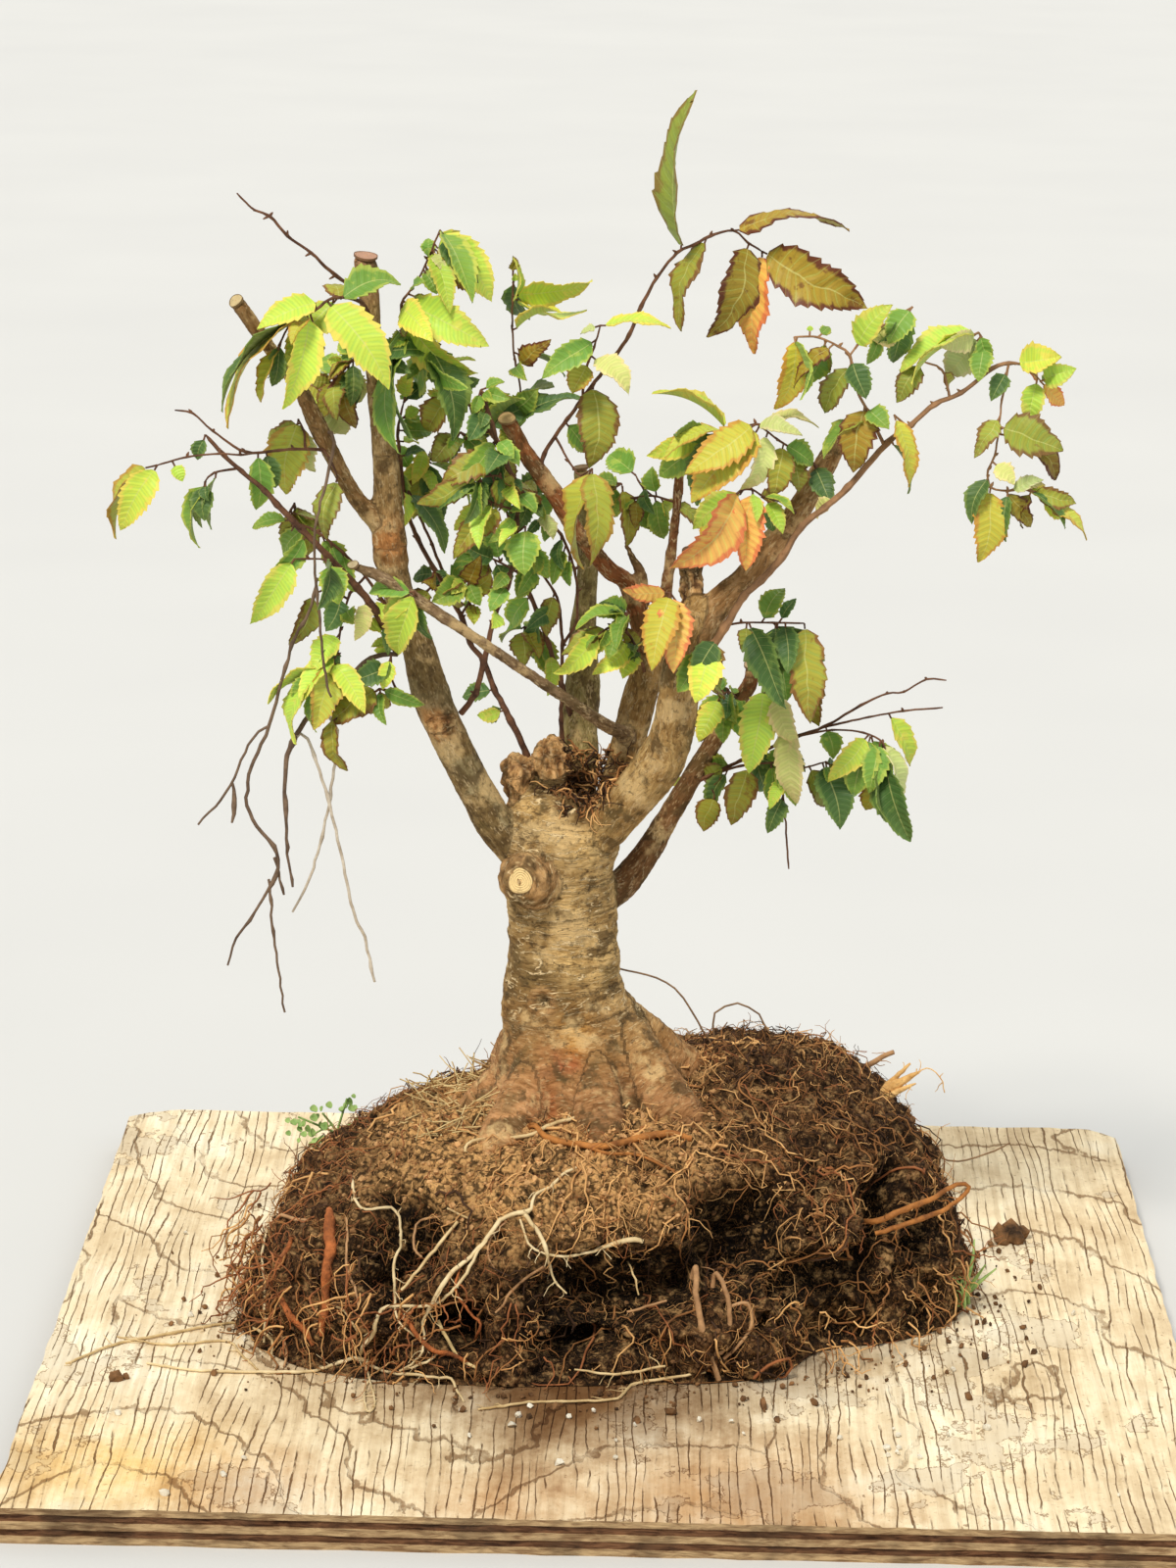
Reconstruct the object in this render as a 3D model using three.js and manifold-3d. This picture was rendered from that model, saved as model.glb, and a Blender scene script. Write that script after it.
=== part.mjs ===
// A field-dug zelkova bonsai with cut-back limbs, on its own root ball on a square plywood board.
// Units are millimetres and +Z is up. The origin is the middle of the board's underside.
// -Y is the front, where the light right limb and the long arching branch come forward.
import * as THREE from 'three';
import { mergeVertices } from 'three/addons/utils/BufferGeometryUtils.js';
import Module from 'manifold-3d';

const wasm = await Module();
wasm.setup();

// Driving dimensions
const BOARD_SIDE = 406;
const BOARD_T = 12.7;
const CORNER_CHIP = 12;
const GAP = 0.3;
const THREAD_R = 0.5;
const SEAT_REACH = 4;

// Leaves: blade thickness, stalk width, and the shape that all blades share
const BLADE_T = 0.7;
const STALK_W = 0.8;
const STALK_MIN = 2;
const KEEL_FOLD = 0.28;
const ARCH_SHARE = 0.1;
const HUB_SHARE = 0.42;
const NOTCH_SHARE = 0.72;
const EXTRA_TOOTH_LENGTHS = [28, 40, 52];
const SMALLEST_LEAF = 17;

// Soil mound: distance from the middle to its edge every 30 degrees, starting at +X
const SOIL_RIM = [128, 121, 110, 96, 106, 126, 132, 138, 104, 87, 93, 111];
const SOIL_HEIGHT = 78;
const SOIL_SHOULDER = { x: 80, y: 25, spread: 42, height: 24 };
const SOIL_MIDDLE = { x: -15, y: 0, spread: 40, height: 6 };
const SOIL_LEFT_SLOPE = 0.16;
const SOIL_LEFT_START = -30;
const SOIL_FLATNESS = 2.4;
const SOIL_SECTORS = 24;

// Hollows between the roots in the front of the mound: centre and half sizes
const SOIL_HOLLOWS = [
  [43, -74, 58, 17, 15, 15],
  [-75, -72, 60, 11, 12, 13],
  [-6, -88, 46, 15, 11, 12],
  [72, -66, 42, 14, 13, 11],
];

// Trunk: x, y, z and radius of each ring from the crotch down into the soil
const TRUNK = [
  [-22, 4, 202, 14], [-23, 2, 195, 19.5], [-24, 0, 186, 21.5], [-24, 0, 177, 20.8], [-23, 0, 168, 20],
  [-22, 0, 159, 19.5], [-22, 0, 143, 20.2], [-21, 0, 128, 22.5], [-19, 0, 117, 25], [-17, 0, 107, 29],
  [-17, 0, 98, 31.5], [-15, 0, 74, 35],
];

// Buttress roots that spread from the trunk into the soil
const BUTTRESSES = [
  [[-25, -12, 112, 12], [-36, -26, 97, 8], [-51, -47, 74, 4]],
  [[-12, -16, 110, 12], [-8, -32, 95, 8], [-3, -53, 73, 4]],
  [[0, -10, 110, 12], [14, -20, 96, 8], [35, -35, 75, 4]],
  [[2, 4, 108, 12], [20, 8, 95, 8], [43, 14, 75, 4]],
  [[-34, 0, 108, 11], [-50, -2, 94, 7], [-68, -6, 72, 3.5]],
  [[-30, 14, 108, 12], [-40, 30, 94, 7], [-48, 42, 76, 4]],
  [[-6, 16, 108, 12], [4, 34, 94, 7.5], [12, 48, 76, 4]],
];

// Thick limbs, all sawn short: x, y, z and radius along each one
const LIMBS = {
  left_limb: [
    [-30, 0, 172, 8], [-38, -4, 184, 7.9], [-47, -8, 195, 6.8], [-64, -14, 229, 6.5],
    [-70, -15, 244, 6.9], [-75, -15, 262, 5.8], [-82, -14, 281, 5.4], [-85, -13, 297, 6.1],
    [-86, -12, 322, 4.8], [-89, -12, 346, 3.6], [-91, -10, 367, 3.5], [-94, -6, 396, 4.2],
  ],
  left_fork: [
    [-86, -13, 302, 4.4], [-95, -17, 312, 3.1], [-104, -22, 329, 3.1], [-110, -25, 342, 3.3],
    [-115, -27, 353, 2.9], [-124, -30, 366, 2.6], [-136, -34, 384, 2.7],
  ],
  crossing_branch: [
    [1, 5, 224, 3.4], [-4, -5, 229, 2.7], [-10, -16, 235, 2.4], [-22, -28, 246, 2.1], [-47, -38, 265, 2.1],
    [-65, -43, 278, 2.2], [-83, -44, 290, 2.2], [-95, -44, 295, 1.7],
  ],
  back_limb: [
    [-20, 6, 190, 9], [-18, 14, 207, 7.8], [-18, 24, 223, 7.1], [-17, 32, 238, 6.5],
    [-17, 38, 257, 4.9], [-16, 42, 271, 4], [-16, 44, 285, 4.3], [-17, 46, 299, 3.6],
    [-19, 48, 313, 3.1],
  ],
  red_limb: [
    [6, 9, 258, 4.2], [-1, 4, 280, 3.3], [-8, 1, 286, 3.2], [-14, -2, 294, 3.2], [-21, -5, 303, 3],
    [-26, -7, 313, 3.5], [-36, -9, 327, 3], [-44, -11, 341, 3.1],
  ],
  dry_stub: [[5, 9, 272, 2.4], [4, 6, 283, 2], [1, 4, 289, 1.6], [-2, 3, 295, 1]],
  middle_limb: [
    [-9, 2, 189, 6.5], [-3, 5, 207, 6.7], [0, 7, 219, 6.3], [3, 9, 234, 6.2], [6, 11, 246, 5.7],
    [9, 12, 258, 5], [12, 12, 270, 3.6],
  ],
  upright_spur: [
    [11, 12, 262, 3], [13, 12, 279, 2.4], [15, 10, 299, 1.9], [16, 9, 311, 1.9], [17, 8, 333, 1.8],
  ],
  right_limb: [
    [-19, -4, 184, 9], [-9, -8, 193, 8.6], [0, -13, 204, 8.2], [10, -20, 219, 8.5], [15, -24, 230, 8],
    [17, -28, 242, 7.4], [18, -30, 252, 7.1], [20, -33, 266, 6.6], [23, -34, 280, 5.5],
  ],
  right_upper_limb: [
    [21, -33, 268, 6.4], [31, -32, 282, 5.2], [41, -30, 291, 4.8], [48, -28, 301, 4.8],
    [56, -26, 311, 4.5], [67, -22, 330, 3.9], [72, -20, 341, 3.5],
  ],
  rotten_stub: [[22, -31, 272, 4.8], [22, -28, 282, 4.1], [21, -26, 289, 3.6], [21, -25, 298, 3.5]],
  lower_right_limb: [
    [-10, 6, 163, 6], [-2, 10, 167, 5.8], [6, 14, 176, 5.1], [14, 18, 189, 4.3], [22, 20, 203, 3.9],
    [30, 22, 217, 3.6], [35, 23, 226, 3.2], [44, 23, 241, 2.9], [44, 23, 247, 2.7],
  ],
  front_collar: [[-28, -8, 173, 11], [-33, -18, 174, 9.8], [-35, -23, 174, 6.8], [-36, -25, 174, 4.3]],
  crotch_knob_left: [[-36, 0, 194, 6], [-38, -1, 206, 5.2], [-39, -2, 213, 6], [-38, -2, 216, 4]],
  crotch_knob_right: [[-25, 2, 194, 7], [-26, 1, 206, 6], [-27, 0, 214, 7], [-28, 0, 219, 4.5]],
  left_knot: [[-66, -15, 236, 5], [-61, -20, 234, 5.2], [-60, -22, 234, 4]],
};

// Leafy shoots. A twig is a row of x, y, z and radius. A leaf is its base x, y, z, its tip x, y, z,
// its width, and how many degrees it is turned about its length from facing up and forwards.
const SHOOTS = {
  crown_left_shoot: {
    twigs: [
      [
        [-92, -9, 376, 0.9], [-95, -20, 383, 0.9], [-103, -33, 386, 0.7], [-110, -39, 382, 0.7],
        [-116, -42, 380, 0.5], [-121, -43, 371, 0.5]
      ],
    ],
    leaves: [
      [-105, -34, 384, -83, -44, 357, 16, 0],
      [-101, -31, 387, -81, -22, 392, 12, 0],
      [-109, -39, 385, -128, -48, 378, 10, 0],
      [-115, -42, 380, -140, -52, 345, 18, 55],
      [-111, -40, 379, -118, -50, 350, 13, -40],
      [-121, -43, 369, -128, -46, 352, 8, 45],
      [-109, -39, 376, -113, -42, 358, 8, -25],
    ],
  },
  crown_back_shoot: {
    twigs: [
      [
        [-89, -10, 366, 0.9], [-96, -4, 362, 0.7], [-102, 0, 356, 0.7], [-109, 5, 343, 0.5]
      ],
    ],
    leaves: [
      [-106, 1, 353, -112, -4, 340, 8, 0],
      [-100, -1, 358, -98, -2, 335, 10, 35],
      [-96, -4, 362, -104, 2, 365, 7, 0],
      [-102, 0, 355, -95, 6, 343, 9, 0],
      [-108, 3, 347, -102, 8, 330, 10, 0],
      [-109, 5, 343, -118, 8, 347, 7, 0],
      [-104, 1, 353, -110, 12, 359, 9, 0],
    ],
  },
  budded_twig: {
    twigs: [
      [
        [-93, -8, 383, 1.0], [-98, -12, 387, 0.9], [-104, -14, 391, 0.9], [-112, -17, 399, 0.7],
        [-120, -19, 405, 0.7], [-126, -21, 412, 0.7], [-131, -22, 414, 0.5], [-137, -24, 420, 0.5]
      ],
      [
        [-104, -14, 391, 0.7], [-106, -16, 390, 0.5]
      ],
      [
        [-112, -17, 399, 0.7], [-114, -18, 398, 0.5]
      ],
      [
        [-120, -19, 405, 0.7], [-120, -20, 407, 0.5]
      ],
      [
        [-126, -21, 412, 0.7], [-128, -22, 411, 0.5]
      ],
    ],
    leaves: [],
  },
  far_left_shoot: {
    twigs: [
      [
        [-105, -22, 330, 0.9], [-107, -26, 332, 0.9], [-122, -34, 333, 0.7], [-133, -38, 333, 0.7],
        [-144, -38, 340, 0.5], [-151, -38, 346, 0.5], [-157, -38, 347, 0.5]
      ],
      [
        [-122, -34, 333, 0.7], [-141, -48, 334, 0.5], [-152, -50, 333, 0.5], [-162, -50, 330, 0.5]
      ],
      [
        [-113, -29, 333, 0.7], [-114, -24, 338, 0.5], [-116, -22, 342, 0.5]
      ],
      [
        [-107, -26, 332, 0.7], [-104, -28, 328, 0.5], [-102, -28, 323, 0.5]
      ],
    ],
    leaves: [
      [-163, -50, 330, -175, -54, 308, 11, -15],
      [-166, -50, 329, -179, -45, 304, 12, 55],
      [-157, -50, 332, -153, -52, 325, 5, 0],
      [-116, -22, 342, -121, -22, 315, 15, 0],
      [-129, -38, 332, -130, -31, 311, 9, -20],
      [-126, -36, 332, -123, -33, 319, 8, 0],
      [-102, -28, 323, -107, -32, 302, 10, 0],
      [-115, -23, 339, -112, -16, 321, 8, 0],
      [-116, -22, 340, -128, -16, 334, 6, 0],
    ],
  },
  long_left_shoot: {
    twigs: [
      [
        [-82, -14, 259, 2.1], [-89, -24, 275, 1.9], [-105, -33, 296, 1.5], [-126, -40, 320, 1.2],
        [-140, -44, 333, 1.0], [-146, -45, 340, 0.9]
      ],
      [
        [-99, -30, 289, 0.7], [-105, -36, 295, 0.5], [-116, -39, 296, 0.5]
      ],
      [
        [-135, -42, 328, 0.7], [-143, -46, 327, 0.5], [-146, -47, 324, 0.5]
      ],
      [
        [-116, -37, 308, 0.7], [-117, -40, 306, 0.5]
      ],
    ],
    leaves: [
      [-116, -39, 295, -130, -44, 273, 11, -25],
      [-104, -36, 295, -100, -41, 281, 10, 0],
      [-147, -47, 323, -147, -50, 311, 8, 0],
      [-146, -47, 323, -150, -43, 300, 10, 55],
      [-92, -26, 279, -95, -34, 267, 6, 0],
      [-85, -20, 267, -93, -26, 269, 6, 0],
    ],
  },
  thin_left_shoot: {
    twigs: [
      [
        [-82, -12, 268, 0.9], [-87, -16, 277, 0.9], [-94, -20, 288, 0.7], [-110, -20, 302, 0.7],
        [-119, -20, 306, 0.5], [-119, -17, 309, 0.5], [-118, -15, 311, 0.5]
      ],
      [
        [-93, -20, 286, 0.7], [-98, -19, 280, 0.7], [-100, -22, 274, 0.5], [-102, -30, 260, 0.5],
        [-106, -33, 255, 0.5], [-110, -34, 255, 0.5]
      ],
      [
        [-99, -19, 278, 0.7], [-105, -22, 282, 0.5], [-110, -25, 281, 0.5]
      ],
    ],
    leaves: [
      [-118, -15, 311, -113, -9, 290, 10, 0],
      [-101, -20, 278, -106, -27, 268, 9, 0],
      [-110, -25, 281, -118, -30, 263, 9, -35],
      [-101, -26, 267, -110, -35, 255, 9, 0],
      [-103, -30, 259, -109, -38, 235, 11, -20],
      [-110, -34, 254, -117, -38, 230, 11, 40],
      [-107, -20, 301, -103, -12, 287, 9, 0],
      [-114, -20, 304, -122, -12, 290, 8, 0],
    ],
  },
  knot_leaf_shoot: {
    twigs: [
      [
        [-74, -16, 242, 0.9], [-81, -24, 246, 0.7], [-87, -28, 248, 0.5]
      ],
      [
        [-81, -24, 246, 0.7], [-83, -27, 252, 0.5], [-83, -29, 260, 0.5]
      ],
    ],
    leaves: [
      [-87, -28, 247, -104, -32, 236, 13, 0],
      [-103, -32, 237, -99, -34, 219, 8, 40],
      [-83, -29, 261, -86, -33, 249, 6, 0],
    ],
  },
  crossing_branch_leaf: {
    twigs: [
      [
        [-73, -44, 284, 0.7], [-74, -47, 287, 0.5]
      ],
    ],
    leaves: [
      [-74, -47, 287, -81, -38, 262, 12, 0],
    ],
  },
  knot_shoot: {
    twigs: [
      [
        [-59, -13, 236, 1.6], [-54, -16, 244, 1.4], [-51, -18, 256, 1.4], [-48, -18, 270, 1.2],
        [-43, -17, 283, 1.2], [-40, -15, 305, 1.0], [-40, -16, 319, 1.0], [-44, -17, 326, 1.0],
        [-53, -20, 353, 1.0]
      ],
      [
        [-40, -16, 310, 0.7], [-49, -21, 314, 0.5]
      ],
      [
        [-41, -16, 320, 0.7], [-46, -20, 323, 0.5], [-53, -23, 323, 0.5]
      ],
      [
        [-41, -15, 301, 0.5], [-37, -18, 305, 0.5]
      ],
      [
        [-44, -17, 326, 0.5], [-47, -20, 330, 0.5]
      ],
    ],
    leaves: [
      [-36, -18, 306, -36, -25, 289, 12, 0],
      [-49, -21, 313, -53, -34, 300, 7, 25],
      [-45, -19, 312, -62, -26, 295, 10, -30],
      [-53, -23, 323, -68, -25, 312, 8, 0],
      [-47, -20, 330, -67, -26, 320, 11, 0],
      [-49, -21, 314, -59, -27, 319, 8, 0],
      [-40, -16, 317, -33, -22, 311, 7, 0],
      [-53, -20, 352, -43, -26, 351, 6, 0],
      [-51, -19, 346, -57, -24, 336, 8, 0],
      [-46, -18, 332, -52, -14, 321, 8, 0],
      [-43, -17, 284, -49, -24, 276, 7, 0],
      [-47, -18, 334, -39, -22, 327, 7, 0],
    ],
  },
  crotch_shoot: {
    twigs: [
      [
        [-33, 2, 207, 1.6], [-36, 4, 217, 1.6], [-48, 8, 240, 1.4], [-60, 8, 266, 1.2],
        [-76, 6, 295, 1.1], [-80, 5, 307, 0.9], [-82, 4, 323, 0.9], [-83, 4, 334, 0.7],
        [-81, 4, 344, 0.5]
      ],
      [
        [-60, 8, 266, 0.9], [-66, 12, 279, 0.9], [-77, 15, 305, 0.7], [-79, 16, 318, 0.5]
      ],
      [
        [-60, 8, 267, 0.7], [-57, 4, 274, 0.5], [-58, 2, 281, 0.5]
      ],
      [
        [-77, 15, 306, 0.7], [-73, 14, 314, 0.5], [-73, 13, 322, 0.5]
      ],
      [
        [-80, 5, 307, 0.7], [-79, 1, 313, 0.5]
      ],
      [
        [-67, 7, 278, 0.7], [-71, 2, 278, 0.5]
      ],
    ],
    leaves: [
      [-79, 1, 314, -64, -4, 293, 11, -35],
      [-74, 13, 325, -78, 8, 314, 6, 0],
      [-73, 13, 320, -71, 8, 312, 6, 0],
      [-58, 2, 281, -70, -3, 274, 10, 0],
      [-58, 2, 281, -53, -2, 273, 7, 0],
      [-57, 3, 278, -53, -1, 290, 8, 0],
      [-71, 2, 278, -76, -3, 272, 6, 0],
      [-48, 8, 240, -60, 12, 236, 7, 0],
      [-81, 4, 344, -74, 10, 350, 7, 0],
      [-82, 4, 330, -86, 12, 309, 10, 25],
      [-83, 4, 334, -71, 8, 333, 8, 0],
      [-79, 16, 317, -85, 20, 326, 7, 0],
      [-69, 7, 282, -78, 12, 279, 7, 0],
      [-73, 13, 322, -62, 18, 324, 8, 0],
      [-66, 12, 279, -55, 18, 282, 8, 0],
    ],
  },
  inner_red_shoot: {
    twigs: [
      [
        [-23, 8, 216, 1.4], [-24, 8, 229, 1.1], [-24, 6, 257, 0.9], [-25, 5, 270, 0.9],
        [-27, 4, 277, 0.7], [-33, 3, 286, 0.7], [-36, 2, 294, 0.5]
      ],
      [
        [-24, 6, 257, 0.9], [-19, 6, 266, 0.7], [-19, 6, 277, 0.7], [-20, 5, 285, 0.7],
        [-25, 3, 298, 0.7], [-40, -2, 316, 0.9], [-50, -5, 336, 0.9], [-58, -6, 346, 0.9],
        [-71, -6, 358, 0.9], [-79, -8, 370, 0.7], [-81, -13, 381, 0.7], [-76, -14, 389, 0.5],
        [-72, -13, 397, 0.5], [-68, -12, 407, 0.5]
      ],
      [
        [-47, -4, 331, 0.5], [-44, 2, 340, 0.5], [-40, 3, 348, 0.5], [-43, 0, 372, 0.5],
        [-43, 0, 391, 0.5]
      ],
      [
        [-71, -6, 358, 0.7], [-71, -12, 367, 0.5]
      ],
      [
        [-58, -6, 346, 0.7], [-65, -2, 348, 0.5]
      ],
      [
        [-72, -13, 397, 0.5], [-73, -13, 395, 0.5]
      ],
      [
        [-50, -5, 336, 0.7], [-57, 0, 333, 0.5], [-61, 3, 334, 0.5]
      ],
    ],
    leaves: [
      [-67, -12, 407, -54, -34, 387, 12, -45],
      [-67, -12, 408, -48, -14, 384, 13, 10],
      [-72, -13, 397, -72, -10, 404, 5, 0],
      [-74, -14, 394, -69, -18, 386, 6, 0],
      [-69, -12, 402, -59, -10, 388, 7, -35],
      [-80, -14, 382, -51, -24, 369, 14, 25],
      [-71, -12, 368, -61, -22, 336, 15, -25],
      [-79, -10, 369, -83, -36, 334, 17, 60],
      [-75, -8, 364, -67, 2, 348, 10, 0],
      [-78, -8, 370, -84, -20, 368, 6, 0],
      [-45, -1, 335, -19, 4, 348, 18, -40],
      [-55, -5, 343, -44, 2, 348, 8, 0],
      [-51, -4, 337, -38, 2, 344, 11, 0],
      [-43, 0, 383, -15, 3, 387, 12, 60],
      [-43, 0, 371, -26, -8, 380, 9, -50],
      [-42, 1, 358, -30, -4, 368, 7, 50],
      [-42, 0, 390, -42, 0, 397, 4, 0],
      [-65, -2, 348, -74, 4, 334, 11, 0],
      [-61, 3, 334, -71, 0, 324, 10, 0],
      [-61, 3, 334, -52, 8, 323, 10, 0],
      [-58, -6, 346, -50, 5, 332, 8, 0],
      [-36, 2, 294, -29, -2, 283, 7, 0],
      [-33, 3, 286, -40, 0, 275, 8, 0],
      [-27, 4, 277, -30, 2, 261, 8, 0],
      [-33, 0, 307, -27, -4, 298, 6, 0],
      [-25, 4, 293, -29, -1, 281, 6, 0],
    ],
  },
  back_limb_shoot: {
    twigs: [
      [
        [-19, 22, 222, 1.4], [-24, 18, 239, 1.4], [-29, 16, 255, 1.2], [-40, 16, 281, 1.1],
        [-44, 18, 300, 0.7], [-47, 20, 310, 0.5]
      ],
      [
        [-29, 16, 255, 0.7], [-38, 22, 260, 0.5]
      ],
      [
        [-40, 16, 281, 0.7], [-54, 24, 286, 0.5]
      ],
      [
        [-44, 18, 300, 0.7], [-34, 24, 310, 0.5]
      ],
    ],
    leaves: [
      [-38, 22, 260, -38, 16, 247, 9, 0],
      [-54, 24, 286, -55, 18, 274, 9, 0],
      [-47, 20, 284, -51, 26, 295, 9, 0],
      [-34, 24, 310, -30, 20, 300, 8, 0],
      [-47, 20, 310, -57, 26, 302, 9, 0],
      [-47, 20, 310, -44, 26, 321, 8, 0],
      [-39, 22, 306, -32, 28, 316, 9, 0],
      [-36, 16, 273, -43, 24, 259, 9, 0],
      [-54, 24, 286, -64, 28, 280, 8, 0],
      [-34, 20, 259, -29, 28, 241, 9, 0],
    ],
  },
  long_top_shoot: {
    twigs: [
      [
        [-32, -9, 321, 1.2], [-31, -9, 329, 1.0], [-7, -17, 365, 0.9], [7, -20, 393, 0.7],
        [14, -21, 402, 0.7], [20, -21, 405, 0.7], [33, -21, 410, 0.5], [43, -21, 403, 0.5]
      ],
      [
        [-18, -14, 349, 0.7], [-17, -20, 360, 0.7], [-12, -25, 377, 0.5]
      ],
      [
        [-27, -10, 335, 0.7], [-18, -22, 324, 0.5], [-14, -24, 327, 0.5]
      ],
    ],
    leaves: [
      [15, -21, 403, 15, -26, 458, 23, -65],
      [24, -21, 407, 13, -28, 377, 14, 45],
      [33, -21, 410, 72, -26, 416, 17, -30],
      [44, -21, 403, 80, -28, 387, 17, 25],
      [38, -21, 405, 27, -30, 374, 14, -25],
      [43, -21, 401, 39, -24, 368, 14, 40],
      [-12, -25, 378, 12, -32, 380, 10, -40],
      [-12, -25, 377, -19, -27, 375, 4, 0],
      [-14, -24, 372, -32, -30, 360, 9, -30],
      [-15, -22, 366, -1, -30, 356, 9, 0],
      [-15, -21, 364, -21, -25, 353, 9, 0],
      [-14, -15, 355, -14, -20, 326, 14, 0],
      [-24, -12, 341, -16, -6, 329, 8, 0],
      [-15, -24, 327, -20, -21, 291, 14, 40],
      [-13, -24, 326, -11, -38, 296, 14, -30],
    ],
  },
  spur_shoot: {
    twigs: [
      [
        [16, 9, 309, 0.7], [7, 11, 311, 0.5], [-2, 12, 310, 0.5], [-4, 12, 315, 0.5]
      ],
      [
        [7, 11, 311, 0.5], [1, 18, 317, 0.5]
      ],
    ],
    leaves: [
      [-4, 12, 314, -1, 11, 292, 9, -30],
      [8, 11, 311, 12, 17, 294, 8, 0],
      [2, 12, 310, 1, 8, 300, 5, 0],
      [1, 18, 317, -9, 26, 323, 10, 0],
      [-2, 12, 310, -10, 20, 304, 9, 0],
    ],
  },
  middle_shoot: {
    twigs: [
      [
        [6, 8, 246, 0.9], [3, -4, 258, 0.7], [-1, -10, 266, 0.7], [-6, -14, 269, 0.5],
        [-10, -16, 267, 0.5]
      ],
      [
        [-1, -10, 266, 0.5], [0, -13, 273, 0.5]
      ],
    ],
    leaves: [
      [-10, -16, 266, -25, -22, 252, 9, -20],
      [0, -13, 273, -19, -20, 270, 8, 35],
      [3, -4, 258, -2, -12, 250, 8, 0],
      [-4, -13, 268, -7, -18, 258, 7, 0],
      [1, -12, 271, -10, -8, 277, 9, 0],
      [-8, -15, 268, -15, -8, 259, 8, 0],
    ],
  },
  hooded_shoot: {
    twigs: [
      [
        [21, -40, 273, 0.7], [17, -44, 283, 0.5], [14, -45, 288, 0.5]
      ],
    ],
    leaves: [
      [14, -46, 288, 8, -61, 265, 12, 0],
      [15, -46, 288, 16, -57, 263, 12, 0],
      [13, -45, 289, -3, -40, 288, 7, -50],
    ],
  },
  yellow_cluster_shoot: {
    twigs: [
      [
        [65, -24, 327, 0.9], [61, -32, 333, 0.7], [50, -40, 341, 0.5], [42, -43, 347, 0.5],
        [26, -34, 341, 0.5]
      ],
    ],
    leaves: [
      [42, -43, 347, 18, -54, 332, 13, 0],
      [42, -42, 344, 20, -49, 321, 16, 0],
      [44, -43, 346, 63, -44, 349, 8, -25],
      [52, -39, 341, 63, -36, 333, 9, 0],
      [46, -42, 344, 39, -47, 324, 9, -30],
      [52, -39, 340, 48, -45, 322, 10, 0],
      [56, -36, 337, 58, -40, 323, 8, 0],
      [33, -38, 344, 7, -34, 357, 12, 60],
      [26, -34, 341, 5, -38, 334, 9, -30],
      [37, -40, 345, 27, -34, 332, 9, 0],
    ],
  },
  orange_cluster_shoot: {
    twigs: [
      [
        [58, -26, 312, 0.9], [52, -38, 319, 0.7], [41, -52, 326, 0.5], [37, -54, 326, 0.5]
      ],
    ],
    leaves: [
      [37, -54, 326, 15, -65, 300, 15, -40],
      [38, -54, 325, 24, -43, 299, 11, 35],
      [41, -52, 325, 40, -58, 299, 12, 0],
      [46, -46, 322, 52, -52, 311, 6, 0],
      [37, -54, 326, 21, -54, 312, 9, -25],
    ],
  },
  arching_shoot: {
    twigs: [
      [
        [20, -34, 256, 2.7], [25, -43, 265, 2.0], [29, -46, 270, 1.9], [33, -48, 277, 1.9],
        [39, -49, 288, 1.7], [52, -48, 302, 1.7], [58, -47, 312, 1.5], [66, -46, 319, 1.5],
        [74, -44, 326, 1.5], [87, -41, 341, 1.4], [103, -37, 354, 1.2], [112, -36, 358, 1.0],
        [122, -34, 366, 1.0], [128, -33, 368, 0.9], [134, -33, 367, 0.5], [139, -33, 362, 0.5]
      ],
      [
        [128, -33, 368, 0.7], [125, -38, 346, 0.5], [122, -39, 332, 0.5], [123, -39, 326, 0.5],
        [136, -41, 326, 0.5], [142, -41, 321, 0.5]
      ],
      [
        [86, -41, 340, 0.9], [75, -47, 362, 0.7], [73, -48, 372, 0.7], [69, -48, 375, 0.5],
        [62, -48, 378, 0.5], [54, -48, 378, 0.5]
      ],
      [
        [73, -48, 372, 0.5], [77, -45, 377, 0.5], [85, -42, 382, 0.5], [94, -41, 388, 0.5]
      ],
      [
        [108, -36, 356, 0.7], [105, -38, 366, 0.5], [98, -39, 369, 0.5]
      ],
      [
        [121, -34, 366, 0.7], [119, -36, 375, 0.5], [117, -37, 379, 0.5]
      ],
      [
        [94, -39, 346, 0.7], [89, -42, 351, 0.5]
      ],
    ],
    leaves: [
      [130, -33, 368, 145, -38, 372, 11, 0],
      [139, -33, 362, 148, -30, 353, 6, 0],
      [138, -33, 363, 135, -37, 347, 8, 0],
      [125, -38, 347, 147, -44, 341, 15, 0],
      [132, -42, 344, 147, -36, 328, 10, -25],
      [123, -39, 335, 131, -44, 329, 7, 0],
      [129, -40, 325, 140, -44, 330, 5, 0],
      [137, -41, 326, 153, -41, 322, 7, 20],
      [142, -41, 321, 157, -44, 310, 8, -20],
      [128, -40, 325, 138, -36, 311, 7, 25],
      [123, -39, 326, 120, -42, 300, 12, 0],
      [117, -37, 379, 90, -42, 367, 13, 40],
      [119, -37, 378, 107, -30, 362, 12, 0],
      [120, -36, 375, 118, -42, 363, 8, 0],
      [105, -38, 366, 108, -30, 358, 6, 0],
      [98, -39, 369, 90, -42, 355, 8, 0],
      [89, -42, 351, 96, -46, 327, 10, -40],
      [75, -47, 374, 86, -52, 390, 10, 0],
      [94, -41, 388, 86, -46, 376, 10, 0],
      [78, -45, 378, 91, -38, 378, 8, 0],
      [92, -41, 386, 89, -34, 367, 9, -40],
      [73, -48, 371, 79, -52, 358, 9, 0],
      [73, -48, 369, 64, -44, 351, 9, 0],
      [67, -48, 375, 53, -54, 363, 8, 20],
      [55, -48, 378, 49, -46, 352, 11, -30],
      [62, -48, 378, 66, -44, 381, 4, 0],
      [79, -45, 354, 87, -52, 348, 8, 0],
      [79, -45, 355, 76, -50, 332, 13, 0],
      [70, -45, 322, 63, -38, 314, 7, 0],
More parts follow.
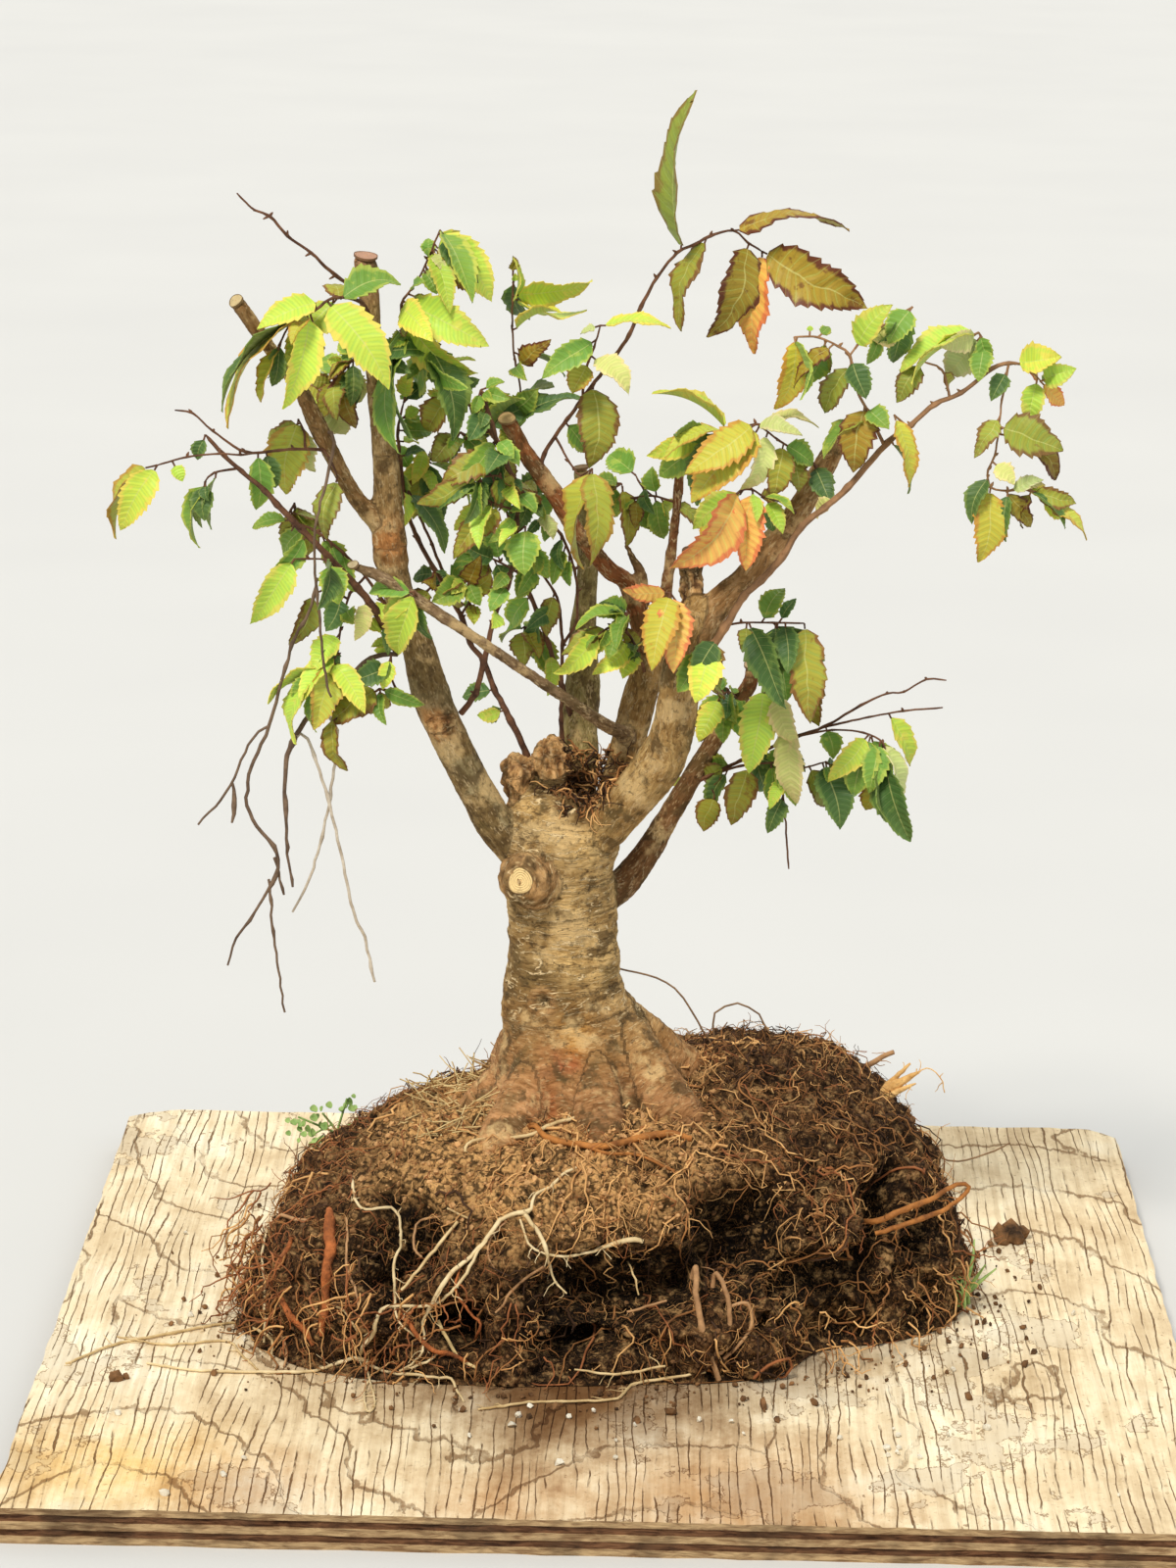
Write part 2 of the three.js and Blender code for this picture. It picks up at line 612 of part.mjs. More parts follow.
      [27, -45, 268, 17, -49, 254, 10, 0],
      [29, -46, 269, 24, -56, 252, 12, 0],
    ],
  },
  right_leaf_twig: {
    twigs: [
      [
        [22, -30, 273, 0.7], [39, -27, 274, 0.5], [61, -26, 274, 0.5]
      ],
    ],
    leaves: [
      [61, -26, 273, 65, -34, 240, 14, -15],
      [51, -26, 273, 51, -31, 252, 11, 0],
      [41, -27, 273, 40, -30, 264, 6, 0],
      [46, -26, 274, 54, -18, 285, 8, 0],
    ],
  },
  low_right_tip_shoot: {
    twigs: [
      [
        [44, 23, 242, 0.9], [47, 20, 246, 0.7], [54, 18, 249, 0.5], [64, 16, 248, 0.5]
      ],
      [
        [47, 20, 246, 0.7], [49, 8, 244, 0.5], [52, -2, 243, 0.5], [57, -6, 233, 0.5]
      ],
    ],
    leaves: [
      [55, 18, 249, 57, 12, 237, 9, 0],
      [64, 16, 248, 68, 10, 228, 10, 0],
      [50, 19, 248, 51, 14, 231, 7, -15],
      [48, 2, 242, 43, -8, 215, 14, 0],
      [52, -2, 243, 60, -12, 227, 9, 0],
      [57, -6, 232, 59, -10, 204, 12, 45],
    ],
  },
  low_right_inner_shoot: {
    twigs: [
      [
        [40, 22, 234, 0.7], [36, 12, 240, 0.5], [33, 8, 239, 0.5]
      ],
    ],
    leaves: [
      [36, 12, 240, 34, 4, 223, 10, 0],
      [38, 15, 238, 42, 8, 224, 8, 0],
      [33, 8, 239, 25, 1, 224, 9, 0],
      [34, 10, 240, 30, 16, 245, 6, 0],
    ],
  },
  low_right_shoot: {
    twigs: [
      [
        [23, 20, 203, 1.2], [61, 8, 225, 0.9], [92, 1, 243, 0.5], [98, 0, 244, 0.5],
        [106, -1, 249, 0.5], [113, -2, 249, 0.5]
      ],
      [
        [70, 6, 229, 0.7], [98, 0, 237, 0.5], [112, -2, 239, 0.5]
      ],
      [
        [61, 8, 225, 0.7], [73, 2, 229, 0.5], [84, -1, 229, 0.5], [91, -3, 226, 0.5],
        [92, -4, 220, 0.5]
      ],
      [
        [34, 17, 209, 0.7], [41, 10, 213, 0.7], [53, 4, 216, 0.5], [62, 1, 215, 0.5],
        [71, -1, 218, 0.5]
      ],
      [
        [28, 18, 206, 0.7], [32, 14, 201, 0.5]
      ],
      [
        [58, 2, 216, 0.5], [56, 4, 208, 0.5], [59, 6, 176, 0.5]
      ],
    ],
    leaves: [
      [71, 6, 229, 74, 0, 219, 8, 0],
      [87, -2, 229, 81, -8, 207, 13, 0],
      [91, -3, 227, 100, -1, 202, 11, -55],
      [92, -4, 220, 101, -10, 191, 13, 50],
      [91, -4, 220, 84, 2, 199, 10, -25],
      [70, -1, 217, 77, -8, 195, 13, 0],
      [65, 0, 216, 73, 6, 199, 9, 0],
      [53, 4, 216, 61, 0, 201, 7, 15],
      [44, 9, 214, 38, 2, 193, 11, 0],
      [32, 14, 201, 28, 8, 189, 9, 0],
      [52, 5, 215, 53, 10, 199, 7, -25],
      [46, 13, 216, 51, 20, 201, 9, 0],
      [35, 15, 210, 29, 24, 212, 7, 0],
    ],
  },
};

// Dead twigs that hang on the left, as rows of x, y, z and radius
const DEAD_TWIGS = {
  outer_dead_twigs: [
    [
      [-107, -24, 338, 0.7], [-103, -29, 335, 0.7], [-108, -40, 311, 0.5], [-109, -41, 300, 0.5],
      [-108, -41, 284, 0.5], [-105, -42, 256, 0.5], [-103, -43, 248, 0.5]
    ],
    [
      [-108, -41, 290, 0.5], [-111, -39, 277, 0.5], [-117, -37, 265, 0.5], [-125, -36, 236, 0.7],
      [-132, -36, 218, 0.7], [-132, -36, 204, 0.7], [-122, -36, 187, 0.7], [-130, -36, 168, 0.5],
      [-137, -36, 158, 0.5], [-140, -36, 148, 0.5]
    ],
    [
      [-125, -36, 236, 0.5], [-131, -37, 231, 0.5], [-140, -38, 212, 0.5], [-150, -38, 200, 0.5]
    ],
    [
      [-138, -38, 216, 0.5], [-137, -38, 207, 1.0], [-138, -38, 201, 0.5]
    ],
    [
      [-125, -36, 180, 0.5], [-124, -35, 163, 0.5], [-120, -35, 131, 0.5]
    ],
    [
      [-123, -36, 188, 0.5], [-120, -35, 174, 0.5]
    ],
  ],
  inner_dead_twigs: [
    [
      [-82, -13, 257, 0.9], [-87, -18, 258, 0.9], [-93, -23, 256, 0.9], [-102, -28, 246, 0.9],
      [-111, -30, 239, 0.9], [-116, -31, 231, 0.9], [-119, -31, 224, 0.9], [-120, -31, 213, 0.7],
      [-119, -31, 188, 0.5], [-117, -31, 176, 0.5]
    ],
    [
      [-116, -31, 231, 0.7], [-112, -30, 230, 0.5], [-104, -30, 205, 0.5], [-96, -30, 168, 0.5],
      [-92, -30, 158, 0.5], [-88, -30, 141, 0.5]
    ],
    [
      [-107, -29, 242, 0.7], [-103, -27, 234, 0.5], [-102, -26, 228, 0.5], [-106, -25, 199, 0.5],
      [-112, -25, 177, 0.5], [-118, -25, 165, 0.5]
    ],
  ],
};

// Roots outside the soil, the ends of cut roots and the loops that stand clear of it,
// as rows of x, y, z and radius
const ROOTS = {
  orange_root: [
    [
      [-33, -30, 87.8, 1.4], [-30, -39, 91.7, 1.4], [-25, -48, 90.3, 1.4], [-14, -52, 89.4, 1.4],
      [-3, -51, 89.0, 1.4], [15, -45, 91.8, 1.4], [26, -34, 86.3, 1.4]
    ],
    [
      [-11, -49, 87.5, 0.8], [-4, -52, 86.4, 0.8], [7, -51, 85.6, 0.8], [20, -54, 80.9, 0.8]
    ],
  ],
  straw_root: [
    [
      [-55, -39, 81.1, 0.6], [-52, -42, 86.6, 0.6], [-33, -48, 90.8, 0.6], [-24, -44, 94.0, 0.6],
      [-11, -36, 95.2, 0.6], [-4, -27, 91.7, 0.6]
    ],
  ],
  pale_roots: [
    [
      [-98, -33, 62.9, 0.9], [-94, -44, 69.1, 0.9], [-87, -58, 68.1, 0.9], [-79, -63, 70.6, 0.9],
      [-76, -72, 63.5, 0.9], [-78, -80, 52.9, 0.9], [-77, -85, 41.8, 0.9]
    ],
    [
      [-14, -58, 80.1, 1.0], [-19, -60, 85.2, 1.0], [-34, -72, 73.6, 1.0], [-38, -72, 73.1, 1.0],
      [-52, -81, 59.2, 1.0], [-64, -85, 47.1, 1.0], [-68, -87, 35.2, 1.0], [-70, -89, 19.1, 1.0]
    ],
    [
      [-34, -72, 72.8, 0.9], [-25, -80, 61.4, 0.9], [-24, -83, 55.4, 0.9], [-18, -85, 42.6, 0.9]
    ],
    [
      [-25, -80, 60.6, 1.3], [-13, -79, 63.2, 1.3], [-2, -78, 68.4, 1.3], [9, -75, 69.7, 1.3]
    ],
    [
      [-148, -75, 14.1, 1.0], [-119, -83, 14.1, 1.0], [-103, -81, 14.3, 1.0], [-92, -85, 22.3, 1.0],
      [-82, -84, 40.6, 1.0], [-77, -85, 42.6, 1.0], [-67, -86, 43.7, 1.0], [-51, -82, 56.7, 1.0]
    ],
    [
      [-92, -85, 21.5, 0.7], [-70, -89, 16.8, 0.7], [-59, -89, 15.1, 0.7], [-52, -105, 13.9, 0.7]
    ],
    [
      [-87, -85, 32.4, 0.6], [-86, -97, 13.8, 0.6], [-86, -114, 13.8, 0.6]
    ],
  ],
  far_left_root: [
    [
      [-192, -75, 13.9, 0.8], [-171, -56, 13.9, 0.8], [-151, -45, 13.9, 0.8], [-137, -38, 14.1, 0.8],
      [-128, -54, 20.1, 0.8], [-121, -67, 15.9, 0.8]
    ],
  ],
  front_root: [
    [
      [-47, -109, 13.9, 0.7], [-9, -101, 13.9, 0.7], [8, -92, 14.0, 0.7], [18, -85, 14.3, 0.7],
      [25, -84, 14.8, 0.7]
    ],
  ],
  brown_loop_roots: [
    [
      [27, -76, 49.3, 1.5], [28, -78, 54.3, 1.5], [28, -81, 45.9, 1.5], [30, -83, 35.9, 1.5],
      [33, -83, 25.3, 1.5], [37, -82, 13.9, 1.5]
    ],
    [
      [34, -77, 46.6, 1.1], [35, -78, 52.2, 1.1], [39, -80, 44.5, 1.1], [40, -81, 34.5, 1.1],
      [39, -82, 25.7, 1.1], [35, -83, 23.6, 1.1]
    ],
    [
      [40, -80, 40.3, 0.9], [46, -79, 41.4, 0.9], [48, -79, 33.8, 0.9], [43, -81, 25.7, 0.9],
      [38, -82, 21.8, 0.9]
    ],
  ],
  rusty_root_left: [
    [
      [-103, -42, 59.0, 2.0], [-102, -50, 63.3, 2.0], [-102, -65, 53.4, 2.0], [-102, -79, 36.5, 2.0],
      [-102, -81, 21.3, 2.0]
    ],
  ],
  rusty_root_low_left: [
    [
      [-117, -65, 30.2, 1.6], [-115, -69, 34.9, 1.6], [-111, -74, 30.9, 1.6], [-108, -77, 25.9, 1.6],
      [-107, -79, 16.6, 1.6]
    ],
  ],
  right_loop_root: [
    [
      [86, -38, 58, 1.3], [93, -44, 60.5, 1.3], [101, -43, 64, 1.3], [111, -39, 67, 1.3],
      [121, -34, 71, 1.2], [126, -33, 70, 1.2], [121, -36, 65, 1.2], [111, -40, 61, 1.2],
      [100, -43, 58, 1.2], [92, -43, 55, 1.1],
    ],
  ],
  cut_root_right: [[[84, 20, 78, 2.4], [94, 17, 86, 2.3], [101, 14, 92, 2.1], [109, 12, 98, 1.6]]],
  cut_root_back: [[[78, 42, 80, 1.4], [88, 39, 89, 1.2], [101, 36, 98, 0.9]]],
  back_root: [
    [
      [-30, 62, 70, 1.5], [-26, 74, 79, 1.5], [-10, 82, 72, 1.5], [30, 92, 48, 1.3], [38, 99, 30, 1.2],
      [44, 100, 14.5, 1.1],
    ],
  ],
};

// Weed seedling and grass tuft: stems as rows of x, y, z and radius, leaflets as x, y, z and radius
const SEEDLING_STEMS = [
  [[-102, 42, 50, 0.6], [-107, 43, 60, 0.6], [-112, 42, 67, 0.5]],
  [[-107, 43, 59, 0.6], [-121, 40, 66, 0.5]],
  [[-107, 43, 58, 0.6], [-103, 45, 72, 0.5]],
];
const SEEDLING_LEAFLETS = [
  [-112, 42, 66.7, 3.4], [-121, 40, 65.8, 3.2], [-103, 45, 71.8, 3.2],
];
const GRASS_BLADES = [
  [[126, -8, 17, 0.8], [131, -12, 27, 0.7], [134, -16, 34, 0.5]],
  [[126, -8, 17, 0.8], [130, -4, 29, 0.7], [131, 0, 38, 0.5]],
  [[126, -8, 17, 0.8], [133, -7, 24, 0.7], [139, -6, 29, 0.5]],
];

// Turns a closed three.js geometry into a solid that can be joined and cut
function solidOf(geometry) {
  const bare = geometry.clone();
  bare.deleteAttribute('normal');
  bare.deleteAttribute('uv');
  const merged = mergeVertices(bare);
  const vertProperties = new Float32Array(merged.getAttribute('position').array);
  const triVerts = new Uint32Array(merged.getIndex().array);
  return new wasm.Manifold(new wasm.Mesh({ numProp: 3, vertProperties, triVerts }));
}

// The largest of a solid's separate bodies
function largestBody(solid) {
  const bodies = solid.decompose();
  return bodies.reduce((best, body) => (body.volume() > best.volume() ? body : best));
}

function joined(solids) {
  return solids.reduce((whole, solid) => whole.add(solid));
}

// A smooth route that is sampled at its own points, so a stem has one ring at each of them
class Route extends THREE.CatmullRomCurve3 {
  getPointAt(share, target) {
    return this.getPoint(share, target);
  }

  getTangentAt(share, target) {
    return this.getTangent(share, target);
  }
}

// A tapering stem along a row of [x, y, z, radius]: a thread is extruded, then swollen ring by ring.
// grow makes it fatter and longer, for the hole that it leaves in a neighbour.
function stem(rows, sides, grow = 0) {
  const points = rows.map(([x, y, z]) => new THREE.Vector3(x, y, z));
  if (grow > 0) {
    const last = points.length - 1;
    const out = points[last].clone().sub(points[last - 1]).setLength(grow);
    points[last].add(out);
  }
  const ring = Array.from({ length: sides }, (_, i) => {
    const angle = (i / sides) * Math.PI * 2;
    return new THREE.Vector2(Math.cos(angle) * THREAD_R, Math.sin(angle) * THREAD_R);
  });
  const extrudePath = new Route(points, false, 'centripetal');
  const options = { steps: rows.length - 1, extrudePath, bevelEnabled: false };
  const geometry = new THREE.ExtrudeGeometry(new THREE.Shape(ring), options);
  const position = geometry.getAttribute('position');
  const vertex = new THREE.Vector3();
  for (let i = 0; i < position.count; i += 1) {
    vertex.fromBufferAttribute(position, i);
    const spans = points.map((point) => point.distanceToSquared(vertex));
    const nearest = spans.indexOf(Math.min(...spans));
    const swell = (rows[nearest][3] + grow) / THREAD_R;
    vertex.sub(points[nearest]).multiplyScalar(swell).add(points[nearest]);
    position.setXYZ(i, vertex.x, vertex.y, vertex.z);
  }
  return solidOf(geometry);
}

// Trunk, buttresses and thick limbs grown together
function woodSolid(grow = 0) {
  const parts = [stem(TRUNK, 11, grow)];
  BUTTRESSES.forEach((rows) => parts.push(stem(rows, 6, grow)));
  Object.values(LIMBS).forEach((rows) => parts.push(stem(rows, rows[0][3] > 5 ? 7 : 5, grow)));
  return joined(parts);
}

// Height of the soil crest over the board at x, y
function soilCrest(x, y) {
  const hill = (part) => {
    const squared = (x - part.x) ** 2 + (y - part.y) ** 2;
    return part.height * Math.exp(-squared / (2 * part.spread ** 2));
  };
  const coarse = 2.2 * Math.sin(0.12 * x + 1) * Math.sin(0.14 * y + 0.6);
  const fine = 1.2 * Math.sin(0.31 * x + 0.22 * y);
  const leftSlope = SOIL_LEFT_SLOPE * Math.max(0, SOIL_LEFT_START - x);
  return SOIL_HEIGHT + hill(SOIL_SHOULDER) + hill(SOIL_MIDDLE) - leftSlope + coarse + fine;
}

// Distance from the middle to the edge of the mound in the direction of an angle
function soilEdge(angle) {
  const count = SOIL_RIM.length;
  const turn = ((angle / (2 * Math.PI)) * count + count) % count;
  const at = (k) => SOIL_RIM[(Math.floor(turn) + k + count) % count];
  const f = turn - Math.floor(turn);
  const slope = (at(1) - at(-1)) * f;
  const bend = (2 * at(-1) - 5 * at(0) + 4 * at(1) - at(2)) * f * f;
  const swing = (-at(-1) + 3 * at(0) - 3 * at(1) + at(2)) * f ** 3;
  return 0.5 * (2 * at(0) + slope + bend + swing);
}

// Mound with a flat underside: a unit dish is turned on the lathe, then each of its points is moved out
// to the mound's edge and crest
function soilSolid() {
  const profile = [new THREE.Vector2(0, 0), new THREE.Vector2(0.97, 0), new THREE.Vector2(1, 0.07)];
  [0.955, 0.85, 0.67, 0.4, 0].forEach((share) => {
    const height = (1 - share ** 3) ** (1 / SOIL_FLATNESS);
    profile.push(new THREE.Vector2(share, height));
  });
  const geometry = new THREE.LatheGeometry(profile, SOIL_SECTORS);
  const position = geometry.getAttribute('position');
  for (let i = 0; i < position.count; i += 1) {
    const share = Math.hypot(position.getX(i), position.getZ(i));
    const angle = Math.atan2(position.getX(i), position.getZ(i));
    const x = share * soilEdge(angle) * Math.cos(angle);
    const y = share * soilEdge(angle) * Math.sin(angle);
    position.setXYZ(i, x, y, BOARD_T + soilCrest(x, y) * position.getY(i));
  }
  const hollows = SOIL_HOLLOWS.map(([x, y, z, halfX, halfY, halfZ]) => {
    const ball = new THREE.SphereGeometry(1, 7, 5);
    ball.scale(halfX, halfY, halfZ);
    ball.translate(x, y, z);
    return solidOf(ball);
  });
  return solidOf(geometry).subtract(joined(hollows));
}

// Nearest point to a place on the centre lines of a shoot's twigs
function nearestOnTwigs(place, twigs) {
  const found = new THREE.Vector3();
  const candidate = new THREE.Vector3();
  let best = Infinity;
  twigs.forEach((rows) => {
    for (let i = 1; i < rows.length; i += 1) {
      const start = new THREE.Vector3(...rows[i - 1]);
      const span = new THREE.Line3(start, new THREE.Vector3(...rows[i]));
      span.closestPointToPoint(place, true, candidate);
      if (candidate.distanceTo(place) < best) {
        best = candidate.distanceTo(place);
        found.copy(candidate);
      }
    }
  });
  return found;
}

// Half width of a blade, as a share of its greatest, at a share of the way to its tip
function bladeWidth(share) {
  const profile = (at) => at ** 0.55 * (1 - at) ** 0.8;
  return profile(share) / profile(0.55 / (0.55 + 0.8));
}

// One toothed leaf with its stalk, as two alike folded faces BLADE_T apart with walls between them.
// The blade's keel is folded, and it arches between its base and its tip.
function leafSolid([bx, by, bz, tx, ty, tz, width, turn], twigs) {
  const tip = new THREE.Vector3(tx, ty, tz);
  const root = nearestOnTwigs(new THREE.Vector3(bx, by, bz), twigs);
  const base = new THREE.Vector3(bx, by, bz);
  const along = tip.clone().sub(base).normalize();
  if (base.distanceTo(root) < STALK_MIN) base.copy(root).addScaledVector(along, STALK_MIN);
  const length = base.distanceTo(tip);
  const up = new THREE.Vector3(0, -0.8, 0.6).projectOnPlane(along).normalize();
  up.applyAxisAngle(along, THREE.MathUtils.degToRad(turn));
  const side = new THREE.Vector3().crossVectors(along, up);
  const place = (share, across) => {
    const lift = Math.abs(across) * KEEL_FOLD + ARCH_SHARE * length * 4 * share * (1 - share);
    const spine = base.clone().addScaledVector(along, share * length);
    return spine.addScaledVector(side, across).addScaledVector(up, lift);
  };
  const teeth = 2 + EXTRA_TOOTH_LENGTHS.filter((limit) => length > limit).length;
  const edge = [[0, STALK_W / 2]];
  for (let k = 0; k < teeth; k += 1) {
    const crown = (k + 0.75) / (teeth + 0.25);
    const notch = (k + 1) / (teeth + 0.25);
    edge.push([crown, bladeWidth(crown) * (width / 2)]);
    if (k < teeth - 1) edge.push([notch, bladeWidth(notch) * (width / 2) * NOTCH_SHARE]);
  }
  const half = (sign) => edge.map(([share, across]) => place(share, across * sign));
  const stalkFoot = (sign) => root.clone().addScaledVector(side, (sign * STALK_W) / 2);
  const left = [stalkFoot(-1), ...half(-1)];
  const right = [stalkFoot(1), ...half(1)];
  const last = left.length;
  const points = [...left, place(1, 0), ...right.reverse(), place(HUB_SHARE, 0)];
  const rim = 2 * last + 1;
  const faces = [[0, 1, rim - 2], [0, rim - 2, rim - 1], [1, rim, rim - 2]];
  for (let i = 1; i < rim - 2; i += 1) faces.push([i, i + 1, rim]);
  const count = points.length;
  const vertProperties = new Float32Array(count * 6);
  points.forEach((point, i) => {
    point.clone().addScaledVector(up, BLADE_T / 2).toArray(vertProperties, i * 3);
    point.clone().addScaledVector(up, -BLADE_T / 2).toArray(vertProperties, (count + i) * 3);
  });
  const corners = [];
  faces.forEach(([a, b, c]) => corners.push(a, c, b, a + count, b + count, c + count));
  for (let i = 0; i < rim; i += 1) {
    const next = (i + 1) % rim;
    corners.push(i, next, next + count, i, next + count, i + count);
  }
  const geometry = new THREE.BufferGeometry();
  geometry.setAttribute('position', new THREE.BufferAttribute(vertProperties, 3));
  geometry.setIndex(corners);
  return solidOf(geometry);
}

// Strands of one plant part, each later one moved at its foot onto the centre line of those before it
function rooted(strands) {
  const set = [];
  strands.forEach(([foot, ...rest]) => {
    const place = new THREE.Vector3(...foot.slice(0, 3));
    const seat = set.length > 0 ? nearestOnTwigs(place, set) : place;
    const near = seat.distanceTo(place) < SEAT_REACH;
    set.push([[...(near ? seat : place).toArray(), foot[3]], ...rest]);
  });
  return set;
}

// A leafy shoot in one body: its twigs and leaves, cut back from the wood that it grows on
function shootSolid({ twigs, leaves }, wood) {
  const seated = rooted(twigs);
  const stems = seated.map((rows) => stem(rows, rows[0][3] < 1 ? 3 : 5));
  const long = ([bx, by, bz, tx, ty, tz]) => Math.hypot(tx - bx, ty - by, tz - bz) > SMALLEST_LEAF;
  const blades = leaves.filter(long).map((leaf) => leafSolid(leaf, seated));
  return largestBody(joined([...stems, ...blades]).subtract(wood));
}

// Square board with its two far corners chipped
function boardSolid() {
  const half = BOARD_SIDE / 2;
  const outline = new THREE.Shape([
    new THREE.Vector2(-half, -half),
    new THREE.Vector2(half, -half),
    new THREE.Vector2(half, half - CORNER_CHIP),
    new THREE.Vector2(half - CORNER_CHIP, half),
    new THREE.Vector2(-half + CORNER_CHIP / 2, half),
    new THREE.Vector2(-half, half - CORNER_CHIP),
  ]);
  return solidOf(new THREE.ExtrudeGeometry(outline, { depth: BOARD_T, bevelEnabled: false }));
}

function seedlingSolid() {
  const leaflets = SEEDLING_LEAFLETS.map(([x, y, z, radius]) => {
    const disc = new THREE.CylinderGeometry(radius, radius, BLADE_T, 5);
    disc.rotateX(Math.PI / 2);
    disc.translate(x, y, z);
    return solidOf(disc);
  });
  const stems = rooted(SEEDLING_STEMS).map((rows) => stem(rows, 3));
  return largestBody(joined([...stems, ...leaflets]));
}

const COLOURS = {
  board: new THREE.MeshStandardMaterial({ color: 0xcfc6b0, roughness: 0.9, metalness: 0 }),
  soil: new THREE.MeshStandardMaterial({ color: 0x4a3527, roughness: 1, metalness: 0 }),
  bark: new THREE.MeshStandardMaterial({ color: 0x8a7150, roughness: 0.85, metalness: 0 }),
  leaf: new THREE.MeshStandardMaterial({ color: 0x8fb03e, roughness: 0.6, metalness: 0 }),
  deadTwig: new THREE.MeshStandardMaterial({ color: 0x8d8170, roughness: 0.9, metalness: 0 }),
  root: new THREE.MeshStandardMaterial({ color: 0xb98d58, roughness: 0.8, metalness: 0 }),
};

const tree = new THREE.Group();

function addPiece(name, solid, material) {
  const { vertProperties, triVerts } = solid.getMesh();
  const geometry = new THREE.BufferGeometry();
  geometry.setAttribute('position', new THREE.BufferAttribute(new Float32Array(vertProperties), 3));
  geometry.setIndex(new THREE.BufferAttribute(new Uint32Array(triVerts), 1));
  const mesh = new THREE.Mesh(geometry, material);
  mesh.name = name;
  tree.add(mesh);
}

const wood = woodSolid();
const woodHole = woodSolid(GAP);
let soil = soilSolid().subtract(woodHole);

addPiece('stand_board', boardSolid(), COLOURS.board);
addPiece('trunk_and_limbs', wood, COLOURS.bark);

Object.entries(ROOTS).forEach(([name, strands]) => {
  const seated = rooted(strands);
  const root = joined(seated.map((rows) => stem(rows, 4))).subtract(woodHole);
  soil = soil.subtract(joined(seated.map((rows) => stem(rows, 4, GAP))));
  addPiece(name, largestBody(root), COLOURS.root);
});

soil = soil.subtract(joined(SEEDLING_STEMS.map((rows) => stem(rows, 3, GAP))));
soil = soil.subtract(joined(GRASS_BLADES.map((rows) => stem(rows, 3, GAP))));
addPiece('soil_ball', largestBody(soil), COLOURS.soil);
addPiece('weed_seedling', seedlingSolid(), COLOURS.leaf);
addPiece('grass_tuft', joined(GRASS_BLADES.map((rows) => stem(rows, 3))), COLOURS.leaf);

Object.entries(SHOOTS).forEach(([name, shoot]) => {
  addPiece(name, shootSolid(shoot, woodHole), COLOURS.leaf);
});

Object.entries(DEAD_TWIGS).forEach(([name, strands]) => {
  const twigs = joined(rooted(strands).map((rows) => stem(rows, 3)));
  addPiece(name, largestBody(twigs.subtract(woodHole)), COLOURS.deadTwig);
});

export default tree;
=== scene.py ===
"""A field-dug zelkova bonsai on a weathered plywood board.

Lengths in the tables are millimetres in the model's own frame: +Z is up and -Y is the front.
"""
import math
import random

import bpy
import numpy as np
from mathutils import Matrix, Vector, noise
from mathutils.bvhtree import BVHTree


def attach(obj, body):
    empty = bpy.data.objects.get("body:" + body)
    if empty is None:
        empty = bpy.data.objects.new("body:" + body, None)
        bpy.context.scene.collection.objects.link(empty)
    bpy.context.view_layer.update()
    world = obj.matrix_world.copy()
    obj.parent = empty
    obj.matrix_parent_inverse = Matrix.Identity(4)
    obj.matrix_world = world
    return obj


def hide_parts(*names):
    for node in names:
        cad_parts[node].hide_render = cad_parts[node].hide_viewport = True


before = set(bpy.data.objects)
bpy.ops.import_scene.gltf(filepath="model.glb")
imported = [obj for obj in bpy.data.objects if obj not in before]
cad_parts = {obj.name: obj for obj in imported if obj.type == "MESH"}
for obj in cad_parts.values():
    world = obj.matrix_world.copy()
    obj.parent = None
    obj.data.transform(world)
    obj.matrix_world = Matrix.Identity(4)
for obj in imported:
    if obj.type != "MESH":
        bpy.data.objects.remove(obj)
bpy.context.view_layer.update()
bpy.ops.object.select_all(action="DESELECT")

MM = 0.001
BOARD_SIDE = 406
BOARD_T = 12.7
PLIES = 5
VIEW_POINT = Vector((7.2, -1559.7, 613.9))
draw = random.Random(11)

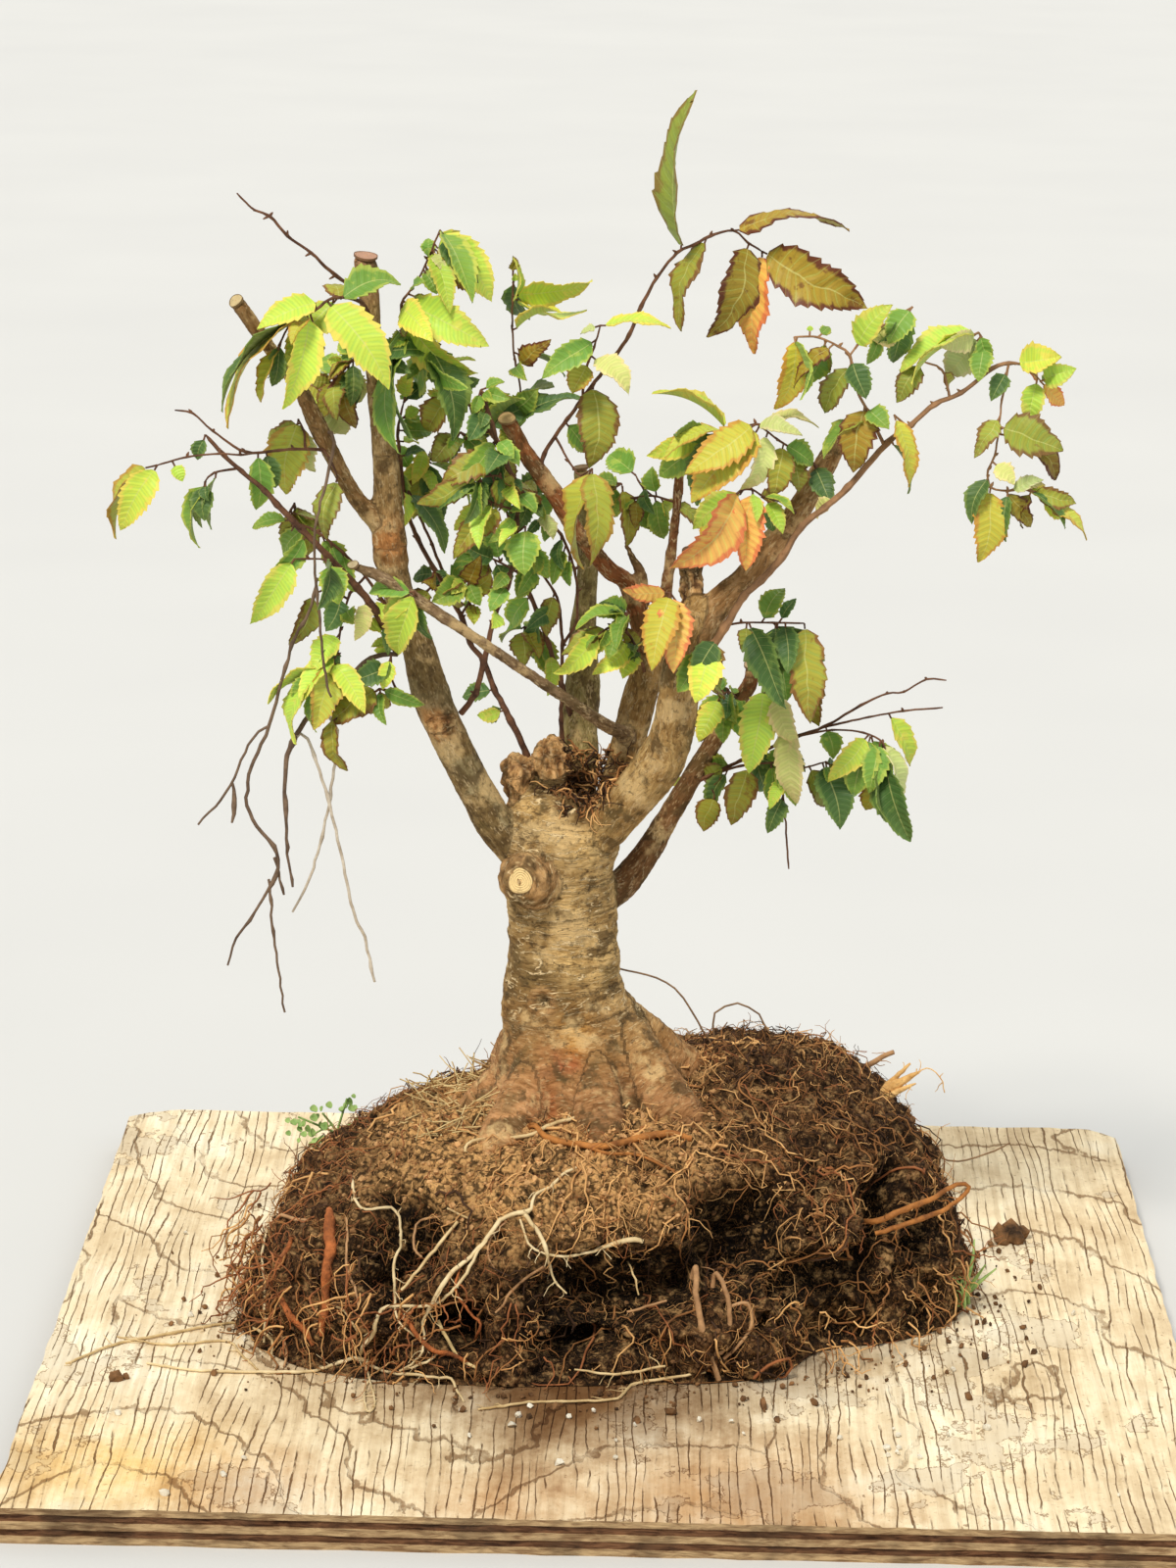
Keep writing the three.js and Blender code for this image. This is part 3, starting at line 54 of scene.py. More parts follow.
# Trunk and limbs: x, y, z and radius along each one
WOOD = {
    "trunk": [
        (-22, 4, 202, 14), (-23, 2, 195, 19.5), (-24, 0, 186, 21.5), (-24, 0, 177, 20.8),
        (-23, 0, 168, 20), (-22, 0, 159, 19.5), (-22, 0, 143, 20.2), (-21, 0, 128, 22.5),
        (-18.5, 0, 117, 25.5), (-17.5, 0, 107, 29.2), (-16.5, 0, 98, 33.5), (-16, 0, 90, 37), (-15, 0, 74, 41),
    ],
    "buttress_left": [(-25, -11, 112, 11.5), (-33, -24, 98, 10.5), (-49, -45, 74, 8)],
    "buttress_front": [(-12, -14, 114, 12), (-9, -29, 97, 10.5), (-3, -51, 73, 8)],
    "buttress_front_right": [(-2, -8, 114, 13), (12, -18, 99, 12), (34, -33, 75, 9)],
    "buttress_right": [(-2, 4, 114, 13), (18, 8, 98, 12), (42, 13, 75, 9)],
    "buttress_far_left": [(-30, 0, 110, 10), (-41, -2, 95, 10), (-63, -6, 72, 7)],
    "buttress_back_left": [(-28, 10, 114, 12), (-38, 26, 97, 10), (-48, 42, 76, 7)],
    "buttress_back": [(-9, 12, 114, 12), (2, 30, 97, 11), (12, 46, 76, 8)],
    "left_limb": [
        (-30, 0, 172, 8), (-38, -4, 184, 7.9), (-47, -8, 195, 6.8), (-64, -14, 229, 6.5),
        (-70, -15, 244, 6.9), (-75, -15, 262, 5.8), (-82, -14, 281, 5.4), (-85, -13, 297, 6.1),
        (-86, -12, 322, 4.8), (-89, -12, 346, 3.6), (-91, -10, 367, 3.5), (-94, -6, 396, 4.2),
    ],
    "left_fork": [
        (-86, -13, 302, 4.4), (-95, -17, 312, 3.1), (-104, -22, 329, 3.1), (-110, -25, 342, 3.3),
        (-115, -27, 353, 2.9), (-124, -30, 366, 2.6), (-136, -34, 384, 2.7),
    ],
    "crossing_branch": [
        (1, 5, 224, 3.4), (-4, -5, 229, 2.7), (-10, -16, 235, 2.4), (-22, -28, 246, 2.1),
        (-47, -38, 265, 2.1), (-65, -43, 278, 2.2), (-83, -44, 290, 2.2), (-95, -44, 295, 1.7),
    ],
    "back_limb": [
        (-20, 6, 190, 9), (-18, 14, 207, 7.8), (-18, 24, 223, 7.1), (-17, 32, 238, 6.5),
        (-17, 38, 257, 4.9), (-16, 42, 271, 4), (-16, 44, 285, 4.3), (-17, 46, 299, 3.6),
        (-19, 48, 313, 3.1),
    ],
    "red_limb": [
        (6, 9, 258, 4.2), (-1, 4, 280, 3.3), (-8, 1, 286, 3.2), (-14, -2, 294, 3.2),
        (-21, -5, 303, 3), (-26, -7, 313, 3.5), (-36, -9, 327, 3), (-44, -11, 341, 3.1),
    ],
    "dry_stub": [(5, 9, 272, 2.4), (4, 6, 283, 2), (1, 4, 289, 1.6), (-2, 3, 295, 1)],
    "middle_limb": [
        (-9, 2, 189, 6.5), (-3, 5, 207, 6.7), (0, 7, 219, 6.3), (3, 9, 234, 6.2),
        (6, 11, 246, 5.7), (9, 12, 258, 5), (12, 12, 270, 3.6),
    ],
    "upright_spur": [
        (11, 12, 262, 3), (13, 12, 279, 2.4), (15, 10, 299, 1.9), (16, 9, 311, 1.9),
        (17, 8, 333, 1.8),
    ],
    "right_limb": [
        (-19, -4, 184, 9), (-9, -8, 193, 8.6), (0, -13, 204, 8.2), (10, -20, 219, 8.5),
        (15, -24, 230, 8), (17, -28, 242, 7.4), (18, -30, 252, 7.1), (20, -33, 266, 6.6),
        (23, -34, 280, 5.5),
    ],
    "right_upper_limb": [
        (21, -33, 268, 6.4), (31, -32, 282, 5.2), (41, -30, 291, 4.8), (48, -28, 301, 4.8),
        (56, -26, 311, 4.5), (67, -22, 330, 3.9), (72, -20, 341, 3.5),
    ],
    "rotten_stub": [(22, -31, 272, 4.8), (22, -28, 282, 4.1), (21, -26, 289, 3.6), (21, -25, 298, 3.5)],
    "lower_right_limb": [
        (-10, 6, 163, 6), (-2, 10, 167, 5.8), (6, 14, 176, 5.1), (14, 18, 189, 4.3),
        (22, 20, 203, 3.9), (30, 22, 217, 3.6), (35, 23, 226, 3.2), (44, 23, 241, 2.9),
        (44, 23, 247, 2.7),
    ],
    "front_collar": [(-28, -8, 175, 11.5), (-33, -18, 177, 10.4), (-35.5, -23, 178, 7.6), (-36.5, -25.5, 178.4, 4.9)],
    "crotch_knob_left": [(-36, 0, 194, 6), (-38, -2, 206, 5.4), (-39, -3, 214, 6.2), (-38, -3, 218, 4)],
    "crotch_knob_right": [(-25, 2, 194, 7), (-26, 0, 206, 6), (-27, -2, 217, 7), (-29, -2, 224, 4.6)],
    "left_knot": [(-66, -15, 235, 5), (-66, -17.5, 234.5, 4.8), (-66.5, -19.5, 234, 4)],
}

# Bark colour of each limb, as 0-255 screen values; limbs that aren't named have the trunk's
BARK_TINTS = {
    "trunk": (172, 140, 90), "left_limb": (146, 122, 80), "left_fork": (160, 124, 80),
    "crossing_branch": (148, 122, 92), "back_limb": (168, 152, 100), "red_limb": (164, 102, 62),
    "dry_stub": (132, 100, 66), "middle_limb": (176, 140, 88), "upright_spur": (134, 88, 56),
    "right_limb": (184, 148, 94), "right_upper_limb": (170, 130, 84), "rotten_stub": (104, 76, 50),
    "lower_right_limb": (138, 100, 64), "front_collar": (204, 162, 110),
    "crotch_knob_left": (228, 176, 118), "crotch_knob_right": (226, 172, 112),
    "left_knot": (196, 146, 96),
}

# Sawn ends: limb, the colour of its cut face, and how the cut leans off square
SAWN_ENDS = {
    "left_limb": ((206, 160, 132), (0.2, -0.3, 0.0)), "left_fork": ((240, 216, 160), (-0.1, -0.5, 0.1)),
    "crossing_branch": ((244, 224, 178), (0.2, -0.8, 0.6)), "back_limb": ((170, 140, 100), (0, -0.2, 0)),
    "red_limb": ((246, 206, 144), (0.2, -0.6, 0.4)), "upright_spur": ((170, 130, 92), (0.2, -0.4, 0)),
    "right_upper_limb": ((226, 198, 150), (0.1, -0.5, 0.1)), "rotten_stub": ((104, 76, 52), (0, -0.3, 0)),
    "lower_right_limb": ((228, 198, 150), (0, -0.5, 0)), "front_collar": ((246, 214, 150), (0, -0.1, 0.1)),
}

SOIL_RIM = [128, 121, 110, 96, 106, 126, 132, 138, 104, 87, 93, 111]
SOIL_HOLLOWS = [
    (43, -74, 58, 17, 15, 15), (-75, -72, 60, 11, 12, 13), (-6, -88, 46, 15, 11, 12),
    (72, -66, 42, 14, 13, 11), (-68, -74, 61, 5, 10, 9), (-79, -80, 50, 7, 10, 11), (-55, -88, 33, 9, 10, 8),
    (9, -81, 47, 10, 12, 10), (-13, -88, 26, 13, 10, 5), (96, -38, 66, 7, 12, 12), (24, -80, 50, 8, 12, 11),
    (112, -26, 50, 6, 10, 8), (45, -64, 72, 13, 12, 6), (87, -57, 46, 8, 10, 8),
]

# Leafy shoots: the twigs, as x, y, z and radius along each, then the leaves. A leaf is its base x, y, z,
# its tip x, y, z, its width, the degrees it is turned about its length, and its tone.
SHOOTS = {
    "crown_left_shoot": (
        [
            [
                (-92, -9, 376, 0.9), (-95, -20, 383, 0.9), (-103, -33, 386, 0.7),
                (-110, -39, 382, 0.7), (-116, -42, 380, 0.5), (-121, -43, 371, 0.5),
            ],
        ],
        [
            (-105, -34, 384, -83, -44, 357, 16, 0, "l"),
            (-101, -31, 387, -81, -22, 392, 12, 0, "g"),
            (-109, -39, 385, -128, -48, 378, 10, 0, "l"),
            (-115, -42, 380, -140, -52, 345, 18, 55, "y"),
            (-111, -40, 379, -118, -50, 350, 13, -40, "l"),
            (-121, -43, 369, -128, -46, 352, 8, 45, "y"),
            (-109, -39, 376, -113, -42, 358, 8, -25, "o"),
        ],
    ),
    "crown_back_shoot": (
        [
            [
                (-89, -10, 366, 0.9), (-96, -4, 362, 0.7), (-102, 0, 356, 0.7), (-107, 3, 348, 0.5),
                (-109, 5, 343, 0.5),
            ],
        ],
        [
            (-106, 1, 353, -112, -4, 340, 8, 0, "o"), (-100, -1, 358, -98, -2, 335, 10, 35, "b"),
            (-96, -4, 362, -104, 2, 365, 7, 0, "g"), (-102, 0, 355, -95, 6, 343, 9, 0, "p"),
            (-108, 3, 347, -102, 8, 330, 10, 0, "p"), (-109, 5, 343, -118, 8, 347, 7, 0, "o"),
            (-104, 1, 353, -110, 12, 359, 9, 0, "g"),
        ],
    ),
    "budded_twig": (
        [
            [
                (-93, -8, 383, 1), (-98, -12, 387, 0.9), (-104, -14, 391, 0.9),
                (-112, -17, 399, 0.7), (-120, -19, 405, 0.7), (-126, -21, 412, 0.7),
                (-131, -22, 414, 0.5), (-137, -24, 420, 0.5),
            ],
            [(-104, -14, 391, 0.7), (-106, -16, 390, 0.5)],
            [(-112, -17, 399, 0.7), (-114, -18, 398, 0.5)],
            [(-120, -19, 405, 0.7), (-120, -20, 407, 0.5)],
            [(-126, -21, 412, 0.7), (-128, -22, 411, 0.5)],
        ],
        [
        ],
    ),
    "far_left_shoot": (
        [
            [
                (-105, -22, 330, 0.9), (-107, -26, 332, 0.9), (-117, -31, 333, 0.7),
                (-122, -34, 333, 0.7), (-133, -38, 333, 0.7), (-144, -38, 340, 0.5),
                (-151, -38, 346, 0.5), (-157, -38, 347, 0.5),
            ],
            [
                (-122, -34, 333, 0.7), (-129, -39, 333, 0.5), (-134, -44, 333, 0.5),
                (-141, -48, 334, 0.5), (-152, -50, 333, 0.5), (-162, -50, 330, 0.5),
            ],
            [(-113, -29, 333, 0.7), (-114, -24, 338, 0.5), (-116, -22, 342, 0.5)],
            [(-107, -26, 332, 0.7), (-104, -28, 328, 0.5), (-102, -28, 323, 0.5)],
        ],
        [
            (-163, -50, 330, -175, -54, 308, 11, -15, "l"),
            (-166, -50, 329, -179, -45, 304, 12, 55, "y"),
            (-157, -50, 332, -153, -52, 325, 5, 0, "l"),
            (-116, -22, 342, -121, -22, 315, 15, 0, "y"),
            (-129, -38, 332, -130, -31, 311, 9, -20, "g"),
            (-126, -36, 332, -123, -33, 319, 8, 0, "d"),
            (-102, -28, 323, -107, -32, 302, 10, 0, "o"),
            (-115, -23, 339, -112, -16, 321, 8, 0, "p"),
            (-116, -22, 340, -128, -16, 334, 6, 0, "o"),
        ],
    ),
    "long_left_shoot": (
        [
            [
                (-82, -14, 259, 2.1), (-89, -24, 275, 1.9), (-95, -28, 284, 1.7),
                (-105, -33, 296, 1.5), (-114, -36, 306, 1.5), (-122, -39, 315, 1.4),
                (-126, -40, 320, 1.2), (-134, -42, 327, 1), (-140, -44, 333, 1),
                (-146, -45, 340, 0.9),
            ],
            [
                (-99, -30, 289, 0.7), (-105, -36, 295, 0.5), (-111, -38, 296, 0.5),
                (-116, -39, 296, 0.5),
            ],
            [(-135, -42, 328, 0.7), (-143, -46, 327, 0.5), (-146, -47, 324, 0.5)],
            [(-116, -37, 308, 0.7), (-117, -40, 306, 0.5)],
        ],
        [
            (-116, -39, 295, -130, -44, 273, 11, -25, "l"),
            (-104, -36, 295, -100, -41, 281, 10, 0, "g"),
            (-147, -47, 323, -147, -50, 311, 8, 0, "d"),
            (-146, -47, 323, -150, -43, 300, 10, 55, "g"),
            (-92, -26, 279, -95, -34, 267, 6, 0, "p"), (-85, -20, 267, -93, -26, 269, 6, 0, "l"),
        ],
    ),
    "thin_left_shoot": (
        [
            [
                (-82, -12, 268, 0.9), (-87, -16, 277, 0.9), (-94, -20, 288, 0.7),
                (-101, -20, 295, 0.7), (-110, -20, 302, 0.7), (-119, -20, 306, 0.5),
                (-119, -17, 309, 0.5), (-118, -15, 311, 0.5),
            ],
            [
                (-93, -20, 286, 0.7), (-98, -19, 280, 0.7), (-100, -22, 274, 0.5),
                (-101, -26, 268, 0.5), (-102, -30, 260, 0.5), (-106, -33, 255, 0.5),
                (-110, -34, 255, 0.5),
            ],
            [(-99, -19, 278, 0.7), (-105, -22, 282, 0.5), (-110, -25, 281, 0.5)],
        ],
        [
            (-118, -15, 311, -113, -9, 290, 10, 0, "o"),
            (-101, -20, 278, -106, -27, 268, 9, 0, "d"),
            (-110, -25, 281, -118, -30, 263, 9, -35, "o"),
            (-101, -26, 267, -110, -35, 255, 9, 0, "l"),
            (-103, -30, 259, -109, -38, 235, 11, -20, "y"),
            (-110, -34, 254, -117, -38, 230, 11, 40, "l"),
            (-107, -20, 301, -103, -12, 287, 9, 0, "g"),
            (-114, -20, 304, -122, -12, 290, 8, 0, "g"),
        ],
    ),
    "knot_leaf_shoot": (
        [
            [(-74, -16, 242, 0.9), (-81, -24, 246, 0.7), (-87, -28, 248, 0.5)],
            [(-81, -24, 246, 0.7), (-83, -27, 252, 0.5), (-83, -29, 260, 0.5)],
        ],
        [
            (-87, -28, 247, -104, -32, 236, 13, 0, "o"),
            (-103, -32, 237, -99, -34, 219, 8, 40, "o"), (-83, -29, 261, -86, -33, 249, 6, 0, "l"),
        ],
    ),
    "crossing_branch_leaf": (
        [
            [(-73, -44, 284, 0.7), (-74, -47, 287, 0.5)],
        ],
        [
            (-74, -47, 287, -81, -38, 262, 12, 0, "l"),
        ],
    ),
    "knot_shoot": (
        [
            [
                (-59, -13, 236, 1.6), (-54, -16, 244, 1.4), (-51, -18, 256, 1.4),
                (-48, -18, 270, 1.2), (-46, -18, 277, 1.2), (-43, -17, 283, 1.2),
                (-41, -16, 294, 1), (-40, -15, 305, 1), (-40, -16, 319, 1), (-44, -17, 326, 1),
                (-47, -18, 334, 1), (-49, -19, 341, 1), (-53, -20, 353, 1),
            ],
            [(-40, -16, 310, 0.7), (-45, -19, 312, 0.5), (-49, -21, 314, 0.5)],
            [(-41, -16, 320, 0.7), (-46, -20, 323, 0.5), (-53, -23, 323, 0.5)],
            [(-41, -15, 301, 0.5), (-37, -18, 305, 0.5)],
            [(-44, -17, 326, 0.5), (-47, -20, 330, 0.5)],
        ],
        [
            (-36, -18, 306, -36, -25, 289, 12, 0, "g"), (-49, -21, 313, -53, -34, 300, 7, 25, "l"),
            (-45, -19, 312, -62, -26, 295, 10, -30, "o"), (-53, -23, 323, -68, -25, 312, 8, 0, "d"),
            (-47, -20, 330, -67, -26, 320, 11, 0, "o"), (-49, -21, 314, -59, -27, 319, 8, 0, "g"),
            (-40, -16, 317, -33, -22, 311, 7, 0, "g"), (-53, -20, 352, -43, -26, 351, 6, 0, "g"),
            (-51, -19, 346, -57, -24, 336, 8, 0, "d"), (-46, -18, 332, -52, -14, 321, 8, 0, "o"),
            (-43, -17, 284, -49, -24, 276, 7, 0, "g"), (-47, -18, 334, -39, -22, 327, 7, 0, "g"),
        ],
    ),
    "crotch_shoot": (
        [
            [
                (-33, 2, 207, 1.6), (-36, 4, 217, 1.6), (-42, 6, 229, 1.6), (-48, 8, 240, 1.4),
                (-52, 8, 250, 1.4), (-57, 8, 257, 1.2), (-60, 8, 266, 1.2), (-70, 7, 284, 1.1),
                (-76, 6, 295, 1.1), (-80, 5, 307, 0.9), (-82, 4, 323, 0.9), (-83, 4, 334, 0.7),
                (-81, 4, 344, 0.5),
            ],
            [
                (-60, 8, 266, 0.9), (-66, 12, 279, 0.9), (-71, 14, 291, 0.7), (-77, 15, 305, 0.7),
                (-79, 16, 318, 0.5),
            ],
            [(-60, 8, 267, 0.7), (-57, 4, 274, 0.5), (-58, 2, 281, 0.5)],
            [(-77, 15, 306, 0.7), (-73, 14, 314, 0.5), (-73, 13, 322, 0.5)],
            [(-80, 5, 307, 0.7), (-79, 1, 313, 0.5)],
            [(-67, 7, 278, 0.7), (-71, 2, 278, 0.5)],
        ],
        [
            (-79, 1, 314, -64, -4, 293, 11, -35, "d"), (-74, 13, 325, -78, 8, 314, 6, 0, "l"),
            (-73, 13, 320, -71, 8, 312, 6, 0, "l"), (-58, 2, 281, -70, -3, 274, 10, 0, "g"),
            (-58, 2, 281, -53, -2, 273, 7, 0, "g"), (-57, 3, 278, -53, -1, 290, 8, 0, "b"),
            (-71, 2, 278, -76, -3, 272, 6, 0, "o"), (-48, 8, 240, -60, 12, 236, 7, 0, "d"),
            (-81, 4, 344, -74, 10, 350, 7, 0, "d"), (-82, 4, 330, -86, 12, 309, 10, 25, "o"),
            (-83, 4, 334, -71, 8, 333, 8, 0, "g"), (-79, 16, 317, -85, 20, 326, 7, 0, "g"),
            (-69, 7, 282, -78, 12, 279, 7, 0, "d"), (-73, 13, 322, -62, 18, 324, 8, 0, "o"),
            (-66, 12, 279, -55, 18, 282, 8, 0, "g"),
        ],
    ),
    "inner_red_shoot": (
        [
            [
                (-23, 8, 216, 1.4), (-24, 8, 229, 1.1), (-24, 7, 242, 1.1), (-24, 6, 257, 0.9),
                (-25, 5, 270, 0.9), (-27, 4, 277, 0.7), (-33, 3, 286, 0.7), (-36, 2, 294, 0.5),
            ],
            [
                (-24, 6, 257, 0.9), (-19, 6, 266, 0.7), (-19, 6, 277, 0.7), (-20, 5, 285, 0.7),
                (-25, 3, 298, 0.7), (-33, 0, 307, 0.7), (-40, -2, 316, 0.9), (-50, -5, 336, 0.9),
                (-58, -6, 346, 0.9), (-71, -6, 358, 0.9), (-79, -8, 370, 0.7), (-81, -13, 381, 0.7),
                (-76, -14, 389, 0.5), (-72, -13, 397, 0.5), (-68, -12, 407, 0.5),
            ],
            [
                (-47, -4, 331, 0.5), (-44, 2, 340, 0.5), (-40, 3, 348, 0.5), (-42, 1, 360, 0.5),
                (-43, 0, 372, 0.5), (-43, 0, 382, 0.5), (-43, 0, 391, 0.5),
            ],
            [(-71, -6, 358, 0.7), (-71, -12, 367, 0.5)],
            [(-58, -6, 346, 0.7), (-65, -2, 348, 0.5)],
            [(-72, -13, 397, 0.5), (-73, -13, 395, 0.5)],
            [(-50, -5, 336, 0.7), (-57, 0, 333, 0.5), (-61, 3, 334, 0.5)],
        ],
        [
            (-67, -12, 407, -54, -34, 387, 12, -45, "g"),
            (-67, -12, 408, -48, -14, 384, 13, 10, "l"), (-72, -13, 397, -72, -10, 404, 5, 0, "g"),
            (-74, -14, 394, -69, -18, 386, 6, 0, "g"), (-69, -12, 402, -59, -10, 388, 7, -35, "p"),
            (-80, -14, 382, -51, -24, 369, 14, 25, "l"),
            (-71, -12, 368, -61, -22, 336, 15, -25, "d"),
            (-79, -10, 369, -83, -36, 334, 17, 60, "g"), (-75, -8, 364, -67, 2, 348, 10, 0, "d"),
            (-78, -8, 370, -84, -20, 368, 6, 0, "g"), (-45, -1, 335, -19, 4, 348, 18, -40, "d"),
            (-55, -5, 343, -44, 2, 348, 8, 0, "g"), (-51, -4, 337, -38, 2, 344, 11, 0, "d"),
            (-43, 0, 383, -15, 3, 387, 12, 60, "l"), (-43, 0, 371, -26, -8, 380, 9, -50, "l"),
            (-42, 1, 358, -30, -4, 368, 7, 50, "b"), (-42, 0, 390, -42, 0, 397, 4, 0, "b"),
            (-65, -2, 348, -74, 4, 334, 11, 0, "o"), (-61, 3, 334, -71, 0, 324, 10, 0, "o"),
            (-61, 3, 334, -52, 8, 323, 10, 0, "g"), (-58, -6, 346, -50, 5, 332, 8, 0, "d"),
            (-36, 2, 294, -29, -2, 283, 7, 0, "g"), (-33, 3, 286, -40, 0, 275, 8, 0, "g"),
            (-27, 4, 277, -30, 2, 261, 8, 0, "o"), (-33, 0, 307, -27, -4, 298, 6, 0, "p"),
            (-25, 4, 293, -29, -1, 281, 6, 0, "g"),
        ],
    ),
    "back_limb_shoot": (
        [
            [
                (-19, 22, 222, 1.4), (-24, 18, 239, 1.4), (-29, 16, 255, 1.2), (-33, 16, 266, 1.2),
                (-36, 16, 273, 1.1), (-40, 16, 281, 1.1), (-41, 17, 290, 0.9), (-44, 18, 300, 0.7),
                (-47, 20, 310, 0.5),
            ],
            [(-29, 16, 255, 0.7), (-34, 20, 259, 0.5), (-38, 22, 260, 0.5)],
            [(-40, 16, 281, 0.7), (-47, 20, 284, 0.5), (-54, 24, 286, 0.5)],
            [(-44, 18, 300, 0.7), (-39, 22, 306, 0.5), (-34, 24, 310, 0.5)],
        ],
        [
            (-38, 22, 260, -38, 16, 247, 9, 0, "o"), (-54, 24, 286, -55, 18, 274, 9, 0, "o"),
            (-47, 20, 284, -51, 26, 295, 9, 0, "g"), (-34, 24, 310, -30, 20, 300, 8, 0, "g"),
            (-47, 20, 310, -57, 26, 302, 9, 0, "g"), (-47, 20, 310, -44, 26, 321, 8, 0, "o"),
            (-39, 22, 306, -32, 28, 316, 9, 0, "d"), (-36, 16, 273, -43, 24, 259, 9, 0, "g"),
            (-54, 24, 286, -64, 28, 280, 8, 0, "d"), (-34, 20, 259, -29, 28, 241, 9, 0, "g"),
        ],
    ),
    "long_top_shoot": (
        [
            [
                (-32, -9, 321, 1.2), (-31, -9, 329, 1), (-23, -12, 342, 0.9), (-15, -15, 354, 0.9),
                (-7, -17, 365, 0.9), (-2, -18, 373, 0.9), (2, -19, 383, 0.9), (7, -20, 393, 0.7),
                (14, -21, 402, 0.7), (20, -21, 405, 0.7), (25, -21, 408, 0.7), (33, -21, 410, 0.5),
                (38, -21, 406, 0.5), (43, -21, 403, 0.5),
            ],
            [
                (-18, -14, 349, 0.7), (-17, -20, 360, 0.7), (-14, -23, 369, 0.5),
                (-12, -25, 377, 0.5),
            ],
            [
                (-27, -10, 335, 0.7), (-22, -18, 328, 0.5), (-18, -22, 324, 0.5),
                (-14, -24, 327, 0.5),
            ],
        ],
        [
            (15, -21, 403, 15, -26, 458, 18, -65, "m"), (24, -21, 407, 13, -28, 377, 14, 45, "o"),
            (33, -21, 410, 72, -26, 416, 17, -30, "b"), (44, -21, 403, 80, -28, 387, 17, 25, "b"),
            (38, -21, 405, 27, -30, 374, 14, -25, "b"), (43, -21, 401, 39, -24, 368, 14, 40, "r"),
            (-12, -25, 378, 12, -32, 380, 10, -40, "l"), (-12, -25, 377, -19, -27, 375, 4, 0, "p"),
            (-14, -24, 372, -32, -30, 360, 9, -30, "g"), (-15, -22, 366, -1, -30, 356, 9, 0, "p"),
            (-15, -21, 364, -21, -25, 353, 9, 0, "y"), (-14, -15, 355, -14, -20, 326, 14, 0, "o"),
            (-24, -12, 341, -16, -6, 329, 8, 0, "g"), (-15, -24, 327, -20, -21, 291, 14, 40, "y"),
            (-13, -24, 326, -11, -38, 296, 14, -30, "y"),
        ],
    ),
    "spur_shoot": (
        [
            [(16, 9, 309, 0.7), (7, 11, 311, 0.5), (-2, 12, 310, 0.5), (-4, 12, 315, 0.5)],
            [(7, 11, 311, 0.5), (3, 15, 314, 0.5), (1, 18, 317, 0.5)],
        ],
        [
            (-4, 12, 314, -1, 11, 292, 9, -30, "o"), (8, 11, 311, 12, 17, 294, 8, 0, "g"),
            (2, 12, 310, 1, 8, 300, 5, 0, "b"), (1, 18, 317, -9, 26, 323, 10, 0, "g"),
            (-2, 12, 310, -10, 20, 304, 9, 0, "g"),
        ],
    ),
    "middle_shoot": (
        [
            [
                (6, 8, 246, 0.9), (3, -4, 258, 0.7), (-1, -10, 266, 0.7), (-6, -14, 269, 0.5),
                (-10, -16, 267, 0.5),
            ],
            [(-1, -10, 266, 0.5), (0, -13, 273, 0.5)],
        ],
        [
            (-10, -16, 266, -25, -22, 252, 9, -20, "l"), (0, -13, 273, -19, -20, 270, 8, 35, "g"),
            (3, -4, 258, -2, -12, 250, 8, 0, "l"), (-4, -13, 268, -7, -18, 258, 7, 0, "g"),
            (1, -12, 271, -10, -8, 277, 9, 0, "g"), (-8, -15, 268, -15, -8, 259, 8, 0, "g"),
        ],
    ),
    "hooded_shoot": (
        [
            [(21, -40, 273, 0.7), (17, -44, 283, 0.5), (14, -45, 288, 0.5)],
        ],
        [
            (14, -46, 288, 8, -61, 265, 12, 0, "y"), (15, -46, 288, 16, -57, 263, 12, 0, "r"),
            (13, -45, 289, -3, -40, 288, 7, -50, "r"),
        ],
    ),
    "yellow_cluster_shoot": (
        [
            [
                (65, -24, 327, 0.9), (61, -32, 333, 0.7), (50, -40, 341, 0.5), (44, -43, 346, 0.5),
                (42, -43, 347, 0.5), (33, -38, 344, 0.5), (26, -34, 341, 0.5),
            ],
        ],
        [
            (42, -43, 347, 18, -54, 332, 13, 0, "y"), (42, -42, 344, 20, -49, 321, 16, 0, "y"),
            (44, -43, 346, 63, -44, 349, 8, -25, "p"), (52, -39, 341, 63, -36, 333, 9, 0, "g"),
            (46, -42, 344, 39, -47, 324, 9, -30, "p"), (52, -39, 340, 48, -45, 322, 10, 0, "o"),
            (56, -36, 337, 58, -40, 323, 8, 0, "o"), (33, -38, 344, 7, -34, 357, 12, 60, "l"),
            (26, -34, 341, 5, -38, 334, 9, -30, "l"), (37, -40, 345, 27, -34, 332, 9, 0, "g"),
        ],
    ),
    "orange_cluster_shoot": (
        [
            [
                (58, -26, 312, 0.9), (52, -38, 319, 0.7), (46, -46, 322, 0.5), (41, -52, 326, 0.5),
                (37, -54, 326, 0.5),
            ],
        ],
        [
            (37, -54, 326, 15, -65, 300, 15, -40, "r"), (38, -54, 325, 24, -43, 299, 11, 35, "y"),
            (41, -52, 325, 40, -58, 299, 12, 0, "r"), (46, -46, 322, 52, -52, 311, 6, 0, "l"),
            (37, -54, 326, 21, -54, 312, 9, -25, "l"),
        ],
    ),
    "arching_shoot": (
        [
            [
                (20, -34, 256, 2.7), (25, -43, 265, 2), (29, -46, 270, 1.9), (33, -48, 277, 1.9),
                (39, -49, 288, 1.7), (45, -49, 294, 1.7), (52, -48, 302, 1.7), (58, -47, 312, 1.5),
                (66, -46, 319, 1.5), (74, -44, 326, 1.5), (87, -41, 341, 1.4), (95, -39, 347, 1.2),
                (103, -37, 354, 1.2), (112, -36, 358, 1), (122, -34, 366, 1), (128, -33, 368, 0.9),
                (134, -33, 367, 0.5), (139, -33, 362, 0.5),
            ],
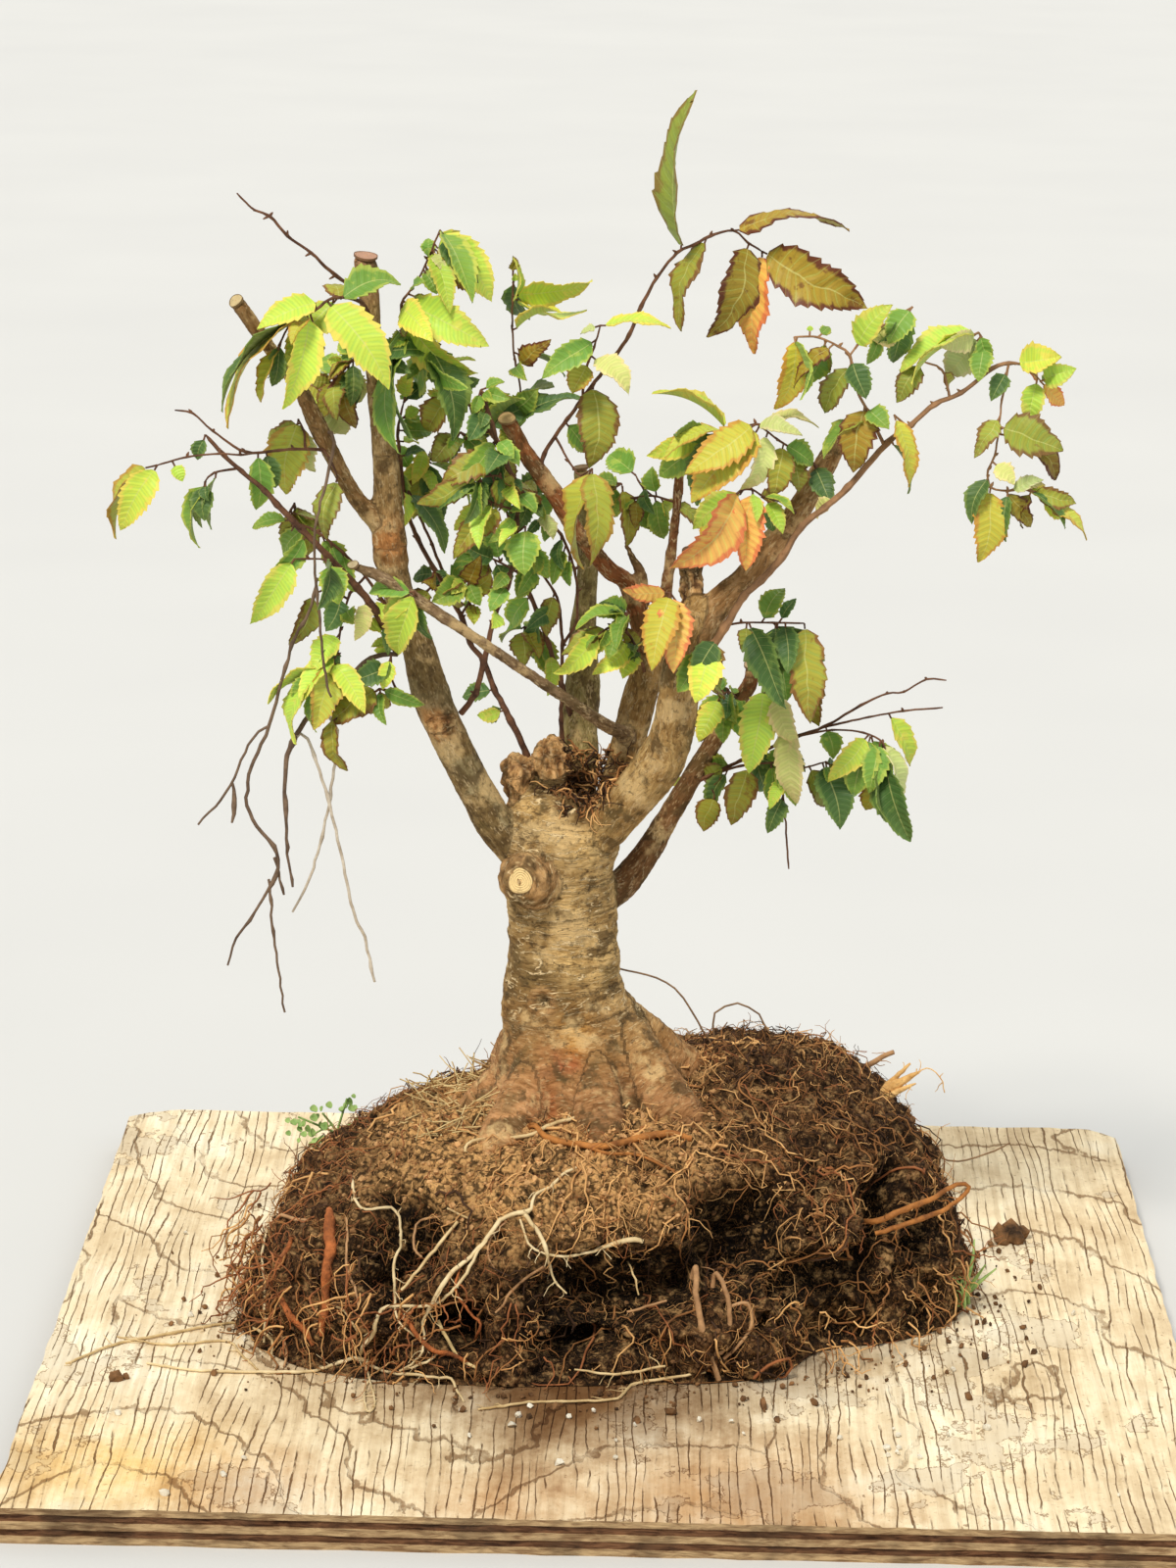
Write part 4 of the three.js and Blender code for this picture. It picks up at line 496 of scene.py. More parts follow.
            [
                (128, -33, 368, 0.7), (126, -36, 356, 0.5), (125, -38, 346, 0.5),
                (124, -39, 337, 0.5), (122, -39, 332, 0.5), (123, -39, 326, 0.5),
                (129, -40, 325, 0.5), (136, -41, 326, 0.5), (142, -41, 321, 0.5),
            ],
            [
                (86, -41, 340, 0.9), (80, -45, 352, 0.7), (75, -47, 362, 0.7), (73, -48, 372, 0.7),
                (69, -48, 375, 0.5), (62, -48, 378, 0.5), (54, -48, 378, 0.5),
            ],
            [(73, -48, 372, 0.5), (77, -45, 377, 0.5), (85, -42, 382, 0.5), (94, -41, 388, 0.5)],
            [(108, -36, 356, 0.7), (105, -38, 366, 0.5), (98, -39, 369, 0.5)],
            [(121, -34, 366, 0.7), (119, -36, 375, 0.5), (117, -37, 379, 0.5)],
            [(94, -39, 346, 0.7), (89, -42, 351, 0.5)],
        ],
        [
            (130, -33, 368, 145, -38, 372, 11, 0, "l"), (139, -33, 362, 148, -30, 353, 6, 0, "r"),
            (138, -33, 363, 135, -37, 347, 8, 0, "l"), (125, -38, 347, 147, -44, 341, 15, 0, "o"),
            (132, -42, 344, 147, -36, 328, 10, -25, "b"), (123, -39, 335, 131, -44, 329, 7, 0, "p"),
            (129, -40, 325, 140, -44, 330, 5, 0, "p"), (137, -41, 326, 153, -41, 322, 7, 20, "o"),
            (142, -41, 321, 157, -44, 310, 8, -20, "y"), (128, -40, 325, 138, -36, 311, 7, 25, "b"),
            (123, -39, 326, 120, -42, 300, 12, 0, "y"), (117, -37, 379, 90, -42, 367, 13, 40, "l"),
            (119, -37, 378, 107, -30, 362, 12, 0, "p"), (120, -36, 375, 118, -42, 363, 8, 0, "g"),
            (105, -38, 366, 108, -30, 358, 6, 0, "o"), (98, -39, 369, 90, -42, 355, 8, 0, "o"),
            (89, -42, 351, 96, -46, 327, 10, -40, "y"), (75, -47, 374, 86, -52, 390, 10, 0, "l"),
            (94, -41, 388, 86, -46, 376, 10, 0, "g"), (78, -45, 378, 91, -38, 378, 8, 0, "p"),
            (92, -41, 386, 89, -34, 367, 9, -40, "d"), (73, -48, 371, 79, -52, 358, 9, 0, "d"),
            (73, -48, 369, 64, -44, 351, 9, 0, "o"), (67, -48, 375, 53, -54, 363, 8, 20, "b"),
            (55, -48, 378, 49, -46, 352, 11, -30, "y"), (62, -48, 378, 66, -44, 381, 4, 0, "g"),
            (79, -45, 354, 87, -52, 348, 8, 0, "g"), (79, -45, 355, 76, -50, 332, 13, 0, "b"),
            (70, -45, 322, 63, -38, 314, 7, 0, "p"), (27, -45, 268, 17, -49, 254, 10, 0, "g"),
            (29, -46, 269, 24, -56, 252, 12, 0, "l"),
        ],
    ),
    "right_leaf_twig": (
        [
            [
                (22, -30, 273, 0.7), (32, -28, 273, 0.7), (39, -27, 274, 0.5), (50, -26, 274, 0.5),
                (61, -26, 274, 0.5),
            ],
        ],
        [
            (61, -26, 273, 65, -34, 240, 14, -15, "o"), (51, -26, 273, 51, -31, 252, 11, 0, "d"),
            (41, -27, 273, 40, -30, 264, 6, 0, "o"), (46, -26, 274, 54, -18, 285, 8, 0, "g"),
        ],
    ),
    "low_right_tip_shoot": (
        [
            [(44, 23, 242, 0.9), (47, 20, 246, 0.7), (54, 18, 249, 0.5), (64, 16, 248, 0.5)],
            [(47, 20, 246, 0.7), (49, 8, 244, 0.5), (52, -2, 243, 0.5), (57, -6, 233, 0.5)],
        ],
        [
            (55, 18, 249, 57, 12, 237, 9, 0, "g"), (64, 16, 248, 68, 10, 228, 10, 0, "o"),
            (50, 19, 248, 51, 14, 231, 7, -15, "g"), (48, 2, 242, 43, -8, 215, 14, 0, "l"),
            (52, -2, 243, 60, -12, 227, 9, 0, "p"), (57, -6, 232, 59, -10, 204, 12, 45, "p"),
        ],
    ),
    "low_right_inner_shoot": (
        [
            [(40, 22, 234, 0.7), (36, 12, 240, 0.5), (33, 8, 239, 0.5)],
        ],
        [
            (36, 12, 240, 34, 4, 223, 10, 0, "g"), (38, 15, 238, 42, 8, 224, 8, 0, "g"),
            (33, 8, 239, 25, 1, 224, 9, 0, "l"), (34, 10, 240, 30, 16, 245, 6, 0, "g"),
        ],
    ),
    "low_right_shoot": (
        [
            [
                (23, 20, 203, 1.2), (41, 14, 214, 0.9), (61, 8, 225, 0.9), (70, 6, 229, 0.7),
                (83, 3, 238, 0.7), (92, 1, 243, 0.5), (98, 0, 244, 0.5), (106, -1, 249, 0.5),
                (113, -2, 249, 0.5),
            ],
            [(70, 6, 229, 0.7), (86, 2, 234, 0.5), (98, 0, 237, 0.5), (112, -2, 239, 0.5)],
            [
                (61, 8, 225, 0.7), (73, 2, 229, 0.5), (84, -1, 229, 0.5), (91, -3, 226, 0.5),
                (92, -4, 220, 0.5),
            ],
            [
                (34, 17, 209, 0.7), (41, 10, 213, 0.7), (53, 4, 216, 0.5), (62, 1, 215, 0.5),
                (71, -1, 218, 0.5),
            ],
            [(28, 18, 206, 0.7), (32, 14, 201, 0.5)],
            [(58, 2, 216, 0.5), (56, 4, 208, 0.5), (57, 5, 199, 0.5), (59, 6, 176, 0.5)],
        ],
        [
            (71, 6, 229, 74, 0, 219, 8, 0, "g"), (87, -2, 229, 81, -8, 207, 13, 0, "g"),
            (91, -3, 227, 100, -1, 202, 11, -55, "p"), (92, -4, 220, 101, -10, 191, 13, 50, "d"),
            (91, -4, 220, 84, 2, 199, 10, -25, "o"), (70, -1, 217, 77, -8, 195, 13, 0, "d"),
            (65, 0, 216, 73, 6, 199, 9, 0, "o"), (53, 4, 216, 61, 0, 201, 7, 15, "g"),
            (44, 9, 214, 38, 2, 193, 11, 0, "o"), (32, 14, 201, 28, 8, 189, 9, 0, "o"),
            (52, 5, 215, 53, 10, 199, 7, -25, "g"), (46, 13, 216, 51, 20, 201, 9, 0, "d"),
            (35, 15, 210, 29, 24, 212, 7, 0, "g"),
        ],
    ),
}
# Bare hanging twigs, as x, y, z and radius along each one
DEAD_TWIGS = {
    "outer_dead_twigs": [
        [(-107, -24, 338, 0.7), (-103, -29, 335, 0.7), (-108, -40, 311, 0.5), (-109, -41, 300, 0.5),
         (-108, -41, 284, 0.5), (-105, -42, 256, 0.5), (-103, -43, 248, 0.4)],
        [(-108, -41, 290, 0.5), (-111, -39, 277, 0.6), (-117, -37, 265, 0.6), (-125, -36, 236, 0.7),
         (-132, -36, 218, 0.7), (-132, -36, 204, 0.7), (-122, -36, 187, 0.7), (-130, -36, 168, 0.5),
         (-137, -36, 158, 0.5), (-140, -36, 148, 0.4)],
        [(-125, -36, 236, 0.5), (-131, -37, 231, 0.5), (-140, -38, 212, 0.5), (-150, -38, 200, 0.4)],
        [(-138, -38, 216, 0.4), (-137, -38, 207, 1.0), (-138, -38, 201, 0.4)],
        [(-125, -36, 180, 0.5), (-124, -35, 163, 0.5), (-120, -35, 131, 0.4)],
        [(-123, -36, 188, 0.5), (-120, -35, 174, 0.4)],
    ],
    "inner_dead_twigs": [
        [(-82, -13, 257, 0.9), (-87, -18, 258, 0.9), (-93, -23, 256, 0.9), (-102, -28, 246, 0.9),
         (-111, -30, 239, 0.9), (-116, -31, 231, 0.9), (-119, -31, 224, 0.9), (-120, -31, 213, 0.7),
         (-119, -31, 188, 0.5), (-117, -31, 176, 0.4)],
        [(-116, -31, 231, 0.7), (-112, -30, 230, 0.6), (-104, -30, 205, 0.6), (-96, -30, 168, 0.6),
         (-92, -30, 158, 0.6), (-88, -30, 141, 0.5)],
        [(-107, -29, 242, 0.7), (-103, -27, 234, 0.6), (-102, -26, 228, 0.6), (-106, -25, 199, 0.5),
         (-112, -25, 177, 0.5), (-118, -25, 165, 0.4)],
    ],
}

# Roots that stand clear of the soil, as x, y, z and radius along each strand
ROOTS = {
    "orange_root": [
        [(-33, -30, 87.8, 1.4), (-30, -39, 91.7, 1.4), (-25, -48, 90.3, 1.5), (-14, -52, 89.4, 1.6),
         (-3, -51, 89.0, 1.7), (15, -45, 91.8, 1.8), (26, -34, 86.3, 1.6)],
        [(-11, -49, 87.5, 0.9), (-4, -52, 86.4, 0.9), (7, -51, 85.6, 0.8), (20, -54, 80.9, 0.7)],
    ],
    "straw_root": [
        [(-55, -39, 81.1, 0.6), (-52, -42, 86.6, 0.6), (-33, -48, 90.8, 0.7), (-24, -44, 94.0, 0.7),
         (-11, -36, 95.2, 0.6), (-4, -27, 91.7, 0.5)],
    ],
    "pale_roots": [
        [(-96, -31, 68, 0.45), (-95, -39, 68, 0.5), (-93, -52, 66, 0.5), (-89, -57, 65, 0.5),
         (-83, -60, 67, 0.5), (-80, -62, 68, 0.5), (-77, -66, 66, 0.5), (-76, -71, 62, 0.5),
         (-76, -75, 58, 0.5), (-78, -79, 53, 0.5), (-77, -83, 43, 0.45), (-77, -85, 40, 0.45),
         (-76, -86, 35, 0.4), (-73, -87, 32, 0.4), (-70, -88, 30, 0.3)],
        [(-15, -58, 83, 0.5), (-20, -61, 81, 0.5), (-24, -65, 78, 0.55), (-29, -68, 76, 0.6),
         (-30, -71, 72, 0.65), (-33, -72, 71, 0.8), (-37, -72, 70, 0.8), (-41, -73, 68, 0.8),
         (-44, -76, 65, 0.8), (-47, -78, 61, 0.75), (-51, -80, 57, 0.75), (-55, -82, 54, 0.8),
         (-59, -83, 50, 0.8), (-62, -85, 46, 0.75), (-64, -86, 41, 0.7), (-67, -87, 35, 0.5),
         (-67, -89, 25, 0.45), (-71, -89, 20, 0.4), (-75, -88, 17, 0.35)],
        [(-44, -76, 64, 0.5), (-48, -79, 60, 0.5), (-50, -81, 56, 0.55), (-52, -83, 52, 0.6),
         (-55, -84, 48, 0.6), (-59, -85, 44, 0.6), (-64, -86, 41, 0.6), (-71, -85, 40, 0.6),
         (-77, -85, 40, 0.65), (-82, -84, 38, 0.7), (-84, -85, 33, 0.7), (-85, -86, 29, 0.7),
         (-88, -86, 25, 0.75), (-89, -86, 22, 0.7)],
        [(-33, -72, 71, 0.8), (-30, -75, 68, 0.75), (-27, -77, 65, 0.7), (-25, -80, 61, 0.7),
         (-24, -82, 57, 0.55), (-22, -84, 52, 0.45), (-20, -85, 49, 0.35), (-17, -85, 46, 0.3)],
        [(-34, -74, 69, 0.4), (-33, -76, 66, 0.45), (-31, -79, 62, 0.45), (-28, -80, 60, 0.45),
         (-25, -81, 59, 0.4)],
        [(-25, -81, 59, 0.5), (-19, -81, 58, 0.5), (-10, -79, 59, 0.6), (-4, -78, 61, 0.75),
         (1, -76, 62, 0.95), (6, -75, 63, 1), (9, -75, 62, 0.8)],
        [(-61, -89, 26, 0.35), (-64, -89, 22, 0.45), (-70, -89, 19, 0.45), (-75, -88, 17, 0.4)],
        [(-165.1, -76.8, 13.1, 0.4), (-147.2, -82.4, 13.2, 0.5), (-119.5, -82.9, 13.3, 0.6),
         (-113, -82.5, 13.3, 0.6), (-105.1, -81.1, 13.3, 0.6), (-98, -83, 17, 0.6), (-92, -85, 20, 0.7),
         (-88, -86, 20, 0.7), (-85, -87, 18, 0.6), (-78, -88, 16, 0.55), (-70, -89, 16, 0.55),
         (-61, -89, 15, 0.5), (-57, -90, 15, 0.5), (-54.4, -96.7, 13.1, 0.45), (-51.9, -105.2, 13, 0.35)],
        [(-89, -86, 21, 0.5), (-86, -87, 14, 0.4), (-86.6, -95.8, 13.1, 0.4), (-86.1, -107.3, 13.1, 0.4),
         (-84.6, -116, 13.1, 0.4), (-83, -114.2, 13.1, 0.4), (-82.4, -107.1, 13.1, 0.4),
         (-84.2, -95.7, 13.1, 0.4), (-86, -87, 14, 0.35)],
        [(-127, -28, 46, 0.45), (-128, -36, 38, 0.5), (-126, -45, 30, 0.5), (-125, -62, 16, 0.4)],
    ],
    "far_left_root": [
        [(-193.3, -78.6, 13.1, 0.45), (-183.7, -66.1, 13.2, 0.5), (-174.4, -56.3, 13.2, 0.55),
         (-162.8, -49.9, 13.2, 0.55), (-151.2, -42.6, 13.2, 0.55), (-141.1, -37, 13.2, 0.5),
         (-135.1, -37.6, 13.2, 0.5), (-127, -58, 19, 0.5), (-122, -65, 18, 0.5),
         (-121.7, -69.5, 13, 0.35)],
        [(-178.4, -52.1, 13, 0.3), (-160.1, -58.8, 13.1, 0.4), (-139.5, -54, 13.1, 0.45),
         (-132.3, -67.6, 13.1, 0.45), (-125.6, -80, 13.1, 0.4)],
    ],
    "front_root": [
        [(-46.9, -112.2, 13.1, 0.45), (-38.2, -109.2, 13.2, 0.5), (-29.2, -105.1, 13.2, 0.5),
         (-18, -103.6, 13.2, 0.5), (-3, -101.9, 13.2, 0.5), (2.4, -98, 13.2, 0.5),
         (7.1, -86.2, 13.2, 0.55), (18, -85, 15, 0.55), (32, -83, 17, 0.45)],
        [(-14, -88, 19, 0.35), (-7, -88, 18, 0.45), (0, -87, 17, 0.5), (9, -86, 18, 0.5),
         (18, -85, 20, 0.4)],
    ],
    "brown_loop_roots": [
        [(27, -76, 49.3, 1.5), (28, -78, 54.3, 1.5), (28, -81, 45.9, 1.5), (30, -83, 35.9, 1.6),
         (33, -83, 25.3, 1.5), (37, -82, 13.9, 1.4)],
        [(34, -77, 46.6, 1.1), (35, -78, 52.2, 1.1), (39, -80, 44.5, 1.2), (40, -81, 34.5, 1.2),
         (39, -82, 25.7, 1.1), (35, -83, 23.6, 1.1)],
        [(40, -80, 40.3, 0.9), (46, -79, 41.4, 0.9), (48, -79, 33.8, 0.9), (43, -81, 25.7, 0.9),
         (38, -82, 21.8, 0.9)],
    ],
    "rusty_root_left": [
        [(-103, -47, 61, 1.2), (-102, -53, 60, 1.9), (-102, -59, 57, 2.1), (-101, -65, 54, 2),
         (-102, -70, 49, 1.7), (-102, -73, 45, 1.9), (-102, -76, 40, 1.6), (-102, -78, 36, 1.5),
         (-103, -79, 31, 1.3), (-103, -80, 26, 1)],
    ],
    "rusty_root_low_left": [
        [(-120, -62, 35, 0.8), (-117, -67, 32, 1.1), (-115, -71, 30, 1.2), (-112, -74, 28, 1.1),
         (-109, -76, 26, 1.2), (-106, -79, 22, 0.8)],
        [(-116, -47, 50, 0.8), (-119, -53, 45, 1), (-121, -56, 40, 0.7)],
    ],
    "right_loop_root": [
        [(86, -38, 58, 1.3), (93, -44, 60.5, 1.5), (101, -43, 64, 1.5), (111, -39, 67, 1.4),
         (121, -34, 71, 1.2), (126, -33, 70, 1.2), (121, -36, 65, 1.2), (111, -40, 61, 1.3),
         (100, -43, 58, 1.3), (92, -43, 55, 1.2)],
    ],
    "cut_root_right": [
        [(84, 20, 78, 2.0), (94, 17, 86, 2.0), (101, 14, 92, 1.7), (107, 12.6, 96.5, 1.0), (109, 12, 98, 0.4)],
        [(90, 17, 83, 1.4), (98, 13, 88, 1.3), (104, 11.5, 92, 0.9), (108, 11, 94, 0.3)],
        [(94, 19, 86, 1.2), (101, 17, 94, 1.0), (106, 16, 100, 0.4)],
        [(107, 13, 96, 0.3), (112, 14, 99, 0.25), (117, 13, 96, 0.22), (119, 12, 90, 0.2)],
    ],
    "cut_root_back": [[(78, 42, 80, 1.4), (88, 39, 89, 1.2), (101, 36, 98, 0.9)]],
    "back_root": [
        [(-30, 62, 70, 1.5), (-26, 74, 79, 1.5), (-10, 82, 72, 1.5), (30, 92, 48, 1.3), (38, 99, 30, 1.2),
         (44, 100, 14.5, 1.1)],
    ],
}

# Finer roots that show on the front of the ball: each strand, and its finish's number
ROOT_NET = [
    ([(-25, -83, 55, 0.45), (-30, -84, 52, 0.5), (-35, -86, 48, 0.5), (-38, -87, 45, 0.5),
      (-39, -87, 42, 0.5), (-43, -88, 38, 0.4)], 3),
    ([(-76, -85, 38, 0.7), (-72, -87, 34, 0.85), (-68, -88, 29, 0.95), (-63, -89, 25, 0.9),
      (-57, -89, 24, 0.9), (-51, -90, 21, 0.7)], 2),
    ([(-56, -72, 67, 0.55), (-65, -79, 57, 0.6), (-75, -83, 45, 0.5)], 4),
    ([(-60, -67, 70, 0.4), (-52, -72, 68, 0.4)], 4),
    ([(-62, -70, 68, 0.4), (-69, -69, 66, 0.45), (-71, -72, 63, 0.5), (-71, -76, 58, 0.45),
      (-68, -79, 56, 0.4)], 3),
    ([(4, -79, 56, 0.35), (7, -81, 50, 0.35), (8, -82, 45, 0.3)], 4),
    ([(4, -84, 39, 0.45), (11, -83, 41, 0.5), (18, -82, 43, 0.45)], 3),
    ([(-125, -30, 49, 0.6), (-121, -31, 53, 0.7), (-116, -33, 52, 0.7), (-111, -36, 53, 0.6)], 3),
    ([(-118, -70, 22, 0.5), (-116, -72, 17, 0.6), (-116.6, -76.7, 13.1, 0.4)], 3),
    ([(-100, -78, 37, 0.4), (-95, -81, 36, 0.5), (-91, -84, 31, 0.45), (-90, -85, 29, 0.35)], 4),
    ([(-96, -57, 62, 0.4), (-95, -68, 56, 0.45), (-95, -73, 50, 0.5), (-91, -80, 43, 0.45),
      (-90, -82, 38, 0.4)], 3),
    ([(-54, -81, 54, 0.4), (-56, -85, 47, 0.5), (-51, -87, 39, 0.5), (-47, -88, 35, 0.5),
      (-49, -89, 29, 0.4)], 2),
    ([(-39, -74, 68, 0.35), (-44, -77, 63, 0.4), (-45, -80, 58, 0.4), (-42, -83, 53, 0.3)], 3),
]

def srgb(red, green, blue):
    """A screen colour, 0-255, as the linear colour that a shader takes"""
    def linear(value):
        share = value / 255
        return share / 12.92 if share <= 0.04045 else ((share + 0.055) / 1.055) ** 2.4
    return (linear(red), linear(green), linear(blue), 1.0)


class Finish:
    """A material that is built up node by node on one Principled shader"""

    def __init__(self, name, roughness=0.85, specular=0.25):
        self.material = bpy.data.materials.new(name)
        self.material.use_nodes = True
        self.tree = self.material.node_tree
        self.shader = self.tree.nodes["Principled BSDF"]
        self.shader.inputs["Roughness"].default_value = roughness
        self.shader.inputs["Specular IOR Level"].default_value = specular
        self.place = self.add("TexCoord").outputs["Object"]

    def add(self, kind, **values):
        made = self.tree.nodes.new("ShaderNode" + kind)
        for key, value in values.items():
            if hasattr(made, key):
                setattr(made, key, value)
            else:
                self.feed(made.inputs[key.replace("_", " ")], value)
        return made

    def feed(self, socket, value):
        if isinstance(value, bpy.types.NodeSocket):
            self.tree.links.new(value, socket)
        else:
            socket.default_value = value

    def grain(self, scale, stretch=(1, 1, 1), detail=4.0, where=None, distortion=0.0, roughness=0.6):
        """Noise at a scale in repeats a metre, stretched along the axes"""
        spread = self.add("Mapping", Vector=where or self.place, Scale=tuple(scale * part for part in stretch))
        made = self.add("TexNoise", Vector=spread.outputs[0], Scale=1.0, Detail=detail,
                        Roughness=roughness, Distortion=distortion)
        return made.outputs["Fac"]

    def cells(self, scale, stretch=(1, 1, 1), feature="DISTANCE_TO_EDGE", where=None):
        spread = self.add("Mapping", Vector=where or self.place, Scale=tuple(scale * part for part in stretch))
        return self.add("TexVoronoi", feature=feature, Vector=spread.outputs[0], Scale=1.0)

    def maths(self, operation, first, second=0.0, clamp=False):
        made = self.add("Math", operation=operation, use_clamp=clamp)
        self.feed(made.inputs[0], first)
        self.feed(made.inputs[1], second)
        return made.outputs[0]

    def spread(self, value, low, high, to_low=0.0, to_high=1.0):
        made = self.add("MapRange", interpolation_type="SMOOTHSTEP", Value=value,
                        From_Min=low, From_Max=high, To_Min=to_low, To_Max=to_high)
        return made.outputs[0]

    def mixed(self, factor, first, second, blend="MIX"):
        made = self.add("Mix", data_type="RGBA", blend_type=blend)
        for socket, value in zip((made.inputs[0], made.inputs[6], made.inputs[7]), (factor, first, second)):
            self.feed(socket, value)
        return made.outputs[2]

    def ramp(self, value, stops):
        made = self.add("ValToRGB", Fac=value)
        band = made.color_ramp
        while len(band.elements) < len(stops):
            band.elements.new(0.5)
        for element, (place, colour) in zip(band.elements, stops):
            element.position = place
            element.color = srgb(*colour)
        return made.outputs["Color"]

    def relief(self, height, depth, strength=1.0):
        """Bump whose full height is a depth in millimetres"""
        made = self.add("Bump", Strength=strength, Distance=depth * MM, Height=height)
        if self.shader.inputs["Normal"].links:
            self.feed(made.inputs["Normal"], self.shader.inputs["Normal"].links[0].from_socket)
        self.feed(self.shader.inputs["Normal"], made.outputs[0])

    def colour(self, value):
        self.feed(self.shader.inputs["Base Color"], value)
        return self.material

    def rough(self, value, low, high):
        self.feed(self.shader.inputs["Roughness"], self.spread(value, 0.3, 0.7, low, high))

    def attribute(self, name):
        return self.add("Attribute", attribute_name=name)


def plain_finish(name, dark, light, scale, depth, roughness=0.85, stretch=(1, 1, 1)):
    """Two-tone finish for small rough things, mottled and pitted at one scale"""
    finish = Finish(name, roughness)
    mottle = finish.grain(scale, stretch)
    fine = finish.grain(scale * 4.3, stretch, detail=3)
    finish.relief(fine, depth)
    finish.rough(fine, roughness - 0.12, min(1.0, roughness + 0.1))
    return finish.colour(finish.ramp(mottle, [(0.32, dark), (0.68, light)]))


def bark_finish():
    """Bark: each limb's own tint from the bark_tint attribute, under low cork ridges, pale wrinkles and
    dark cracks that follow the grain attribute: round the limb in its X and Y, along it in its Z"""
    finish = Finish("bark", 0.9, 0.2)
    along = finish.attribute("grain").outputs["Vector"]
    tint = finish.attribute("bark_tint").outputs["Color"]
    mottle = finish.grain(60, detail=5)
    speckle = finish.grain(420, detail=4, roughness=0.7)
    ridges = finish.grain(0.34, detail=7, where=along, distortion=0.7, roughness=0.7)
    patchy = finish.grain(0.2, detail=4, where=along, distortion=0.8)
    pores = finish.cells(0.6, feature="F1", where=along).outputs["Distance"]
    fine = finish.grain(1.5, detail=4, where=along)
    blotch = finish.grain(110, detail=4)
    height = finish.add("SeparateXYZ", Vector=along).outputs[2]
    sway = finish.maths("MULTIPLY", finish.grain(0.11, detail=4, where=along), 34.0)
    wave = finish.maths("SINE", finish.maths("ADD", finish.maths("MULTIPLY", height, 0.9), sway))
    # Ridge shading: the ramp darkens the low parts of the cork ridges, their own darker bark with painted shade in the
    # furrows; worn here is the limb's tint under this painted shade
    shade = finish.ramp(ridges, [(0.34, (172, 160, 140)), (0.44, (214, 205, 190)), (0.53, (244, 240, 232)),
                                 (0.6, (255, 255, 255))])
    worn = finish.mixed(1.0, tint, shade, "MULTIPLY")
    patched = finish.mixed(finish.spread(blotch, 0.48, 0.38, 0.0, 0.75), worn, srgb(88, 68, 40))
    sunned = finish.mixed(finish.spread(mottle, 0.52, 0.62, 0.0, 0.6), patched, srgb(230, 196, 138))
    mossy = finish.mixed(finish.spread(mottle, 0.47, 0.34, 0.0, 0.5), sunned, srgb(96, 82, 48))
    share = finish.attribute("wrinkle_share").outputs["Fac"]
    pale = finish.maths("MULTIPLY", share, finish.maths(
        "MULTIPLY", finish.spread(wave, 0.74, 0.97), finish.spread(patchy, 0.45, 0.56, 0.0, 0.95)))
    wrinkled = finish.mixed(pale, mossy, srgb(238, 210, 160))
    dotted = finish.mixed(finish.spread(pores, 0.3, 0.12, 0.0, 0.4), wrinkled, srgb(222, 192, 140))
    speck = finish.mixed(finish.spread(speckle, 0.44, 0.32, 0.0, 0.65), dotted, srgb(70, 54, 34))
    flecked = finish.mixed(finish.spread(fine, 0.4, 0.28, 0.0, 0.5), speck, srgb(74, 56, 36))
    line = finish.maths("MULTIPLY", share, finish.maths(
        "MULTIPLY", finish.spread(wave, -0.9, -0.995), finish.spread(patchy, 0.52, 0.42, 0.0, 0.6)))
    split = finish.mixed(line, flecked, srgb(58, 42, 26))
    finish.relief(ridges, 1.3)
    finish.relief(pale, 0.45)
    finish.relief(line, -0.4)
    finish.relief(speckle, 0.35)
    finish.rough(fine, 0.78, 0.97)
    return finish.colour(split)


def sawn_finish():
    """Cut wood: rings on the disc's own map, over the tint of each cut"""
    finish = Finish("sawn_wood", 0.75)
    spot = finish.add("Mapping", Vector=finish.add("TexCoord").outputs["UV"], Location=(-0.5, -0.5, 0)).outputs[0]
    reach = finish.add("VectorMath", operation="LENGTH")
    finish.feed(reach.inputs[0], spot)
    away = finish.maths("ADD", reach.outputs["Value"], finish.maths("MULTIPLY", finish.grain(300), 0.07))
    rings = finish.maths("SINE", finish.maths("MULTIPLY", away, 74.0))
    tint = finish.attribute("cut_tint").outputs["Color"]
    ringed = finish.mixed(finish.spread(rings, 0.2, 1.0, 0.0, 0.2), tint, srgb(186, 134, 80))
    heart = finish.mixed(finish.spread(away, 0.12, 0.03, 0.0, 0.55), ringed, srgb(222, 150, 80))
    rim = finish.mixed(finish.spread(away, 0.47, 0.53, 0.0, 0.85), heart, srgb(110, 78, 48))
    dirt = finish.mixed(finish.spread(finish.grain(420), 0.56, 0.7, 0.0, 0.4), rim, srgb(120, 92, 60))
    finish.relief(rings, 0.15)
    finish.relief(finish.grain(900), 0.2)
    return finish.colour(dirt)


